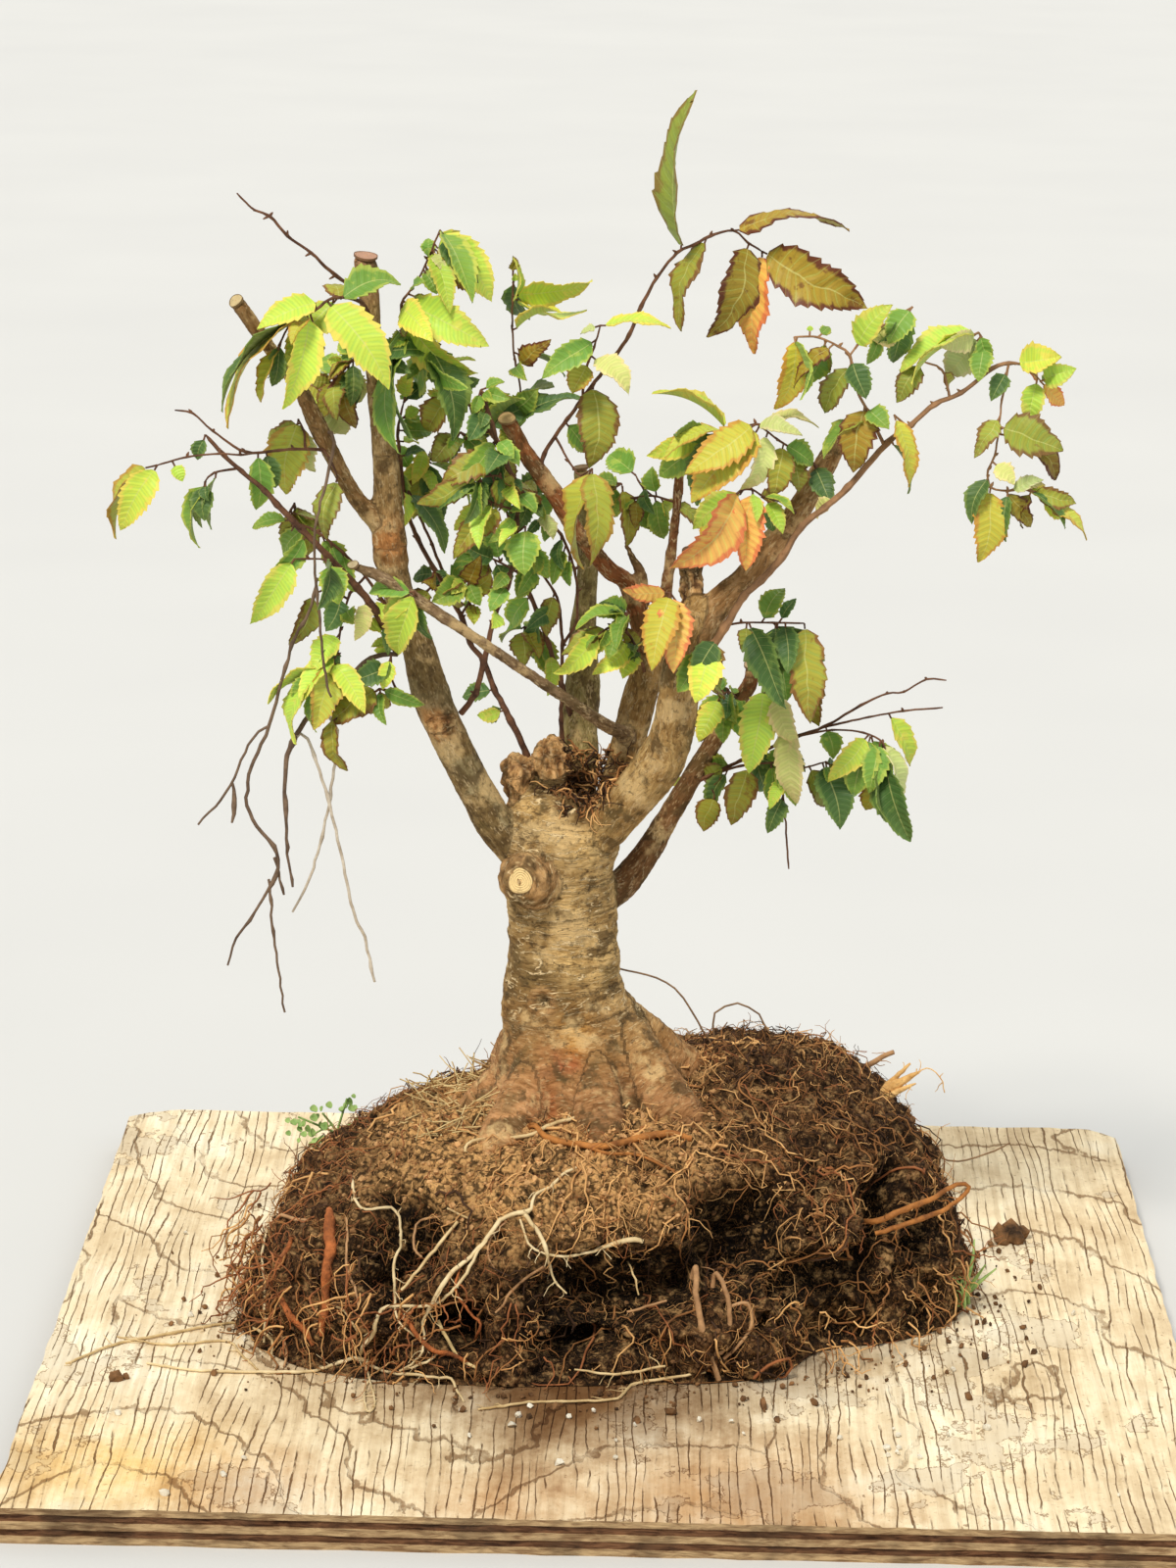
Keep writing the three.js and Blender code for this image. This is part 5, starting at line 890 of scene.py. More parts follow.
def soil_finish():
    """Root-bound soil: crumbs and fibres over the soil_tint attribute, with painted light on the raised clods, painted
    shade in the low clods and painted shade in the gaps between crumbs
    """
    finish = Finish("soil", 0.97, 0.1)
    tint = finish.attribute("soil_tint").outputs["Color"]
    crumbs = finish.cells(460, feature="F1").outputs["Distance"]
    clods = finish.grain(150, detail=7, roughness=0.7)
    fibres = finish.grain(240, (1, 1, 0.4), detail=5, distortion=2.5)
    lit = finish.mixed(finish.spread(clods, 0.5, 0.64, 0.0, 0.6), tint, srgb(212, 168, 112))
    # Painted shade: near black where the clods sink
    clod_hollow_shade = finish.mixed(finish.spread(clods, 0.49, 0.38, 0.0, 0.85), lit, srgb(30, 21, 14))
    strand = finish.spread(finish.maths("ABSOLUTE", finish.maths("SUBTRACT", fibres, 0.5)), 0.018, 0.004, 0.0, 0.6)
    hairs = finish.mixed(strand, clod_hollow_shade, srgb(176, 130, 80))
    # Painted shade: dark in the gaps between the crumbs, where the bump sinks
    pitted = finish.mixed(finish.spread(crumbs, 0.46, 0.74, 0.0, 0.8), hairs, srgb(26, 18, 12))
    finish.relief(crumbs, -1.4)
    finish.relief(clods, 2.2)
    finish.relief(fibres, 0.7)
    return finish.colour(pitted)


def leaf_finish():
    """Leaf: blade, margin and blotch tints from attributes; the side veins run to the teeth on the
    blade's own map, where one repeat along it is one tooth"""
    finish = Finish("leaf", 0.55, 0.35)
    chart = finish.add("SeparateXYZ", Vector=finish.add("TexCoord").outputs["UV"])
    across = finish.maths("MULTIPLY", finish.maths("ABSOLUTE", finish.maths("SUBTRACT", chart.outputs[0], 0.5)), 2.0)
    swept = finish.maths("FRACT", chart.outputs[1])
    off_vein = finish.maths("ABSOLUTE", finish.maths("SUBTRACT", swept, 0.5))
    blotch = finish.grain(170, detail=5, roughness=0.65)
    patch = finish.grain(75, detail=4)
    fine = finish.grain(900, detail=3)
    body = finish.attribute("blade_tint").outputs["Color"]
    margin = finish.attribute("margin_tint").outputs["Color"]
    green = finish.attribute("vein_tint").outputs["Color"]
    near_vein = finish.maths("ADD", off_vein, finish.maths("MULTIPLY", blotch, 0.4))
    washed = finish.mixed(finish.spread(near_vein, 0.42, 0.16, 0.0, 0.6), body, green)
    creep = finish.maths("ADD", across, finish.maths("MULTIPLY", finish.maths("ADD", blotch, patch), 0.62))
    edged = finish.mixed(finish.spread(creep, 1.28, 1.5, 0.0, 1.0), washed, margin)
    spotted = finish.mixed(finish.spread(blotch, 0.57, 0.66, 0.0, 0.7), edged, margin)
    shaded = finish.mixed(finish.spread(off_vein, 0.3, 0.5, 0.0, 0.14), spotted, srgb(60, 76, 30), "MULTIPLY")
    veined = finish.mixed(finish.spread(off_vein, 0.05, 0.012, 0.0, 0.2), shaded, srgb(214, 218, 130))
    ribbed = finish.mixed(finish.spread(across, 0.05, 0.02, 0.0, 0.45), veined, srgb(208, 208, 128))
    finish.relief(off_vein, 0.4, 0.8)
    finish.relief(fine, 0.15)
    finish.relief(blotch, 0.3)
    finish.rough(blotch, 0.42, 0.7)
    return finish.colour(ribbed)


def board_finish():
    """Weathered face of the board: cream wood worn gray in patches, with fine checks along Y, nested
    grain lines, peeled patches, and patches that darken and tint it, the widest round the foot of the root ball"""
    finish = Finish("weathered_face", 0.92, 0.15)
    worn = finish.grain(24, (1, 0.6, 1), detail=7, roughness=0.7)
    streak = finish.grain(420, (1, 0.03, 1), detail=5)
    grit = finish.grain(500, detail=4)
    broken = finish.grain(85, (1, 0.22, 1), detail=4)
    drift = finish.grain(34, (1, 0.16, 1), detail=2)
    jog = finish.grain(190, (1, 0.3, 1), detail=3)
    across = finish.maths("MULTIPLY", finish.add("SeparateXYZ", Vector=finish.place).outputs[0], 1700.0)
    wander = finish.maths("ADD", finish.maths("MULTIPLY", drift, 30.0), finish.maths("MULTIPLY", jog, 3.4))
    wave = finish.maths("SINE", finish.maths("ADD", across, wander))
    check = finish.maths("MULTIPLY", finish.spread(wave, 0.9, 0.985), finish.spread(broken, 0.44, 0.53, 0.06, 0.95))
    warp = finish.add("VectorMath", operation="ADD")
    finish.feed(warp.inputs[0], finish.place)
    finish.feed(warp.inputs[1], finish.add("VectorMath", operation="SCALE", Scale=0.035, Vector=finish.add(
        "TexNoise", Vector=finish.place, Scale=16.0, Detail=3.0).outputs["Color"]).outputs[0])
    field = finish.cells(6.2, (1, 0.42, 1), "F1", warp.outputs[0]).outputs["Distance"]
    contour = finish.maths("FRACT", finish.maths("ADD", finish.maths("MULTIPLY", field, 8.0),
                                                 finish.maths("MULTIPLY", jog, 0.3)))
    line = finish.spread(finish.maths("ABSOLUTE", finish.maths("SUBTRACT", contour, 0.5)), 0.038, 0.012)
    band = finish.spread(contour, 0.1, 0.5, 0.0, 0.15)
    base = finish.ramp(worn, [(0.32, (206, 182, 144)), (0.43, (234, 213, 174)), (0.53, (250, 234, 198)),
                              (0.68, (255, 247, 222))])
    grained = finish.mixed(finish.spread(streak, 0.34, 0.6, 0.34, 0.0), base, srgb(176, 148, 108))
    banded = finish.mixed(band, grained, srgb(196, 164, 118))
    peel = finish.grain(21, (1, 0.7, 1), detail=6, roughness=0.62)
    bare = finish.mixed(finish.spread(peel, 0.575, 0.585, 0.0, 0.5), banded, srgb(206, 192, 166))
    rim = finish.spread(finish.maths("ABSOLUTE", finish.maths("SUBTRACT", peel, 0.578)), 0.006, 0.002, 0.0, 0.75)
    rimmed = finish.mixed(rim, bare, srgb(140, 110, 76))
    lined = finish.mixed(finish.maths("MULTIPLY", line, finish.spread(worn, 0.62, 0.46, 0.0, 0.8)),
                         rimmed, srgb(134, 102, 66))
    gritty = finish.mixed(finish.spread(grit, 0.4, 0.28, 0.0, 0.6), lined, srgb(150, 120, 84))
    checked = finish.mixed(check, gritty, srgb(124, 92, 58))
    darkened_face = checked
    for centre, low, high, colour, most in BOARD_PATCHES:
        away = finish.add("VectorMath", operation="DISTANCE")
        finish.feed(away.inputs[0], finish.place)
        finish.feed(away.inputs[1], tuple(part * MM for part in centre))
        ragged = finish.maths("ADD", away.outputs["Value"], finish.maths("MULTIPLY", worn, 0.09))
        darkened_face = finish.mixed(finish.spread(ragged, high * MM, low * MM, 0.0, most), darkened_face, srgb(*colour), "MULTIPLY")
    finish.relief(check, -0.9, 0.9)
    finish.relief(streak, 0.5)
    finish.relief(line, -0.4)
    finish.relief(worn, 0.8)
    finish.rough(worn, 0.8, 0.98)
    return finish.colour(darkened_face)


def ply_finish(name, dark, light):
    """Sawn edge of one ply: end grain in short strokes along the edge"""
    finish = Finish(name, 0.95, 0.1)
    strokes = finish.grain(240, (0.5, 0.5, 3.0), detail=6, distortion=0.6)
    blots = finish.grain(45, detail=3)
    shaded = finish.ramp(strokes, [(0.36, dark), (0.62, light)])
    finish.relief(strokes, 0.9)
    finish.rough(blots, 0.86, 1.0)
    return finish.colour(finish.mixed(finish.spread(blots, 0.5, 0.36, 0.0, 0.5), shaded, srgb(70, 54, 40)))


# Patches that darken and tint the board: centre, where each is full and where it ends, its colour and its strength;
# the widest darkens it round the foot of the root ball
BOARD_PATCHES = [
    ((-6, -10, 13), 110, 190, (150, 122, 88), 0.8), ((-10, -100, 13), 45, 130, (150, 116, 80), 0.9),
    ((-116, -182, 13), 20, 92, (206, 152, 92), 0.9), ((-166, -166, 13), 25, 105, (255, 224, 146), 0.95),
    ((120, -60, 13), 15, 95, (198, 180, 150), 0.6), ((40, -185, 13), 40, 135, (192, 150, 106), 0.9),
    ((-40, -190, 13), 20, 90, (206, 160, 112), 0.8),
]


def smooth_row(rows, step=3.0):
    """A smooth route through rows of x, y, z and radius, with a point about every step"""
    ends = [tuple(2 * a - b for a, b in zip(rows[0], rows[1]))]
    ends += list(rows) + [tuple(2 * a - b for a, b in zip(rows[-1], rows[-2]))]
    ends[0] = ends[0][:3] + (rows[0][3],)
    ends[-1] = ends[-1][:3] + (rows[-1][3],)
    route = []
    for k in range(1, len(ends) - 2):
        before, start, stop, after = (np.array(ends[k + i], float) for i in (-1, 0, 1, 2))
        count = max(2, round(np.linalg.norm((stop - start)[:3]) / step))
        for i in range(count):
            f = i / count
            bend = 2 * before - 5 * start + 4 * stop - after
            swing = 3 * start - before - 3 * stop + after
            route.append(0.5 * (2 * start + (stop - before) * f + bend * f * f + swing * f ** 3))
    route.append(np.array(rows[-1], float))
    return route


def strand_mesh(name, strands, finishes, sides=1):
    """Round strands as one mesh. A strand is its points as x, y, z and radius, and its finish's number"""
    curve = bpy.data.curves.new(name, "CURVE")
    curve.dimensions = "3D"
    curve.bevel_depth = MM
    curve.bevel_resolution = sides
    curve.use_fill_caps = True
    for finish in finishes:
        curve.materials.append(finish)
    for points, number in strands:
        spline = curve.splines.new("POLY")
        spline.points.add(len(points) - 1)
        flat = [value for x, y, z, _ in points for value in (x * MM, y * MM, z * MM, 1.0)]
        spline.points.foreach_set("co", flat)
        spline.points.foreach_set("radius", [max(0.05, float(row[3])) for row in points])
        spline.material_index = number
        spline.use_smooth = True
    piece = bpy.data.objects.new(name, curve)
    bpy.context.collection.objects.link(piece)
    only(piece)
    bpy.ops.object.convert(target="MESH")
    return bpy.context.object


def only(piece):
    """Selects one piece alone and makes it active"""
    bpy.ops.object.select_all(action="DESELECT")
    piece.select_set(True)
    bpy.context.view_layer.objects.active = piece


def joined(name, pieces):
    bpy.ops.object.select_all(action="DESELECT")
    for piece in pieces:
        piece.select_set(True)
    bpy.context.view_layer.objects.active = pieces[0]
    if len(pieces) > 1:
        bpy.ops.object.join()
    pieces[0].name = name
    pieces[0].data.name = name
    return pieces[0]


def modified(piece, kind, **values):
    """Adds a modifier to a piece and applies it"""
    only(piece)
    made = piece.modifiers.new(kind, kind)
    for key, value in values.items():
        setattr(made, key, value)
    bpy.ops.object.modifier_apply(modifier=made.name)


def smooth_shaded(piece, degrees=60):
    only(piece)
    bpy.ops.object.shade_smooth_by_angle(angle=math.radians(degrees))


def corners_of(piece):
    """The corners of a piece's mesh in millimetres"""
    flat = np.empty(len(piece.data.vertices) * 3)
    piece.data.vertices.foreach_get("co", flat)
    return flat.reshape(-1, 3) / MM


def move_corners(piece, places):
    piece.data.vertices.foreach_set("co", (np.asarray(places) * MM).ravel())
    piece.data.update()


def normals_of(piece):
    flat = np.empty(len(piece.data.vertices) * 3)
    piece.data.vertex_normals.foreach_get("vector", flat)
    return flat.reshape(-1, 3)


def paint(piece, name, colours):
    """Gives each corner of a mesh a linear colour"""
    layer = piece.data.attributes.new(name, "FLOAT_COLOR", "POINT")
    full = np.ones((len(colours), 4))
    full[:, :3] = np.asarray(colours)[:, :3]
    layer.data.foreach_set("color", full.ravel())


def lumps(places, size, octaves=3, seed=0.0):
    """Soft noise, about -1 to 1, at places in millimetres, with lumps of a size"""
    shift = Vector((seed, seed * 1.7, -seed))
    return np.array([noise.fractal(Vector(p) / size + shift, 0.9, 2.1, octaves) for p in places])


def settle(piece, slot, *nodes):
    """Hands a finished piece to the frame"""
    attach(piece, "root")
    if nodes:
        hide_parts(*nodes)


def limb_frames(routes):
    """Every sample of every limb with its limb's name, direction and distance along the limb"""
    names, samples, ways, runs = [], [], [], []
    for name, route in routes.items():
        spots = np.array(route)[:, :3]
        step = np.gradient(spots, axis=0)
        names += [name] * len(route)
        samples.append(np.array(route))
        ways.append(step / np.linalg.norm(step, axis=1)[:, None])
        runs.append(np.concatenate([[0], np.cumsum(np.linalg.norm(np.diff(spots, axis=0), axis=1))]))
    return np.array(names), np.concatenate(samples), np.concatenate(ways), np.concatenate(runs)


def sawn_plane(name):
    """Middle and direction of a limb's cut: square to the limb, leaning by the cut's own lean"""
    rows = WOOD[name]
    end, before = Vector(rows[-1][:3]), Vector(rows[-2][:3])
    way = (end - before).normalized()
    return end, way, (way + Vector(SAWN_ENDS[name][1])).normalized()


def make_limb(name, route, bark):
    """One limb; one with a sawn end is made a little long and then sawn off along its cut"""
    if name not in SAWN_ENDS:
        return strand_mesh(name, [(route, 0)], [bark], 8)
    end, way, face = sawn_plane(name)
    radius = route[-1][3]
    longer = end + way * radius * 1.2
    limb = strand_mesh(name, [(route + [np.array((*longer, radius * 0.98))], 0)], [bark], 8)
    bpy.ops.object.mode_set(mode="EDIT")
    bpy.ops.mesh.select_all(action="SELECT")
    bpy.ops.mesh.bisect(plane_co=end * MM, plane_no=face, use_fill=True, clear_outer=True)
    bpy.ops.object.mode_set(mode="OBJECT")
    return limb


def make_wood(bark):
    """Trunk and limbs: tapered stems are grown together, then given bark relief along each limb"""
    routes = {name: smooth_row(rows, 2.5) for name, rows in WOOD.items()}
    wood = joined("trunk_with_limbs", [make_limb(name, route, bark) for name, route in routes.items()])
    modified(wood, "REMESH", mode="VOXEL", voxel_size=1.12 * MM)
    modified(wood, "SMOOTH", factor=0.5, iterations=6)
    places = corners_of(wood)
    names, samples, ways, runs = limb_frames(routes)
    nearest = np.empty(len(places), int)
    for start in range(0, len(places), 4000):
        part = places[start:start + 4000]
        away = np.linalg.norm(part[:, None] - samples[None, :, :3], axis=2) - samples[None, :, 3]
        nearest[start:start + 4000] = np.argmin(away, axis=1)
    way, out, limb = ways[nearest], places - samples[nearest, :3], names[nearest]
    lift = np.einsum("ij,ij->i", out, way)
    out -= way * lift[:, None]
    level = np.stack([-way[:, 1], way[:, 0], np.zeros(len(way))], axis=1)
    level[np.linalg.norm(level, axis=1) < 0.12] = (1, 0, 0)
    level /= np.linalg.norm(level, axis=1)[:, None]
    other = np.cross(way, level)
    grain = np.stack([np.einsum("ij,ij->i", out, level), np.einsum("ij,ij->i", out, other),
                      runs[nearest] + lift], axis=1)
    trunk_like = np.array([name == "trunk" or name.startswith("buttress") for name in limb])
    grain *= np.where((trunk_like | (limb == "front_collar"))[:, None], (0.42, 0.42, 1.5), (1.5, 1.5, 0.5))
    rotten = np.isin(limb, ["crotch_knob_left", "crotch_knob_right", "rotten_stub", "left_knot"])
    collar_part = limb == "front_collar"

    stout = np.clip(samples[nearest, 3] / 20, 0.14, 1)
    wrinkle = lumps(grain, 6, 4)
    swell = lumps(places, 17, 2, 3.0)
    fine = lumps(grain, 2.4, 3, 5.0)
    split = np.exp(-(lumps(grain, 9, 3, 8.0) / 0.05) ** 2)
    height = stout * (1.8 * swell + 0.5 * wrinkle - 0.35 * split) + 0.26 * fine
    shreds = lumps(places * (1, 1, 0.6), 3.4, 3, 2.0)
    height[rotten] += 1.9 * shreds[rotten] + 0.9 * fine[rotten]
    hollow = np.linalg.norm((places - (-14, 2, 203)) / (17, 16, 12), axis=1)
    height -= 3.0 * np.clip(1.15 - hollow, 0, 1) * (limb == "trunk")
    centre = np.array([-36.5, -25, 178])
    collar = np.linalg.norm((places - centre) * (1, 0.6, 1), axis=1)
    callus = 1.5 * np.exp(-((collar - 7.5) / 2.4) ** 2) + 0.9 * np.sin(collar * 1.7 + 2 * swell) * np.exp(-collar / 12)
    near_collar = np.clip(1.6 - collar / 12, 0, 1) * (trunk_like | collar_part) * (places[:, 1] < -12)
    height += near_collar * (callus + 1.4 * shreds)
    knot = np.linalg.norm(places - (-29, -21, 132), axis=1)
    height += 1.4 * np.exp(-((knot - 4.5) / 1.6) ** 2) - 2.0 * np.exp(-(knot / 2.6) ** 2)
    scar = np.linalg.norm(places - (-84, -18, 299), axis=1)
    low_scar = np.linalg.norm(places - (-66.5, -22, 234), axis=1)
    height += 1.1 * np.exp(-((low_scar - 4.6) / 1.4) ** 2) - 1.0 * np.exp(-(low_scar / 2.6) ** 2)
    height += (limb == "left_limb") * 0.9 * np.sin(scar * 1.3) * np.exp(-scar / 7)
    ring = np.linalg.norm(places - (-22, -15, 202), axis=1)
    height += 1.8 * np.exp(-((ring - 4.2) / 1.2) ** 2) - 1.6 * np.exp(-(ring / 2.2) ** 2)
    move_corners(wood, places + normals_of(wood) * height[:, None])

    tint = np.array([srgb(*BARK_TINTS.get(name, BARK_TINTS["trunk"]))[:3] for name in limb])
    places = corners_of(wood)
    x, y, z = places.T
    mottle = lumps(places, 14, 3, 9.0)
    left = limb == "left_limb"

    def dab(share, colour):
        """Mixes a colour in by a share per corner"""
        nonlocal tint
        share = np.clip(share, 0, 1)[:, None]
        tint = tint * (1 - share) + np.array(srgb(*colour)[:3]) * share

    def spot(middle, spans):
        """A soft round patch about a middle"""
        return np.exp(-np.linalg.norm((places - middle) / spans, axis=1) ** 2)

    sunny = np.clip((x + 22) / 20 + 0.25, 0, 1)
    slant = z - 157 + 0.7 * (x + 45)
    dab(trunk_like * (0.5 + 0.7 * mottle + 0.25 * sunny) * np.clip((slant + 3) / 7, 0, 1), (232, 196, 134))
    dab(trunk_like * (0.45 + 0.5 * mottle) * np.clip(-slant / 6, 0, 1) * np.clip((z - 118) / 12, 0, 1), (128, 102, 60))
    dab(trunk_like * np.exp(-((slant + 4) / 6) ** 2) * np.clip((-20 - x) / 9, 0, 1) * (0.4 + 0.8 * mottle), (92, 76, 46))
    dab(trunk_like * np.clip((138 - z) / 26, 0, 1) * 0.8, (180, 134, 84))
    dab(trunk_like * np.clip((114 - z) / 14, 0, 1) * 0.75, (188, 138, 94))
    dab(trunk_like * spot((-24, -26, 112), (9, 20, 4)) * (0.7 + 1.4 * mottle), (178, 92, 62))
    dab(trunk_like * np.clip((99 - z) / 9 + mottle, 0, 1) * np.clip(0.7 + x / 60, 0.2, 0.95), (128, 90, 58))
    dab(trunk_like * np.clip((112 - z) / 12, 0, 1) * np.clip((-24 - x) / 12, 0, 1) * 0.55, (222, 168, 116))
    dab(trunk_like * spot((-26, -36, 97), (4, 9, 7)) * 0.8, (192, 104, 52))
    dab(trunk_like * spot((38, -28, 84), (7, 9, 7)) * 0.8, (184, 100, 60))
    dab(trunk_like * spot((-17, -26, 121), (5, 14, 7)) * 0.9, (214, 154, 72))
    dab(trunk_like * spot((-15, 2, 194), (18, 16, 9)) * 0.5, (120, 92, 58))
    dab(1.2 * np.exp(-(knot / 2.4) ** 2), (38, 28, 20))
    dab(np.exp(-((knot - 4.2) / 1.5) ** 2) * 0.6, (196, 150, 100))
    dab(np.clip(1.6 - 1.15 * hollow, 0, 1) * trunk_like * 0.95, (74, 50, 34))
    dab(np.exp(-(ring / 2.6) ** 2), (40, 28, 20))
    dab(near_collar * np.clip(0.4 - shreds * 1.6, 0, 0.7), (112, 84, 54))
    dab(left * np.exp(-(scar / 8) ** 2) * 0.85, (216, 142, 82))
    dab(left * np.clip((z - 290) / 20, 0, 1) * 0.5, (188, 152, 100))
    dab(left * np.clip((z - 380) / 8, 0, 1) * 0.6, (206, 150, 118))
    dab((left | (limb == "left_knot")) * spot((-66.5, -22, 234), (7, 7, 7)), (226, 164, 104))
    dab(left * np.clip((mottle - 0.05) * 3, 0, 0.5) * (z < 250), (176, 164, 126))
    dab((limb == "right_limb") * np.clip((mottle + 0.1) * 2, 0, 0.5), (214, 180, 120))
    dab((limb == "right_upper_limb") * (mottle > 0.1) * 0.6, (202, 160, 112))
    dab((limb == "lower_right_limb") * np.clip((z - 228) / 8, 0, 1) * 0.7, (168, 106, 72))
    dab((limb == "red_limb") * np.clip((z - 325) / 10, 0, 1) * 0.6, (168, 110, 64))
    dab(0.3 * split * stout, (90, 70, 46))
    # Rotten wood: its own dark and pale flakes, with painted shade in the hollows between the shreds and a painted
    # highlight on their raised edges
    dab(rotten * np.clip(-shreds * 2.2, 0, 0.85), (96, 62, 40))
    dab(rotten * np.clip(shreds * 2.4 + 0.2, 0, 0.9), (244, 196, 136))
    paint(wood, "bark_tint", tint)
    wrinkled = np.where(trunk_like, np.clip((z - 112) / 22, 0.12, 1), np.where(collar_part, 0.7, 0.4))
    paint(wood, "wrinkle_share", np.repeat(wrinkled[:, None], 3, axis=1))
    layer = wood.data.attributes.new("grain", "FLOAT_VECTOR", "POINT")
    layer.data.foreach_set("vector", grain.ravel())
    smooth_shaded(wood, 75)
    settle(wood, "bark", "trunk_and_limbs")
    return wood


def cut_blank():
    """One cut face: a disc with a bark rim that stands round it and a hollowed heart"""
    bpy.ops.mesh.primitive_cylinder_add(vertices=28, radius=1, depth=0.3, end_fill_type="NGON")
    disc = bpy.context.object
    bpy.ops.object.mode_set(mode="EDIT")
    bpy.ops.mesh.select_mode(type="FACE")
    bpy.ops.mesh.select_all(action="DESELECT")
    bpy.ops.object.mode_set(mode="OBJECT")
    for face in disc.data.polygons:
        face.select = face.normal.z > 0.9
    bpy.ops.object.mode_set(mode="EDIT")
    bpy.ops.mesh.inset(thickness=0.08)
    bpy.ops.transform.translate(value=(0, 0, -0.06))
    bpy.ops.mesh.inset(thickness=0.45)
    bpy.ops.transform.translate(value=(0, 0, 0.02))
    bpy.ops.mesh.inset(thickness=0.3)
    bpy.ops.transform.translate(value=(0, 0, -0.008))
    bpy.ops.object.mode_set(mode="OBJECT")
    chart = disc.data.uv_layers.active or disc.data.uv_layers.new(name="UVMap")
    for loop in disc.data.loops:
        spot = disc.data.vertices[loop.vertex_index].co
        chart.data[loop.index].uv = (0.5 + 0.5 * spot.x, 0.5 + 0.5 * spot.y)
    return disc


def make_sawn_ends(finish):
    """Cut faces, copied from one disc to each sawn limb and drawn out along the slant of its cut"""
    blank = cut_blank()
    shape = corners_of(blank) * MM
    cuts = []
    for name, (colour, _) in SAWN_ENDS.items():
        end, way, face = sawn_plane(name)
        long_way = (way - face * way.dot(face)).normalized()
        if long_way.length < 0.5:
            long_way = face.orthogonal().normalized()
        cross_way = face.cross(long_way)
        radius = WOOD[name][-1][3] * 0.97
        cut = blank.copy()
        cut.data = blank.data.copy()
        bpy.context.collection.objects.link(cut)
        wobble = 1 + 0.05 * np.sin(np.arctan2(shape[:, 1], shape[:, 0]) * 3 + len(cuts))
        reach = radius / max(0.55, way.dot(face))
        middle = np.array(end) + np.array(face) * 0.75
        move_corners(cut, middle + np.outer(shape[:, 0] * reach * wobble, long_way)
                     + np.outer(shape[:, 1] * radius * wobble, cross_way) + np.outer(shape[:, 2] * 3, face))
        paint(cut, "cut_tint", np.tile(srgb(*colour)[:3], (len(shape), 1)))
        cut.data.materials.append(finish)
        cuts.append(cut)
    bpy.data.objects.remove(blank)
    piece = joined("sawn_ends", cuts)
    smooth_shaded(piece, 40)
    settle(piece, "bark")


def soil_edge(angle):
    """Distance from the middle to the edge of the mound in the direction of an angle"""
    count = len(SOIL_RIM)
    turn = (angle / (2 * math.pi) * count) % count
    k, f = int(turn), turn % 1
    at = [SOIL_RIM[(k + i) % count] for i in (-1, 0, 1, 2)]
    bend = 2 * at[0] - 5 * at[1] + 4 * at[2] - at[3]
    swing = 3 * at[1] - at[0] - 3 * at[2] + at[3]
    return 0.5 * (2 * at[1] + (at[2] - at[0]) * f + bend * f * f + swing * f ** 3)


def soil_crest(x, y):
    """Height of the mound's crest over the board"""
    shoulder = 24 * math.exp(-((x - 80) ** 2 + (y - 25) ** 2) / (2 * 42 ** 2))
    middle = 6 * math.exp(-((x + 15) ** 2 + y ** 2) / (2 * 40 ** 2))
    return 78 + shoulder + middle - 0.16 * max(0, -30 - x)


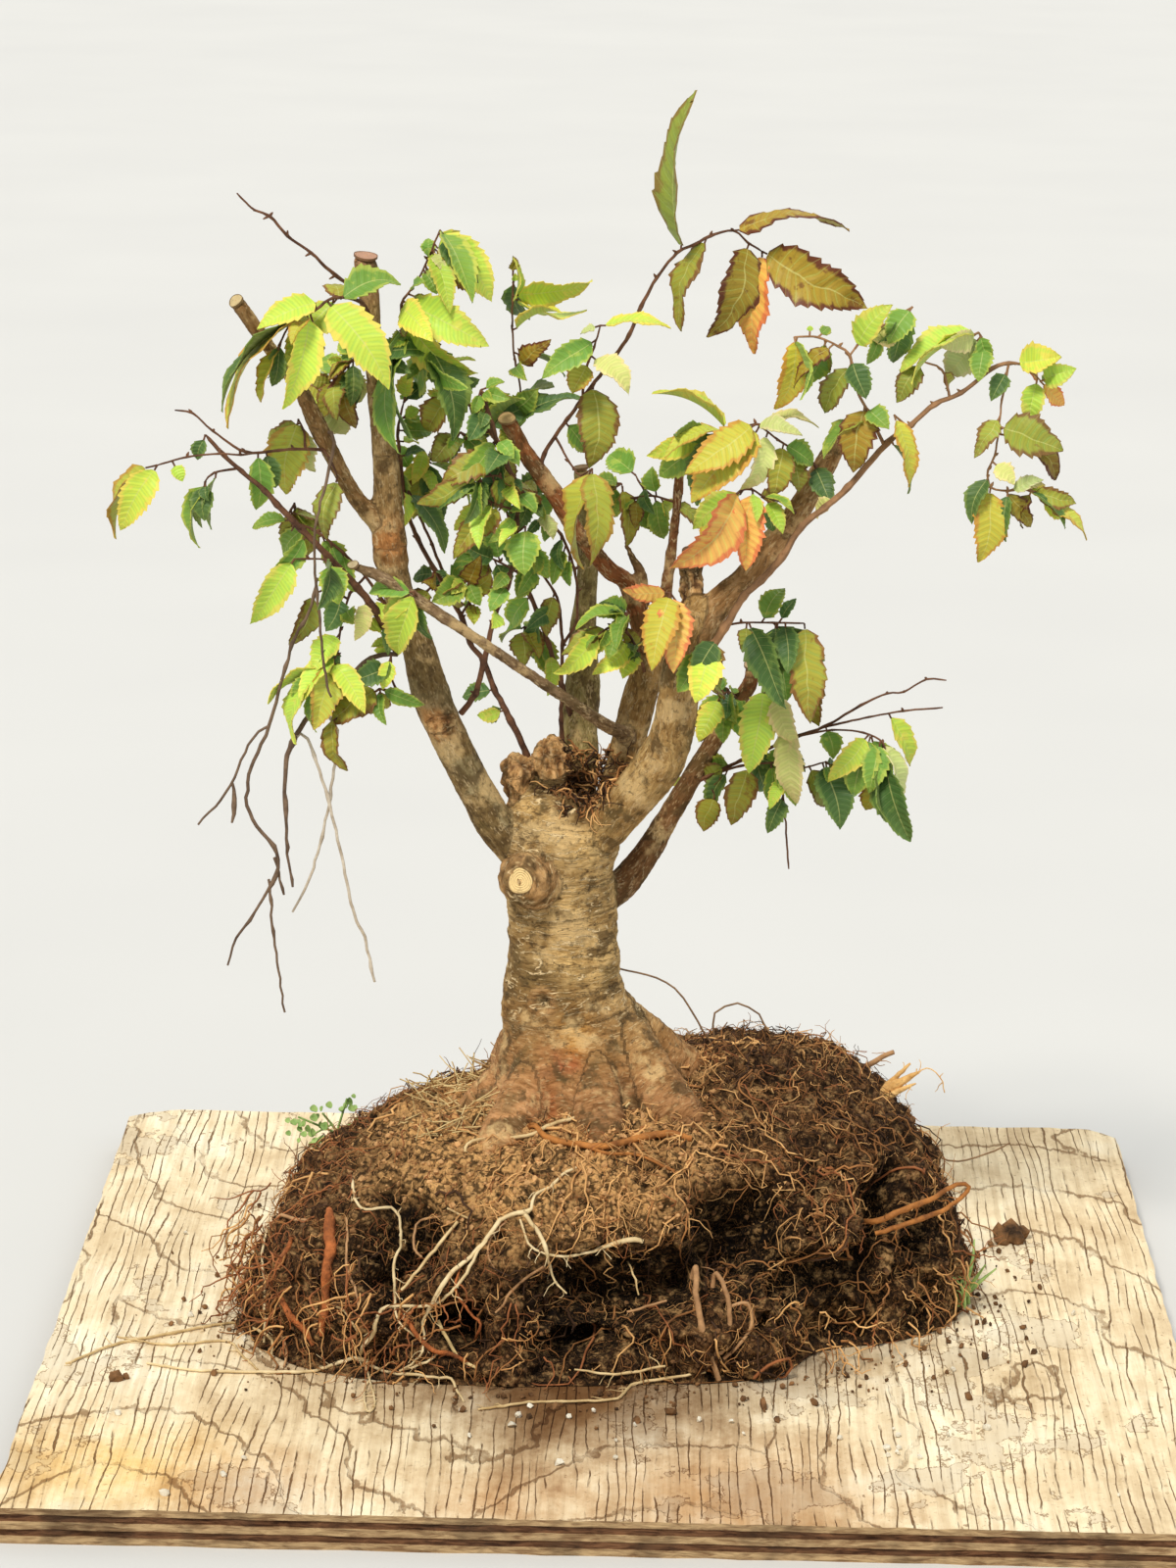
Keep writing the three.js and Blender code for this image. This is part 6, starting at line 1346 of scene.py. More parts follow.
def make_soil(finish):
    """Root ball: a round blank is drawn out to the mound's edge and crest, hollowed and crumbled"""
    bpy.ops.mesh.primitive_uv_sphere_add(segments=328, ring_count=176, radius=1)
    soil = bpy.context.object
    soil.name = soil.data.name = "root_ball"
    only(soil)
    foot = math.pi * 0.72
    places = np.empty((len(soil.data.vertices), 3))
    for k, vertex in enumerate(soil.data.vertices):
        x, y, z = vertex.co
        polar, angle = math.acos(max(-1, min(1, z))), math.atan2(y, x)
        stretch = min(1.0, polar / foot) * math.pi / 2
        squareness = 2 / 3 - 0.16 * max(0.0, -math.cos(angle))
        share = math.sin(stretch) ** squareness * min(1.0, (math.pi - polar) / (math.pi - foot))
        height = max(0.0, math.cos(stretch)) ** (1 / 1.2)
        under = math.exp(-((angle + 0.6) / 0.24) ** 2) * max(0.0, min(1.0, 1.25 - height * soil_crest(0, 0) / 34))
        reach = share * soil_edge(angle) * (1 - 0.17 * under)
        px, py = reach * math.cos(angle), reach * math.sin(angle)
        places[k] = (px, py, BOARD_T + soil_crest(px, py) * height)
    move_corners(soil, places)
    normals = normals_of(soil)
    inward = np.zeros(len(places))
    for hx, hy, hz, half_x, half_y, half_z in SOIL_HOLLOWS:
        ragged = 1 + 0.35 * lumps(places, 9, 2, hx * 0.1)
        span = np.linalg.norm((places - (hx, hy, hz)) / (half_x * 1.1, 26, half_z * 1.1), axis=1) * ragged
        inward = np.maximum(inward, 29 * np.clip(1.25 - span, 0, 1) ** 0.7)
    bulges = lumps(places, 36, 2, 11.0)
    clods = lumps(places, 15, 4)
    crumbs = lumps(places, 5.5, 3, 4.0)
    grit = lumps(places, 2.3, 2, 7.0)
    side = np.clip(1.25 - normals[:, 2], 0.3, 1)
    height = side * (5.5 * bulges + 6.0 * clods) + 2.6 * crumbs + 1.1 * grit - inward - 2.0 * side
    grounded = places[:, 2] < BOARD_T + 0.4
    moved = places + normals * height[:, None]
    moved[:, 2] = np.maximum(moved[:, 2], BOARD_T - 0.2)
    moved[grounded] = places[grounded]
    move_corners(soil, moved)

    x, y, z = moved.T
    crumbly = np.exp(-(((x + 32) / 62) ** 2 + ((z - 84) / 26) ** 2) ** 2)
    # The soil's colour follows the lumps that raise its surface: lighter where clods, crumbs and bulges stand out and
    # darker where they sink, partly the clay's own mottle and partly painted light and painted shade. The right side,
    # past x = 40, is darker with painted shade, and the part above 70 mm is a little lighter.
    tone = 0.45 + 1.1 * clods + 0.6 * crumbs + 0.3 * grit
    dark_clay_and_shade, clay, dust = (np.array(srgb(*part)[:3]) for part in ((24, 16, 10), (92, 63, 39), (230, 178, 114)))
    share = np.clip(0.28 + 0.6 * tone + 0.5 * bulges + 0.2 * (z > 70) - 0.2 * (x > 40), 0, 1)[:, None]
    tint = dark_clay_and_shade * (1 - share) + clay * share
    dry = np.clip(crumbly * (0.55 + 0.7 * tone), 0, 1)[:, None]
    tint = tint * (1 - dry) + dust * dry
    # Painted shade: the hollows are painted near black by their depth
    dark = np.clip(inward / 8, 0, 1)[:, None]
    tint = tint * (1 - dark) + np.array(srgb(10, 7, 5)[:3]) * dark
    paint(soil, "soil_tint", tint)
    soil.data.materials.append(finish)
    smooth_shaded(soil, 80)
    settle(soil, "soil", "soil_ball")
    return soil


def ground_of(piece):
    """What strands and crumbs are laid on: a search tree and the faces to start from"""
    mesh = piece.data
    tree = BVHTree.FromPolygons([v.co.copy() for v in mesh.vertices], [tuple(p.vertices) for p in mesh.polygons])
    faces = [(p.center.copy(), p.normal.copy()) for p in mesh.polygons if p.center.z > 0.0145]
    return tree, faces


def pick_spot(ground, crumbly_share):
    """A face of the ball; the crumbly front of the crest, the hollows and the back are taken less often"""
    faces = ground[1]
    while True:
        centre, normal = faces[draw.randrange(len(faces))]
        crumbly = -0.095 < centre.x < 0.03 and centre.y < 0.02 and centre.z > 0.068
        x, _, z = centre / MM
        hollow = centre.y < 0 and any(((x - hx) / across) ** 2 + ((z - hz) / tall) ** 2 < 1
                                      for hx, _, hz, across, _, tall in SOIL_HOLLOWS)
        behind = 0.6 if centre.y > 0.02 else 1.0
        if draw.random() < (crumbly_share if crumbly else 0.06 if hollow else behind):
            return centre, normal


def creeping_strand(ground, start, heading, count, step, radius, curl, lift, fall=0.1):
    """A root hair that creeps over the soil from a start, in steps, and rises off it between its ends"""
    point, way, row = start.copy(), heading.normalized(), []
    for k in range(count):
        near, normal, _, _ = ground[0].find_nearest(point)
        rise = lift * math.sin(math.pi * k / (count - 1)) + radius * 0.6
        spot = near / MM + normal * rise
        row.append((spot.x, spot.y, max(spot.z, BOARD_T + radius), radius * (1 - 0.55 * k / (count - 1))))
        jitter = Vector((draw.gauss(0, 1), draw.gauss(0, 1), draw.gauss(0, 1) - fall * 3))
        way = (way + jitter * curl).normalized()
        way = (way - normal * way.dot(normal) * 0.7).normalized()
        point = near + way * step * MM
    return row


def hair_tone(place):
    """Number of a hair's finish: rusty on the left, tan on the crest, brown and dark elsewhere"""
    if place.x < -0.045 and place.z < 0.075:
        return draw.choices((0, 1, 2, 3), (3, 2, 2, 3))[0]
    if place.x < 0.03 and place.y < 0.02 and place.z > 0.066:
        return draw.choices((0, 1, 2, 3), (4, 7, 0.6, 1))[0]
    clump = noise.noise(place * 42)
    return draw.choices((0, 1, 2, 3), (5, 6, 1, 1) if clump > 0.12 else (4, 1, 7, 0.6) if clump < -0.12 else (5, 3, 3, 1))[0]


def make_root_hairs(ground, finishes):
    """Fine roots all over the ball in four mats, dense on its sides, in a few tones"""
    mats = {}
    for _ in range(4700):
        centre, normal = pick_spot(ground, 0.42)
        heading = Vector((draw.gauss(0, 1), draw.gauss(0, 1), draw.gauss(0, 1)))
        bold = draw.random()
        radius = 0.1 + 0.22 * bold ** 5
        lift = draw.uniform(0.3, 1.8) if bold < 0.75 else draw.uniform(2, 6)
        row = creeping_strand(ground, centre, heading, 6, draw.uniform(1.1, 3.5), radius, 0.9, lift)
        name = "root_mat_" + ("front_" if centre.y < 0 else "back_") + ("left" if centre.x < 0 else "right")
        mats.setdefault(name, []).append((row, hair_tone(centre)))
    for name in sorted(mats):
        settle(strand_mesh(name, mats[name], finishes, 0), "soil")


def stray_hair(spot, out, length, radius, count=6, curl=0.4, droop=0.08):
    """A loose hair that leaves a place in millimetres and wanders"""
    row = []
    for k in range(count):
        row.append((spot.x, spot.y, max(spot.z, BOARD_T + 0.3), radius * (1 - 0.6 * k / (count - 1))))
        bend = Vector((draw.gauss(0, curl), draw.gauss(0, curl), draw.gauss(-droop, curl)))
        out = (out.normalized() + bend).normalized()
        spot = spot + out * length / (count - 1)
    return row


def make_long_roots(ground, finishes):
    """Longer roots that wander over the ball and hang down its sides, and many that stand off it"""
    strands = []
    for _ in range(300):
        centre, normal = pick_spot(ground, 0.4)
        heading = Vector((draw.gauss(0, 1), draw.gauss(0, 1), draw.gauss(-0.5, 0.8)))
        row = creeping_strand(ground, centre, heading, 16, draw.uniform(2.2, 4.2), draw.uniform(0.25, 0.65), 0.3,
                              draw.uniform(0.5, 4), 0.25)
        strands.append((row, hair_tone(centre)))
    for _ in range(950):
        centre, normal = pick_spot(ground, 0.3)
        out = normal + Vector((draw.gauss(0, 0.5), draw.gauss(0, 0.5), draw.gauss(0.1, 0.5)))
        length = draw.uniform(3, 9) if draw.random() < 0.8 else draw.uniform(8, 17)
        strands.append((stray_hair(centre / MM, out, length, 0.22), hair_tone(centre)))
    settle(strand_mesh("wandering_roots", strands, finishes, 0), "soil")
    loops = []
    for _ in range(120):
        angle = math.radians(draw.choice((draw.uniform(178, 262), draw.uniform(-50, 20))))
        reach = soil_edge(angle) + draw.uniform(-5, 3)
        spot = Vector((reach * math.cos(angle), reach * math.sin(angle), draw.uniform(14, 44)))
        out = Vector((math.cos(angle), math.sin(angle), -0.25)) + Vector((draw.gauss(0, 0.6), draw.gauss(0, 0.6), 0))
        row = stray_hair(spot, out, draw.uniform(8, 26), draw.uniform(0.25, 0.5), 10, 0.45, 0.2)
        loops.append((row, draw.choices((0, 1, 3), (2, 2, 4 if math.cos(angle) < 0 else 1))[0]))
    for _ in range(70):
        angle = math.radians(draw.uniform(182, 232))
        reach = soil_edge(angle) + draw.uniform(-6, 2)
        spot = Vector((reach * math.cos(angle), reach * math.sin(angle), draw.uniform(24, 58)))
        out = Vector((math.cos(angle), math.sin(angle), -0.9)) + Vector((draw.gauss(0, 0.5), draw.gauss(0, 0.5), 0))
        row = stray_hair(spot, out, draw.uniform(20, 42), draw.uniform(0.2, 0.55), 14, 0.42, 0.22)
        loops.append((row, draw.choice((0, 1, 3, 3))))
    settle(strand_mesh("roots_on_board", loops, finishes, 0), "soil")


def make_crumbs(name, blank, spots, finish, slot):
    """Copies of a crumb, squashed and turned, at rows of x, y, z and size"""
    shape = corners_of(blank) * MM
    faces = [tuple(p.vertices) for p in blank.data.polygons]
    places, polygons = [], []
    for x, y, z, size in spots:
        turn = Vector((draw.gauss(0, 1), draw.gauss(0, 1), draw.gauss(0, 1))).to_track_quat("Z", "Y").to_matrix()
        uneven = np.array([1 + draw.uniform(-0.32, 0.32) for _ in shape])[:, None]
        squash = np.array([draw.uniform(0.7, 1.2), draw.uniform(0.7, 1.2), draw.uniform(0.6, 0.95)])
        start = len(places) * len(shape)
        places.append((shape * uneven * squash * size) @ np.array(turn).T + (x, y, z))
        polygons += [tuple(start + k for k in face) for face in faces]
    mesh = bpy.data.meshes.new(name)
    mesh.from_pydata(np.concatenate(places) * MM, [], polygons)
    mesh.materials.append(finish)
    piece = bpy.data.objects.new(name, mesh)
    bpy.context.collection.objects.link(piece)
    smooth_shaded(piece, 30)
    settle(piece, slot)


# Lumps that have fallen from the ball: x, y and size
FALLEN_LUMPS = [
    (150, 69, 5.2), (146, 66, 4.4), (154, 71, 4.0), (152, 65, 3.6), (136, 49, 1.8), (142, 62, 1.4),
    (131, 9, 1.7), (148, -24, 1.3), (132, -53, 1.8), (146, -60, 1.5),
    (150, -48, 1.3), (-174, -92, 2.2), (-171, -90, 1.6), (124, -92, 1.6), (20, -112, 2.2), (52, -104, 2.6),
    (-20, -110, 1.8), (70, -100, 2.0),
]


def scatter_crumbs(ground, soil_crumb, dry_crumb, pale_crumb):
    """Crumbs on the ball, dry ones on its crest, crumbs fallen round its foot, and a few pale grains"""
    bpy.ops.mesh.primitive_ico_sphere_add(subdivisions=1, radius=1)
    blank = bpy.context.object
    dark, dry = [], []
    for _ in range(5600):
        centre, normal = pick_spot(ground, 1)
        size = 0.3 + 1.05 * draw.random() ** 2.8
        spot = centre / MM + normal * size * 0.3
        crumbly = -98 < spot.x < 34 and spot.y < 20 and spot.z > 64
        (dry if crumbly else dark).append((*spot, size))
    make_crumbs("crumbs_on_ball", blank, dark[:2500], soil_crumb, "soil")
    make_crumbs("dry_crumbs_on_crest", blank, dry, dry_crumb, "soil")
    fallen = []
    while len(fallen) < 620:
        angle = draw.uniform(0, 2 * math.pi)
        reach = soil_edge(angle) + abs(draw.gauss(0, 18)) - 3
        x, y = reach * math.cos(angle), reach * math.sin(angle)
        if max(abs(x), abs(y)) < 196:
            size = 0.3 + 1.2 * draw.random() ** 3
            fallen.append((x, y, BOARD_T + size * 0.5, size))
    fallen += [(x, y, BOARD_T + size * 0.55, size) for x, y, size in FALLEN_LUMPS]
    make_crumbs("crumbs_on_board", blank, fallen, soil_crumb, "soil")
    grains = [(draw.uniform(-60, 120), draw.uniform(-150, -108)) for _ in range(22)]
    grains += [(draw.uniform(-190, 190), draw.uniform(-190, 60)) for _ in range(14)]
    pale = [(x, y, BOARD_T + 0.7, draw.uniform(0.7, 1.8)) for x, y in grains
            if math.hypot(x, y) > soil_edge(math.atan2(y, x)) + 3]
    make_crumbs("pale_grains", blank, pale, pale_crumb, "board")
    bpy.data.objects.remove(blank)


def nearest_on(rows_set, place):
    """Nearest point to a place on the centre lines of a shoot's twigs"""
    best, found = 1e9, None
    for rows in rows_set:
        for start, stop in zip(rows, rows[1:]):
            a, b = np.array(start[:3], float), np.array(stop[:3], float)
            span = b - a
            f = np.clip(np.dot(place - a, span) / max(np.dot(span, span), 1e-9), 0, 1)
            spot = a + span * f
            away = np.linalg.norm(spot - place)
            if away < best:
                best, found = away, spot
    return found


def leaf_blank(teeth):
    """One flat blade, modelled once for each number of teeth: a grid whose rows follow the side veins,
    two units wide and one long, given its thickness"""
    bpy.ops.mesh.primitive_grid_add(x_subdivisions=4, y_subdivisions=2 * teeth, size=2)
    blade = bpy.context.object
    blade.scale = (1, 0.5, 1)
    blade.location = (0, 0.5, 0)
    bpy.ops.object.transform_apply(location=True, rotation=False, scale=True)
    chart = blade.data.uv_layers.active
    for loop in blade.data.loops:
        spot = blade.data.vertices[loop.vertex_index].co
        chart.data[loop.index].uv = (0.5 + 0.5 * spot.x, spot.y * teeth)
    modified(blade, "SOLIDIFY", thickness=1.0, offset=0.0)
    shape = corners_of(blade) * MM
    faces = [tuple(p.vertices) for p in blade.data.polygons]
    uvs = np.empty(len(blade.data.loops) * 2)
    blade.data.uv_layers.active.data.foreach_get("uv", uvs)
    bpy.data.objects.remove(blade)
    return shape, faces, uvs, teeth


def width_profile(share):
    """Half width of a blade as a share of its greatest"""
    return share ** 0.52 * (1 - share) ** 0.86 / (0.3768 ** 0.52 * 0.6232 ** 0.86)


# Leaf tones: blade, margin and vein colours, and how crumpled and how rolled the blade is. Tone l is the green blade
# with painted sunlight and tone d the green blade with painted shade
LEAF_TONES = {
    "l": ((194, 220, 78), (222, 210, 90), (152, 200, 72), 0.25, 0.1),
    "g": ((120, 158, 58), (172, 184, 74), (90, 140, 54), 0.25, 0.1),
    "d": ((76, 108, 50), (112, 136, 62), (58, 96, 48), 0.2, 0.1),
    "y": ((198, 193, 68), (198, 150, 60), (172, 188, 70), 0.35, 0.15),
    "m": ((158, 168, 62), (150, 122, 54), (138, 160, 60), 0.3, 0.1),
    "o": ((162, 160, 56), (130, 92, 42), (122, 152, 56), 0.7, 0.35),
    "b": ((160, 134, 40), (98, 50, 22), (144, 144, 50), 0.9, 0.4),
    "r": ((228, 176, 88), (216, 122, 72), (216, 198, 90), 0.6, 0.25),
    "p": ((208, 212, 130), (226, 212, 148), (182, 200, 108), 0.6, 0.5),
}


def lay_leaf(blank, leaf, twigs):
    """Sets one blade in its place: it rises along its keel, arches, ripples at its margin and curls"""
    shape, _, _, teeth = blank
    base, tip = np.array(leaf[0:3], float), np.array(leaf[3:6], float)
    width, turn = leaf[6], math.radians(leaf[7])
    blade, margin, vein, crumple, roll = LEAF_TONES[leaf[8]]
    root = nearest_on(twigs, base)
    along = (tip - base) / np.linalg.norm(tip - base)
    if np.linalg.norm(base - root) < 2:
        base = root + along * 2
    length = np.linalg.norm(tip - base)
    up = np.array((0, -0.8, 0.6))
    up = up - along * np.dot(up, along)
    up /= np.linalg.norm(up)
    up = up * math.cos(turn) + np.cross(along, up) * math.sin(turn)
    side = np.cross(along, up)
    across_share, row, skin = shape.T
    reach = np.abs(across_share)
    number = np.rint(row * 2 * teeth)
    tooth_tip = number % 2 == 1
    edge = (reach > 0.95) & (number > 0) & (number < 2 * teeth)
    share = row + 0.13 * np.sin(np.pi * row) * reach
    share = np.clip(share + np.where(edge, np.where(tooth_tip, 0.55, -0.3) / (2 * teeth), 0), 0.004, 0.997)
    ragged = np.array([[draw.uniform(0.93, 1.05) for _ in range(2 * teeth + 1)] for _ in range(2)])
    ragged = ragged[(across_share > 0).astype(int), number.astype(int)]
    half = width_profile(share) * width * 0.54 * np.where(edge, np.where(tooth_tip, 1.03, 0.88) * ragged, 1)
    across = across_share * half
    phase, lean, twist = draw.uniform(0, 6.28), draw.uniform(-0.08, 0.08), draw.gauss(0, 0.28)
    fold = 0.34 + draw.uniform(-0.2, 0.26)
    lift = np.abs(across) * fold + 0.1 * length * 4 * share * (1 - share)
    lift -= length * (0.05 + roll * 0.22) * share ** 3
    lift += width * 0.055 * np.sin(share * 13 + phase + across_share) * reach ** 2
    lift += np.where(tooth_tip, -1, 1) * width * 0.012 * np.where(reach < 0.9, 1, 0.3) * np.where(reach < 0.1, 0, 1)
    lift -= roll * 0.35 * np.abs(across) * reach ** 2
    aside = across + lean * length * np.sin(np.pi * share)
    angle = twist * share
    seated = (base + along * (share * length)[:, None]
              + side * (aside * np.cos(angle) - lift * np.sin(angle))[:, None]
              + up * (lift * np.cos(angle) + across * np.sin(angle) + skin * 0.35)[:, None])
    if crumple > 0.3:
        rough = np.array([noise.noise_vector(Vector(p) / 5.5) for p in seated])
        seated = seated + rough * crumple * 1.7 * np.sin(np.pi * np.clip(share * 0.9 + 0.05, 0, 1))[:, None]
    shade, warm = 1 + draw.uniform(-0.16, 0.14), draw.uniform(-0.1, 0.1)
    colours = [np.array(srgb(*part)[:3]) * shade * (1 + warm, 1, 1 - warm) for part in (blade, margin, vein)]
    tipped = np.clip((share - 0.5) * 1.3 * draw.uniform(0, 1), 0, 0.7)[:, None]
    under = np.where(skin < 0, 0.35, 0)[:, None]
    painted = colours[0] * (1 - tipped) + colours[1] * tipped
    painted = painted * (1 - under) + np.array(srgb(188, 196, 128)[:3]) * under
    return seated, painted, np.tile(colours[1], (len(shape), 1)), np.tile(colours[2], (len(shape), 1)), root, base


# Shoots that carry more leaves than the solids do, and how many more for each leaf
FULLER_SHOOTS = {
    "crown_left_shoot": 1.0, "crown_back_shoot": 2.8, "long_left_shoot": 1.6, "thin_left_shoot": 1.6,
    "knot_leaf_shoot": 1.6, "crossing_branch_leaf": 2.2, "knot_shoot": 2.8, "crotch_shoot": 2.3,
    "inner_red_shoot": 2.4, "back_limb_shoot": 3.0, "spur_shoot": 1.8, "middle_shoot": 3.0,
    "low_right_tip_shoot": 0.6, "low_right_inner_shoot": 2.4, "low_right_shoot": 1.2, "right_leaf_twig": 0.8,
    "orange_cluster_shoot": 0.9, "yellow_cluster_shoot": 0.8, "arching_shoot": 0.8, "hooded_shoot": 1.0,
}


def companions(name, twigs, leaves):
    """More, smaller leaves beside those of a shoot, on the same twigs"""
    share, more = FULLER_SHOOTS.get(name, 0), []
    for leaf in leaves:
        for _ in range(3):
            if draw.random() > share / 3:
                continue
            base, tip = Vector(leaf[0:3]), Vector(leaf[3:6])
            near = base + Vector((draw.gauss(0, 9), draw.gauss(0, 8), draw.gauss(0, 8)))
            foot = Vector(nearest_on(twigs, np.array(near)))
            way = (tip - base).normalized() + Vector((draw.gauss(0, 0.55), draw.gauss(0, 0.6), draw.gauss(-0.1, 0.4)))
            scale = draw.uniform(0.6, 1.0)
            end = foot + way.normalized() * (tip - base).length * scale
            tone = draw.choice((leaf[8], "g", "d", "o" if draw.random() < 0.5 else "l"))
            more.append((*foot, *end, leaf[6] * scale * 0.9, leaf[7] + draw.uniform(-50, 50), tone))
    return more


def make_shoot(name, slot, finishes, blanks):
    """A leafy shoot in one piece: twigs with nodes and buds, stalks and blades"""
    twigs, leaves = SHOOTS[name]
    strands = []
    for rows in twigs:
        nodes = np.array([row[:3] for row in rows[1:-1]]).reshape(-1, 3)
        swollen = []
        for x, y, z, radius in smooth_row(rows, 2.2):
            gap = np.linalg.norm(nodes - (x, y, z), axis=1).min() if len(nodes) else 9
            slim = max(0.36, radius * 0.74) * (1.25 if gap < 1.2 else 1)
            swollen.append((x + draw.gauss(0, 0.1), y + draw.gauss(0, 0.1), z, slim))
        swollen[-1] = swollen[-1][:3] + (0.25,)
        strands.append((swollen, 0))
        for node in nodes:
            out = Vector((draw.gauss(0, 1), draw.gauss(0, 1), draw.uniform(0.2, 1.2))).normalized()
            if draw.random() < 0.6:
                bud = [(*(Vector(node) + out * d), r) for d, r in ((0, 0.3), (0.8, 0.55), (1.5, 0.4), (2.1, 0.1))]
                strands.append((bud, 0))
    laid = []
    count = 0
    polygons, charts = [], []
    for leaf in leaves + companions(name, twigs, leaves):
        length = math.dist(leaf[0:3], leaf[3:6])
        blank = blanks[11 if length > 24 else 8 if length > 13 else 6]
        *surface, root, base = lay_leaf(blank, leaf, twigs)
        strands.append(([(*root, 0.42), (*((root + base) / 2), 0.34), (*base, 0.36)], 0))
        laid.append(surface)
        polygons += [tuple(count + k for k in face) for face in blank[1]]
        charts.append(blank[2])
        count += len(surface[0])
    pieces = [strand_mesh(name + "_twigs", strands, finishes, 1)]
    if laid:
        places, blades, margins, veins = (np.concatenate(part) for part in zip(*laid))
        mesh = bpy.data.meshes.new(name + "_blades")
        mesh.from_pydata(places * MM, [], polygons)
        for finish in finishes:
            mesh.materials.append(finish)
        mesh.polygons.foreach_set("material_index", [1] * len(polygons))
        mesh.uv_layers.new(name="UVMap").data.foreach_set("uv", np.concatenate(charts))
        foliage = bpy.data.objects.new(name + "_blades", mesh)
        bpy.context.collection.objects.link(foliage)
        for tint, colours in (("blade_tint", blades), ("margin_tint", margins), ("vein_tint", veins)):
            paint(foliage, tint, colours)
        pieces.append(foliage)
    piece = joined(name.replace("_shoot", "").replace("_twig", "") + "_spray", pieces)
    smooth_shaded(piece, 50)
    settle(piece, slot, name)


def crooked(rows, step, sway, knots=0.0):
    """A dry strand: a smooth route with small crooks and knots"""
    route = smooth_row(rows, step)
    return [(p[0] + draw.gauss(0, sway), p[1] + draw.gauss(0, sway), p[2] + draw.gauss(0, sway * 0.6),
             p[3] * (1 + (knots if draw.random() < 0.15 else 0))) for p in route]


def make_dead_twigs(finishes):
    for name, rows_set in DEAD_TWIGS.items():
        strands = []
        for k, rows in enumerate(rows_set):
            number = 1 if (name, k) in (("inner_dead_twigs", 1), ("inner_dead_twigs", 2)) else 0
            strands.append((crooked(rows, 3, 0.18, 0.5), number))
        settle(strand_mesh(name.replace("_twigs", "_hanging_twigs"), strands, finishes, 1), "dead_twig", name)


def laid_on(ground, route):
    """A root moved along the line of sight of the front view until it lies on the ball, where it
    spans small hollows"""
    shifts, ways = [], []
    for x, y, z, radius in route:
        spot = Vector((x, y, z))
        toward = (VIEW_POINT - spot).normalized()
        hit = ground[0].ray_cast((spot + toward * 40) * MM, -toward, 60 * MM)[0]
        off_ball = hit is None or z < BOARD_T + radius + 0.6
        shifts.append(0.0 if off_ball else 40 - (hit / MM - spot - toward * 40).length + radius * 0.6)
        ways.append(toward)
    for _ in range(8):
        middle = [(a + b) / 2 for a, b in zip(shifts, shifts[2:])]
        shifts = [shifts[0]] + [max(own, mean) for own, mean in zip(shifts[1:-1], middle)] + [shifts[-1]]
    laid = []
    for (x, y, z, radius), shift, toward in zip(route, shifts, ways):
        spot = Vector((x, y, z)) + toward * shift
        laid.append((spot.x, spot.y, max(spot.z, BOARD_T + radius * 0.8), radius))
    return laid


def make_roots(ground, finishes):
    """Roots that stand clear of the soil, each with side hairs"""
    for name, rows_set in ROOTS.items():
        slot, number = ROOT_FINISH[name]
        strands = []
        for rows in rows_set:
            route = crooked([row[:3] + (row[3] * ROOT_SLIMNESS.get(name, 1.0),) for row in rows], 2.2, 0.16, 0.18)
            if name in LAID_ROOTS:
                route = laid_on(ground, route)
            strands.append((route, number))
            for x, y, z, radius in route[1:-1]:
                if draw.random() < 0.3 and radius < 2.5:
                    way, spot, hair = Vector((draw.gauss(0, 1), draw.gauss(0, 1), draw.gauss(-0.3, 0.8))), Vector((x, y, z)), []
                    for k in range(5):
                        hair.append((spot.x, spot.y, max(spot.z, BOARD_T + 0.3), 0.22 - 0.03 * k))
                        way = (way.normalized() + Vector((draw.gauss(0, 0.4), draw.gauss(0, 0.4), draw.gauss(-0.1, 0.4)))).normalized()
                        spot = spot + way * draw.uniform(0.8, 2.2)
                    strands.append((hair, number))
        settle(strand_mesh(name + "_strands", strands, finishes, 2), slot, name)
    net = [(laid_on(ground, crooked(rows, 2.2, 0.14, 0.15)), number) for rows, number in ROOT_NET]
    settle(strand_mesh("front_root_net", net, finishes, 1), "pale_root")


LAID_ROOTS = ("pale_roots", "orange_root", "straw_root", "rusty_root_left", "rusty_root_low_left")
ROOT_SLIMNESS = {"orange_root": 0.72, "right_loop_root": 0.7, "brown_loop_roots": 0.72, "rusty_root_left": 1.0}

# Material slot and finish number of each root
ROOT_FINISH = {
    "orange_root": ("orange_root", 0), "brown_loop_roots": ("orange_root", 3),
    "right_loop_root": ("orange_root", 0), "cut_root_back": ("orange_root", 3),
    "pale_roots": ("pale_root", 1), "straw_root": ("pale_root", 4), "far_left_root": ("pale_root", 4),
    "front_root": ("pale_root", 4), "cut_root_right": ("pale_root", 5),
    "rusty_root_left": ("rusty_root", 2), "rusty_root_low_left": ("rusty_root", 2),
    "back_root": ("rusty_root", 3),
}


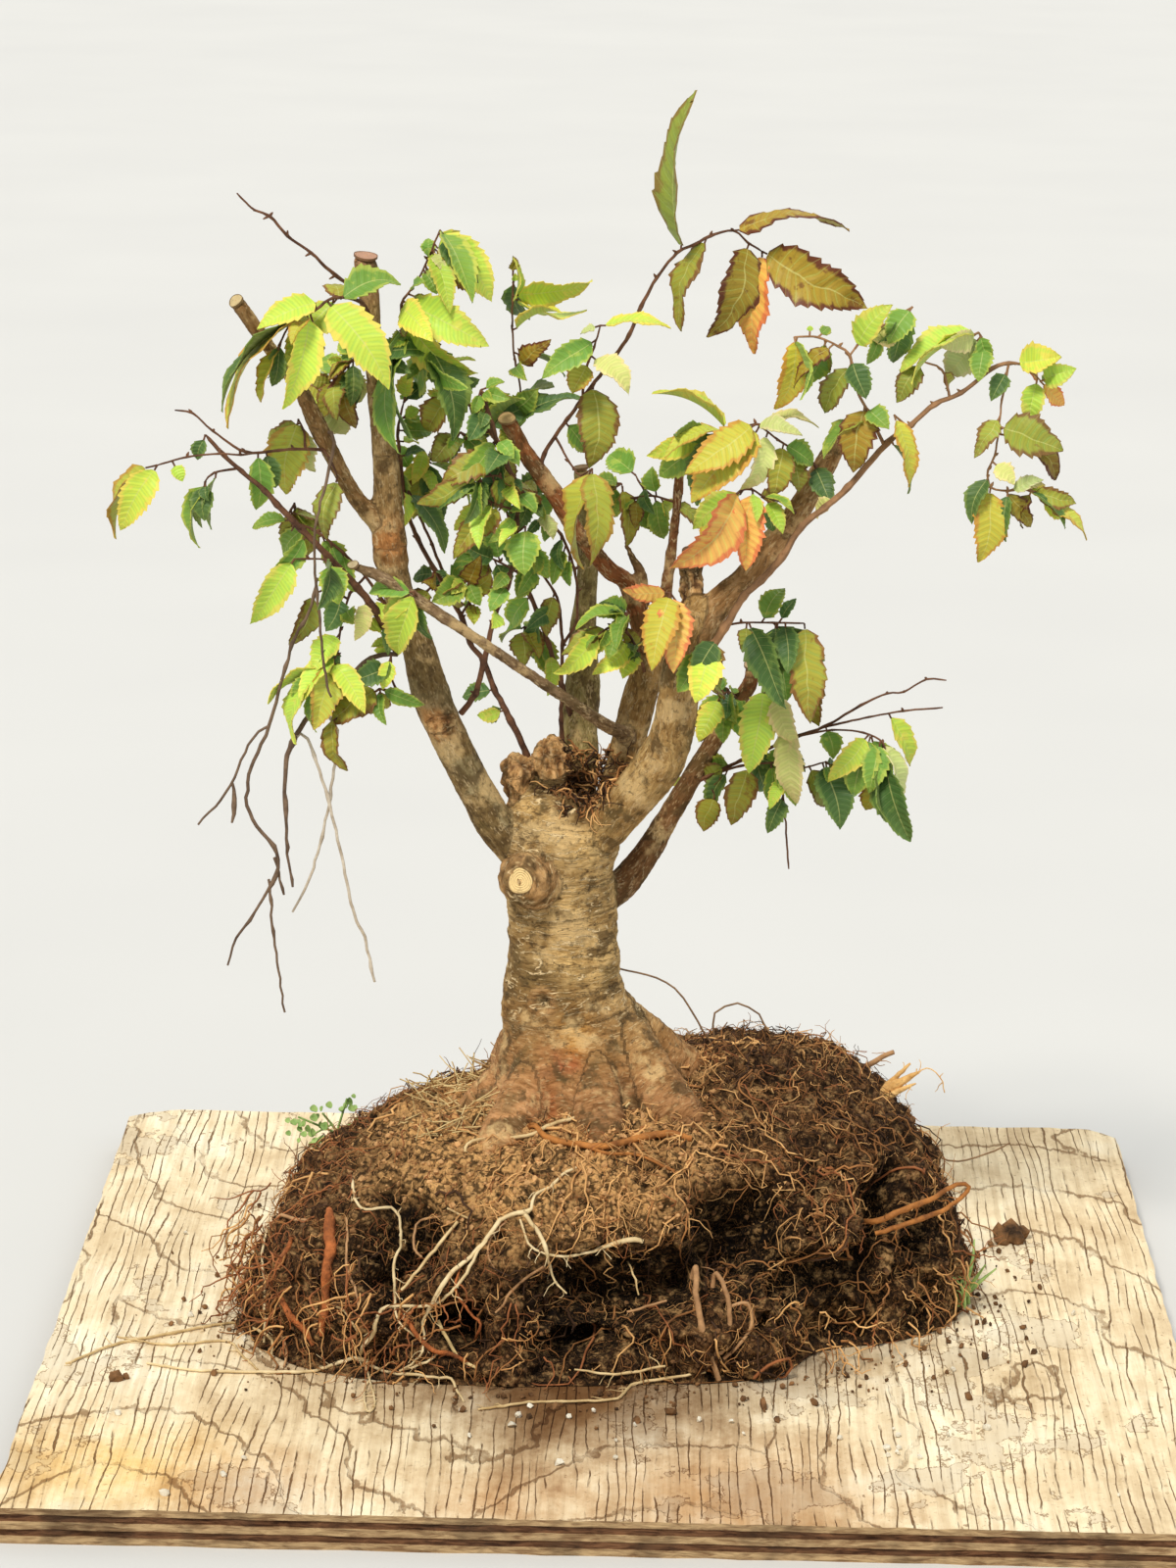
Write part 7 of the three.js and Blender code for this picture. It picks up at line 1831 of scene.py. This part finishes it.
def make_board(face, light_ply, dark_ply):
    """Five plies, each a plane divided in edit mode, drawn down to its thickness, with splintered edges"""
    thick = BOARD_T / PLIES
    slabs = []
    for k in range(PLIES):
        top = BOARD_T - k * thick
        bpy.ops.mesh.primitive_plane_add(size=BOARD_SIDE * MM, location=(0, 0, top * MM))
        slab = bpy.context.object
        bpy.ops.object.transform_apply(location=True)
        bpy.ops.object.mode_set(mode="EDIT")
        bpy.ops.mesh.subdivide(number_cuts=75 if k == 0 else 37)
        bpy.ops.mesh.select_all(action="SELECT")
        bpy.ops.mesh.extrude_region_move(TRANSFORM_OT_translate={"value": (0, 0, -thick * MM)})
        bpy.ops.mesh.select_all(action="SELECT")
        bpy.ops.mesh.normals_make_consistent(inside=False)
        bpy.ops.object.mode_set(mode="OBJECT")
        places = corners_of(slab)
        half = BOARD_SIDE / 2
        x, y, z = places.T
        rough = np.array([noise.noise(Vector((p[0] * 0.5, p[1] * 0.07, k * 3.7))) for p in places])
        fine = np.array([noise.noise(Vector((p[0] * 0.9, p[1] * 0.9, k * 5.1 + p[2] * 0.4))) for p in places])
        front, right = np.abs(y) > half - 0.1, np.abs(x) > half - 0.1
        inset = 0.5 + 1.1 * np.clip(rough, -0.2, 1) + 0.6 * np.clip(fine, 0, 1) + (0.5 if k % 2 else 0)
        places[front, 1] -= np.sign(y[front]) * inset[front]
        places[right, 0] -= np.sign(x[right]) * inset[right] * 0.8
        chip = 12 + 1.5 * fine
        over = (x + y) - (2 * half - chip)
        corner = over > 0
        places[corner, 0] -= over[corner] / 2
        places[corner, 1] -= over[corner] / 2
        over = (-x * 0.7 + y * 1.3) - (2 * half - chip * 1.1)
        corner = over > 0
        places[corner, 0] += over[corner] * 0.32
        places[corner, 1] -= over[corner] * 0.6
        if k == 0:
            upper = z > BOARD_T - 0.1
            dips = np.array([noise.noise(Vector((p[0] * 0.12, p[1] * 0.012, 1.3))) for p in places])
            places[upper, 2] += 0.35 * dips[upper] - 0.25
        move_corners(slab, places)
        slab.data.materials.append(light_ply if k % 2 == 0 else dark_ply)
        slab.data.materials.append(face)
        if k == 0:
            marks = [1 if p.normal.z > 0.7 else 0 for p in slab.data.polygons]
            slab.data.polygons.foreach_set("material_index", marks)
        slabs.append(slab)
    board = joined("plywood_board", slabs)
    settle(board, "board", "stand_board")


def make_straw(ground, finishes):
    """Dry straw and grass litter on the left shoulder and a few loose stems on the mound"""
    tree, faces = ground
    strands = []
    shoulder = [f for f in faces if -75 < f[0].x / MM < -38 and -35 < f[0].y / MM < 35 and f[1].z > 0.3]
    for _ in range(190):
        centre, normal = shoulder[draw.randrange(len(shoulder))]
        way = Vector((draw.gauss(0, 1), draw.gauss(0, 0.6), draw.gauss(0.15, 0.3))).normalized()
        length = draw.uniform(5, 15)
        start = centre / MM + normal * draw.uniform(0.5, 3.2)
        row = [(*(start + way * length * f + Vector((0, 0, draw.gauss(0, 0.25)))), 0.26) for f in (0, 0.35, 0.7, 1)]
        strands.append((row, draw.choice((0, 0, 1))))
    for rows in LOOSE_STEMS:
        strands.append((crooked(rows, 4, 0.15), 0 if rows[0][3] > 0.4 else 2))
    settle(strand_mesh("straw_litter", strands, finishes, 0), "pale_root")


# Straws and thin stems that lie on or stand out of the mound, as x, y, z and radius
LOOSE_STEMS = [
    [(-12, -46, 92, 0.5), (2, -30, 96, 0.5), (4, -24, 99, 0.45)],
    [(-8, -34, 96, 0.45), (-7, -32, 108, 0.42)],
    [(-40, -34, 92, 0.45), (-36, -30, 99, 0.42)],
    [(-6, 6, 138, 0.35), (12, 12, 132, 0.35), (22, 14, 124, 0.35), (34, 16, 104, 0.38)],
    [(34, 18, 108, 0.38), (34, 18, 117, 0.38), (42, 18, 121, 0.36), (50, 18, 117, 0.34), (54, 18, 110, 0.34)],
    [(112, 30, 62, 0.38), (126, 34, 56, 0.36), (140, 36, 60, 0.34), (146, 37, 63, 0.3)],
    [(-62, -80, 33, 0.8), (-55, -86, 22, 0.8), (-44, -89, 17, 0.7)],
]


def make_crotch_litter(wood, finishes):
    """Shredded bark and leaf mould caught between the limbs"""
    tree, faces = ground_of(wood)
    middle = Vector((-13, 0, 206))
    near = [f for f in faces if (f[0] / MM - middle).length < 18 and f[1].z > 0 and f[0].z > 0.199]
    strands = []
    for _ in range(290):
        centre, normal = near[draw.randrange(len(near))]
        heading = Vector((draw.gauss(0, 1), draw.gauss(0, 1), draw.gauss(0, 0.7)))
        row = creeping_strand((tree, near), centre, heading, 6, draw.uniform(0.8, 2.2), draw.uniform(0.25, 0.5), 0.4,
                              draw.uniform(0.5, 3.5))
        strands.append((row, draw.choices((0, 1, 2), (3, 3, 2))[0]))
    settle(strand_mesh("crotch_litter", strands, finishes, 0), "soil")


SEEDLING_STEMS = [
    [(-102, 42, 50, 0.5), (-107, 43, 60, 0.5), (-112, 42, 67, 0.4)],
    [(-107, 43, 59, 0.5), (-121, 40, 66, 0.4)], [(-107, 43, 58, 0.5), (-103, 45, 72, 0.4)],
    [(-105, 42, 55, 0.4), (-97, 39, 66, 0.35)], [(-109, 43, 62, 0.4), (-115, 38, 60, 0.35)],
]
GRASS_BLADES = [
    [(126, -8, 17, 0.8), (131, -12, 27, 0.7), (134, -16, 34, 0.3)],
    [(126, -8, 17, 0.8), (130, -4, 29, 0.7), (131, 0, 38, 0.3)],
    [(126, -8, 17, 0.8), (133, -7, 24, 0.7), (139, -6, 29, 0.3)],
]


def make_weeds(finish):
    """Clover-like seedling and a tuft of grass"""
    bpy.ops.mesh.primitive_circle_add(vertices=12, radius=1, fill_type="TRIFAN")
    leaflet = bpy.context.object
    modified(leaflet, "SOLIDIFY", thickness=0.16, offset=0.0)
    shape = corners_of(leaflet) * MM
    leaves = []
    for rows in SEEDLING_STEMS:
        end = Vector(rows[-1][:3])
        for k in range(8):
            spot = end + Vector((draw.gauss(-1, 2.6), draw.gauss(0, 2.2), draw.gauss(-2.5, 2.2)))
            turn = Vector((draw.gauss(0, 0.5), -0.8, 0.8 + draw.gauss(0, 0.3))).to_track_quat("Z", "Y").to_matrix()
            copy = leaflet.copy()
            copy.data = leaflet.data.copy()
            bpy.context.collection.objects.link(copy)
            cupped = shape.copy()
            cupped[:, 2] += 0.3 * (cupped[:, 0] ** 2 + cupped[:, 1] ** 2)
            cupped[:, 1] *= 1 + 0.2 * np.sin(cupped[:, 0] * 3)
            move_corners(copy, (cupped * draw.uniform(0.9, 1.6)) @ np.array(turn).T + np.array(spot))
            copy.data.materials.append(finish)
            leaves.append(copy)
    bpy.data.objects.remove(leaflet)
    stems = strand_mesh("seedling_stems", [(smooth_row(rows, 3), 0) for rows in SEEDLING_STEMS], [finish], 1)
    seedling = joined("clover_seedling", [stems] + leaves)
    smooth_shaded(seedling, 60)
    settle(seedling, "weed", "weed_seedling")
    blades = [(smooth_row(rows, 3), 0) for rows in GRASS_BLADES]
    for _ in range(9):
        lean, height = draw.uniform(0, 6.28), draw.uniform(8, 20)
        foot = Vector((126 + draw.gauss(0, 2), -8 + draw.gauss(0, 2), 15))
        out = Vector((math.cos(lean), math.sin(lean), 0))
        row = [(*(foot + out * height * 0.4 * f * f + Vector((0, 0, height * f * (1.2 - 0.45 * f)))), 0.6 * (1 - f) + 0.12)
               for f in (0, 0.25, 0.5, 0.75, 1)]
        blades.append((row, 0))
    settle(strand_mesh("grass_clump", blades, [finish], 1), "weed", "grass_tuft")


def make_stage():
    """Pale floor, soft light and the camera at the photograph's angle"""
    bpy.ops.mesh.primitive_plane_add(size=60, location=(0, 0, 0))
    floor = bpy.context.object
    floor.name = "floor"
    pale = Finish("pale_floor", 0.95, 0.1)
    floor.data.materials.append(pale.colour(pale.mixed(pale.grain(3.0, detail=2), srgb(206, 206, 204), srgb(214, 214, 211))))
    world = bpy.data.worlds.new("soft_daylight")
    world.use_nodes = True
    world.node_tree.nodes["Background"].inputs[0].default_value = (0.92, 0.96, 1.0, 1)
    world.node_tree.nodes["Background"].inputs[1].default_value = 0.5
    bpy.context.scene.world = world
    for name, place, softness, power, warmth in STUDIO_LIGHTS:
        lamp = bpy.data.lights.new(name, "SUN")
        lamp.angle = math.radians(softness)
        lamp.energy = power
        lamp.color = warmth
        holder = bpy.data.objects.new(name, lamp)
        holder.location = place
        holder.rotation_euler = (Vector((0, 0, 0.2)) - Vector(place)).to_track_quat("-Z", "Y").to_euler()
        bpy.context.collection.objects.link(holder)
    lens = bpy.data.cameras.new("photo_camera")
    lens.sensor_width = 36
    lens.lens = 36 * 4590 / 1600
    lens.clip_end = 100
    camera = bpy.data.objects.new("photo_camera", lens)
    yaw, pitch, roll = math.radians(-0.773), math.radians(14.595), math.radians(0.982)
    ahead = Vector((math.sin(yaw) * math.cos(pitch), math.cos(yaw) * math.cos(pitch), -math.sin(pitch)))
    right = Vector((math.cos(yaw), -math.sin(yaw), 0))
    above = right.cross(ahead)
    aside = right * math.cos(roll) + above * math.sin(roll)
    upright = above * math.cos(roll) - right * math.sin(roll)
    turn = Matrix((aside, upright, -ahead)).transposed().to_4x4()
    camera.matrix_world = Matrix.Translation(VIEW_POINT * MM) @ turn
    bpy.context.collection.objects.link(camera)
    bpy.context.scene.camera = camera
    bpy.context.scene.view_settings.view_transform = "Standard"


# Broad lights: name, where each shines from in metres, softness in degrees, power and colour
STUDIO_LIGHTS = [
    ("key_light", (-0.75, -1.5, 2.4), 14, 2.8, (1.0, 0.95, 0.86)),
    ("fill_light", (1.9, -1.4, 1.3), 50, 0.4, (0.96, 0.98, 1.0)),
    ("back_light", (0.8, 1.9, 2.0), 40, 0.6, (1.0, 0.98, 0.94)),
]

AUTUMN_SHOOTS = ("long_top_shoot", "yellow_cluster_shoot", "orange_cluster_shoot", "hooded_shoot", "arching_shoot")

make_stage()
make_board(board_finish(), ply_finish("light_ply", (130, 100, 70), (190, 160, 118)),
           ply_finish("dark_ply", (62, 40, 28), (120, 84, 58)))
wood = make_wood(bark_finish())
make_sawn_ends(sawn_finish())
root_ball = make_soil(soil_finish())
ball_ground = ground_of(root_ball)
hair_finishes = [
    plain_finish("brown_hair_root", (112, 74, 42), (180, 124, 72), 90, 0.2),
    plain_finish("tan_hair_root", (182, 132, 80), (240, 190, 124), 90, 0.2),
    plain_finish("dark_hair_root", (44, 29, 19), (86, 58, 36), 90, 0.2),
    plain_finish("rusty_hair_root", (118, 70, 41), (176, 110, 66), 90, 0.2),
]
make_root_hairs(ball_ground, hair_finishes)
make_long_roots(ball_ground, hair_finishes)
scatter_crumbs(ball_ground, plain_finish("soil_crumb", (52, 37, 24), (142, 102, 64), 160, 0.5, 0.95),
               plain_finish("dry_crumb", (134, 98, 62), (228, 178, 120), 160, 0.5, 0.95),
               plain_finish("pale_grain", (196, 186, 164), (238, 232, 214), 300, 0.3))
make_roots(ball_ground, [
    plain_finish("orange_root_skin", (116, 70, 34), (192, 126, 62), 160, 0.5, 0.75),
    plain_finish("pale_root_skin", (196, 170, 122), (236, 216, 172), 140, 0.3, 0.65),
    plain_finish("rusty_root_skin", (104, 60, 34), (200, 116, 62), 190, 0.9, 0.85),
    plain_finish("brown_root_skin", (140, 102, 68), (202, 158, 112), 150, 0.4, 0.8),
    plain_finish("straw_root_skin", (178, 148, 98), (226, 200, 150), 150, 0.3, 0.7),
    plain_finish("torn_root_wood", (206, 152, 84), (240, 198, 130), 220, 0.8, 0.8),
])
straw_finishes = [
    plain_finish("straw", (186, 156, 100), (232, 208, 152), 120, 0.3, 0.7),
    plain_finish("old_straw", (122, 92, 56), (176, 138, 88), 120, 0.3, 0.8),
    plain_finish("thin_stem", (110, 84, 60), (150, 118, 84), 120, 0.3, 0.8),
]
make_straw(ball_ground, straw_finishes)
make_crotch_litter(wood, [hair_finishes[2], hair_finishes[0], hair_finishes[1]])
make_dead_twigs([plain_finish("dry_twig", (84, 66, 52), (132, 108, 86), 160, 0.4),
                 plain_finish("bleached_twig", (170, 154, 132), (214, 202, 182), 160, 0.4)])
twig_finish = plain_finish("twig_bark", (66, 42, 30), (124, 84, 58), 200, 0.4, 0.7)
light_twig_finish = plain_finish("tan_twig_bark", (120, 88, 60), (172, 128, 88), 160, 0.4, 0.7)
leaf_surface = leaf_finish()
leaf_blanks = {teeth: leaf_blank(teeth) for teeth in (6, 8, 11)}
for shoot in SHOOTS:
    group = "dead_twig" if shoot == "budded_twig" else "autumn_leaf" if shoot in AUTUMN_SHOOTS else "green_leaf"
    stem_finish = light_twig_finish if shoot == "arching_shoot" else twig_finish
    make_shoot(shoot, group, [stem_finish, leaf_surface], leaf_blanks)
make_weeds(plain_finish("fresh_green", (112, 146, 74), (172, 198, 118), 200, 0.3, 0.5))
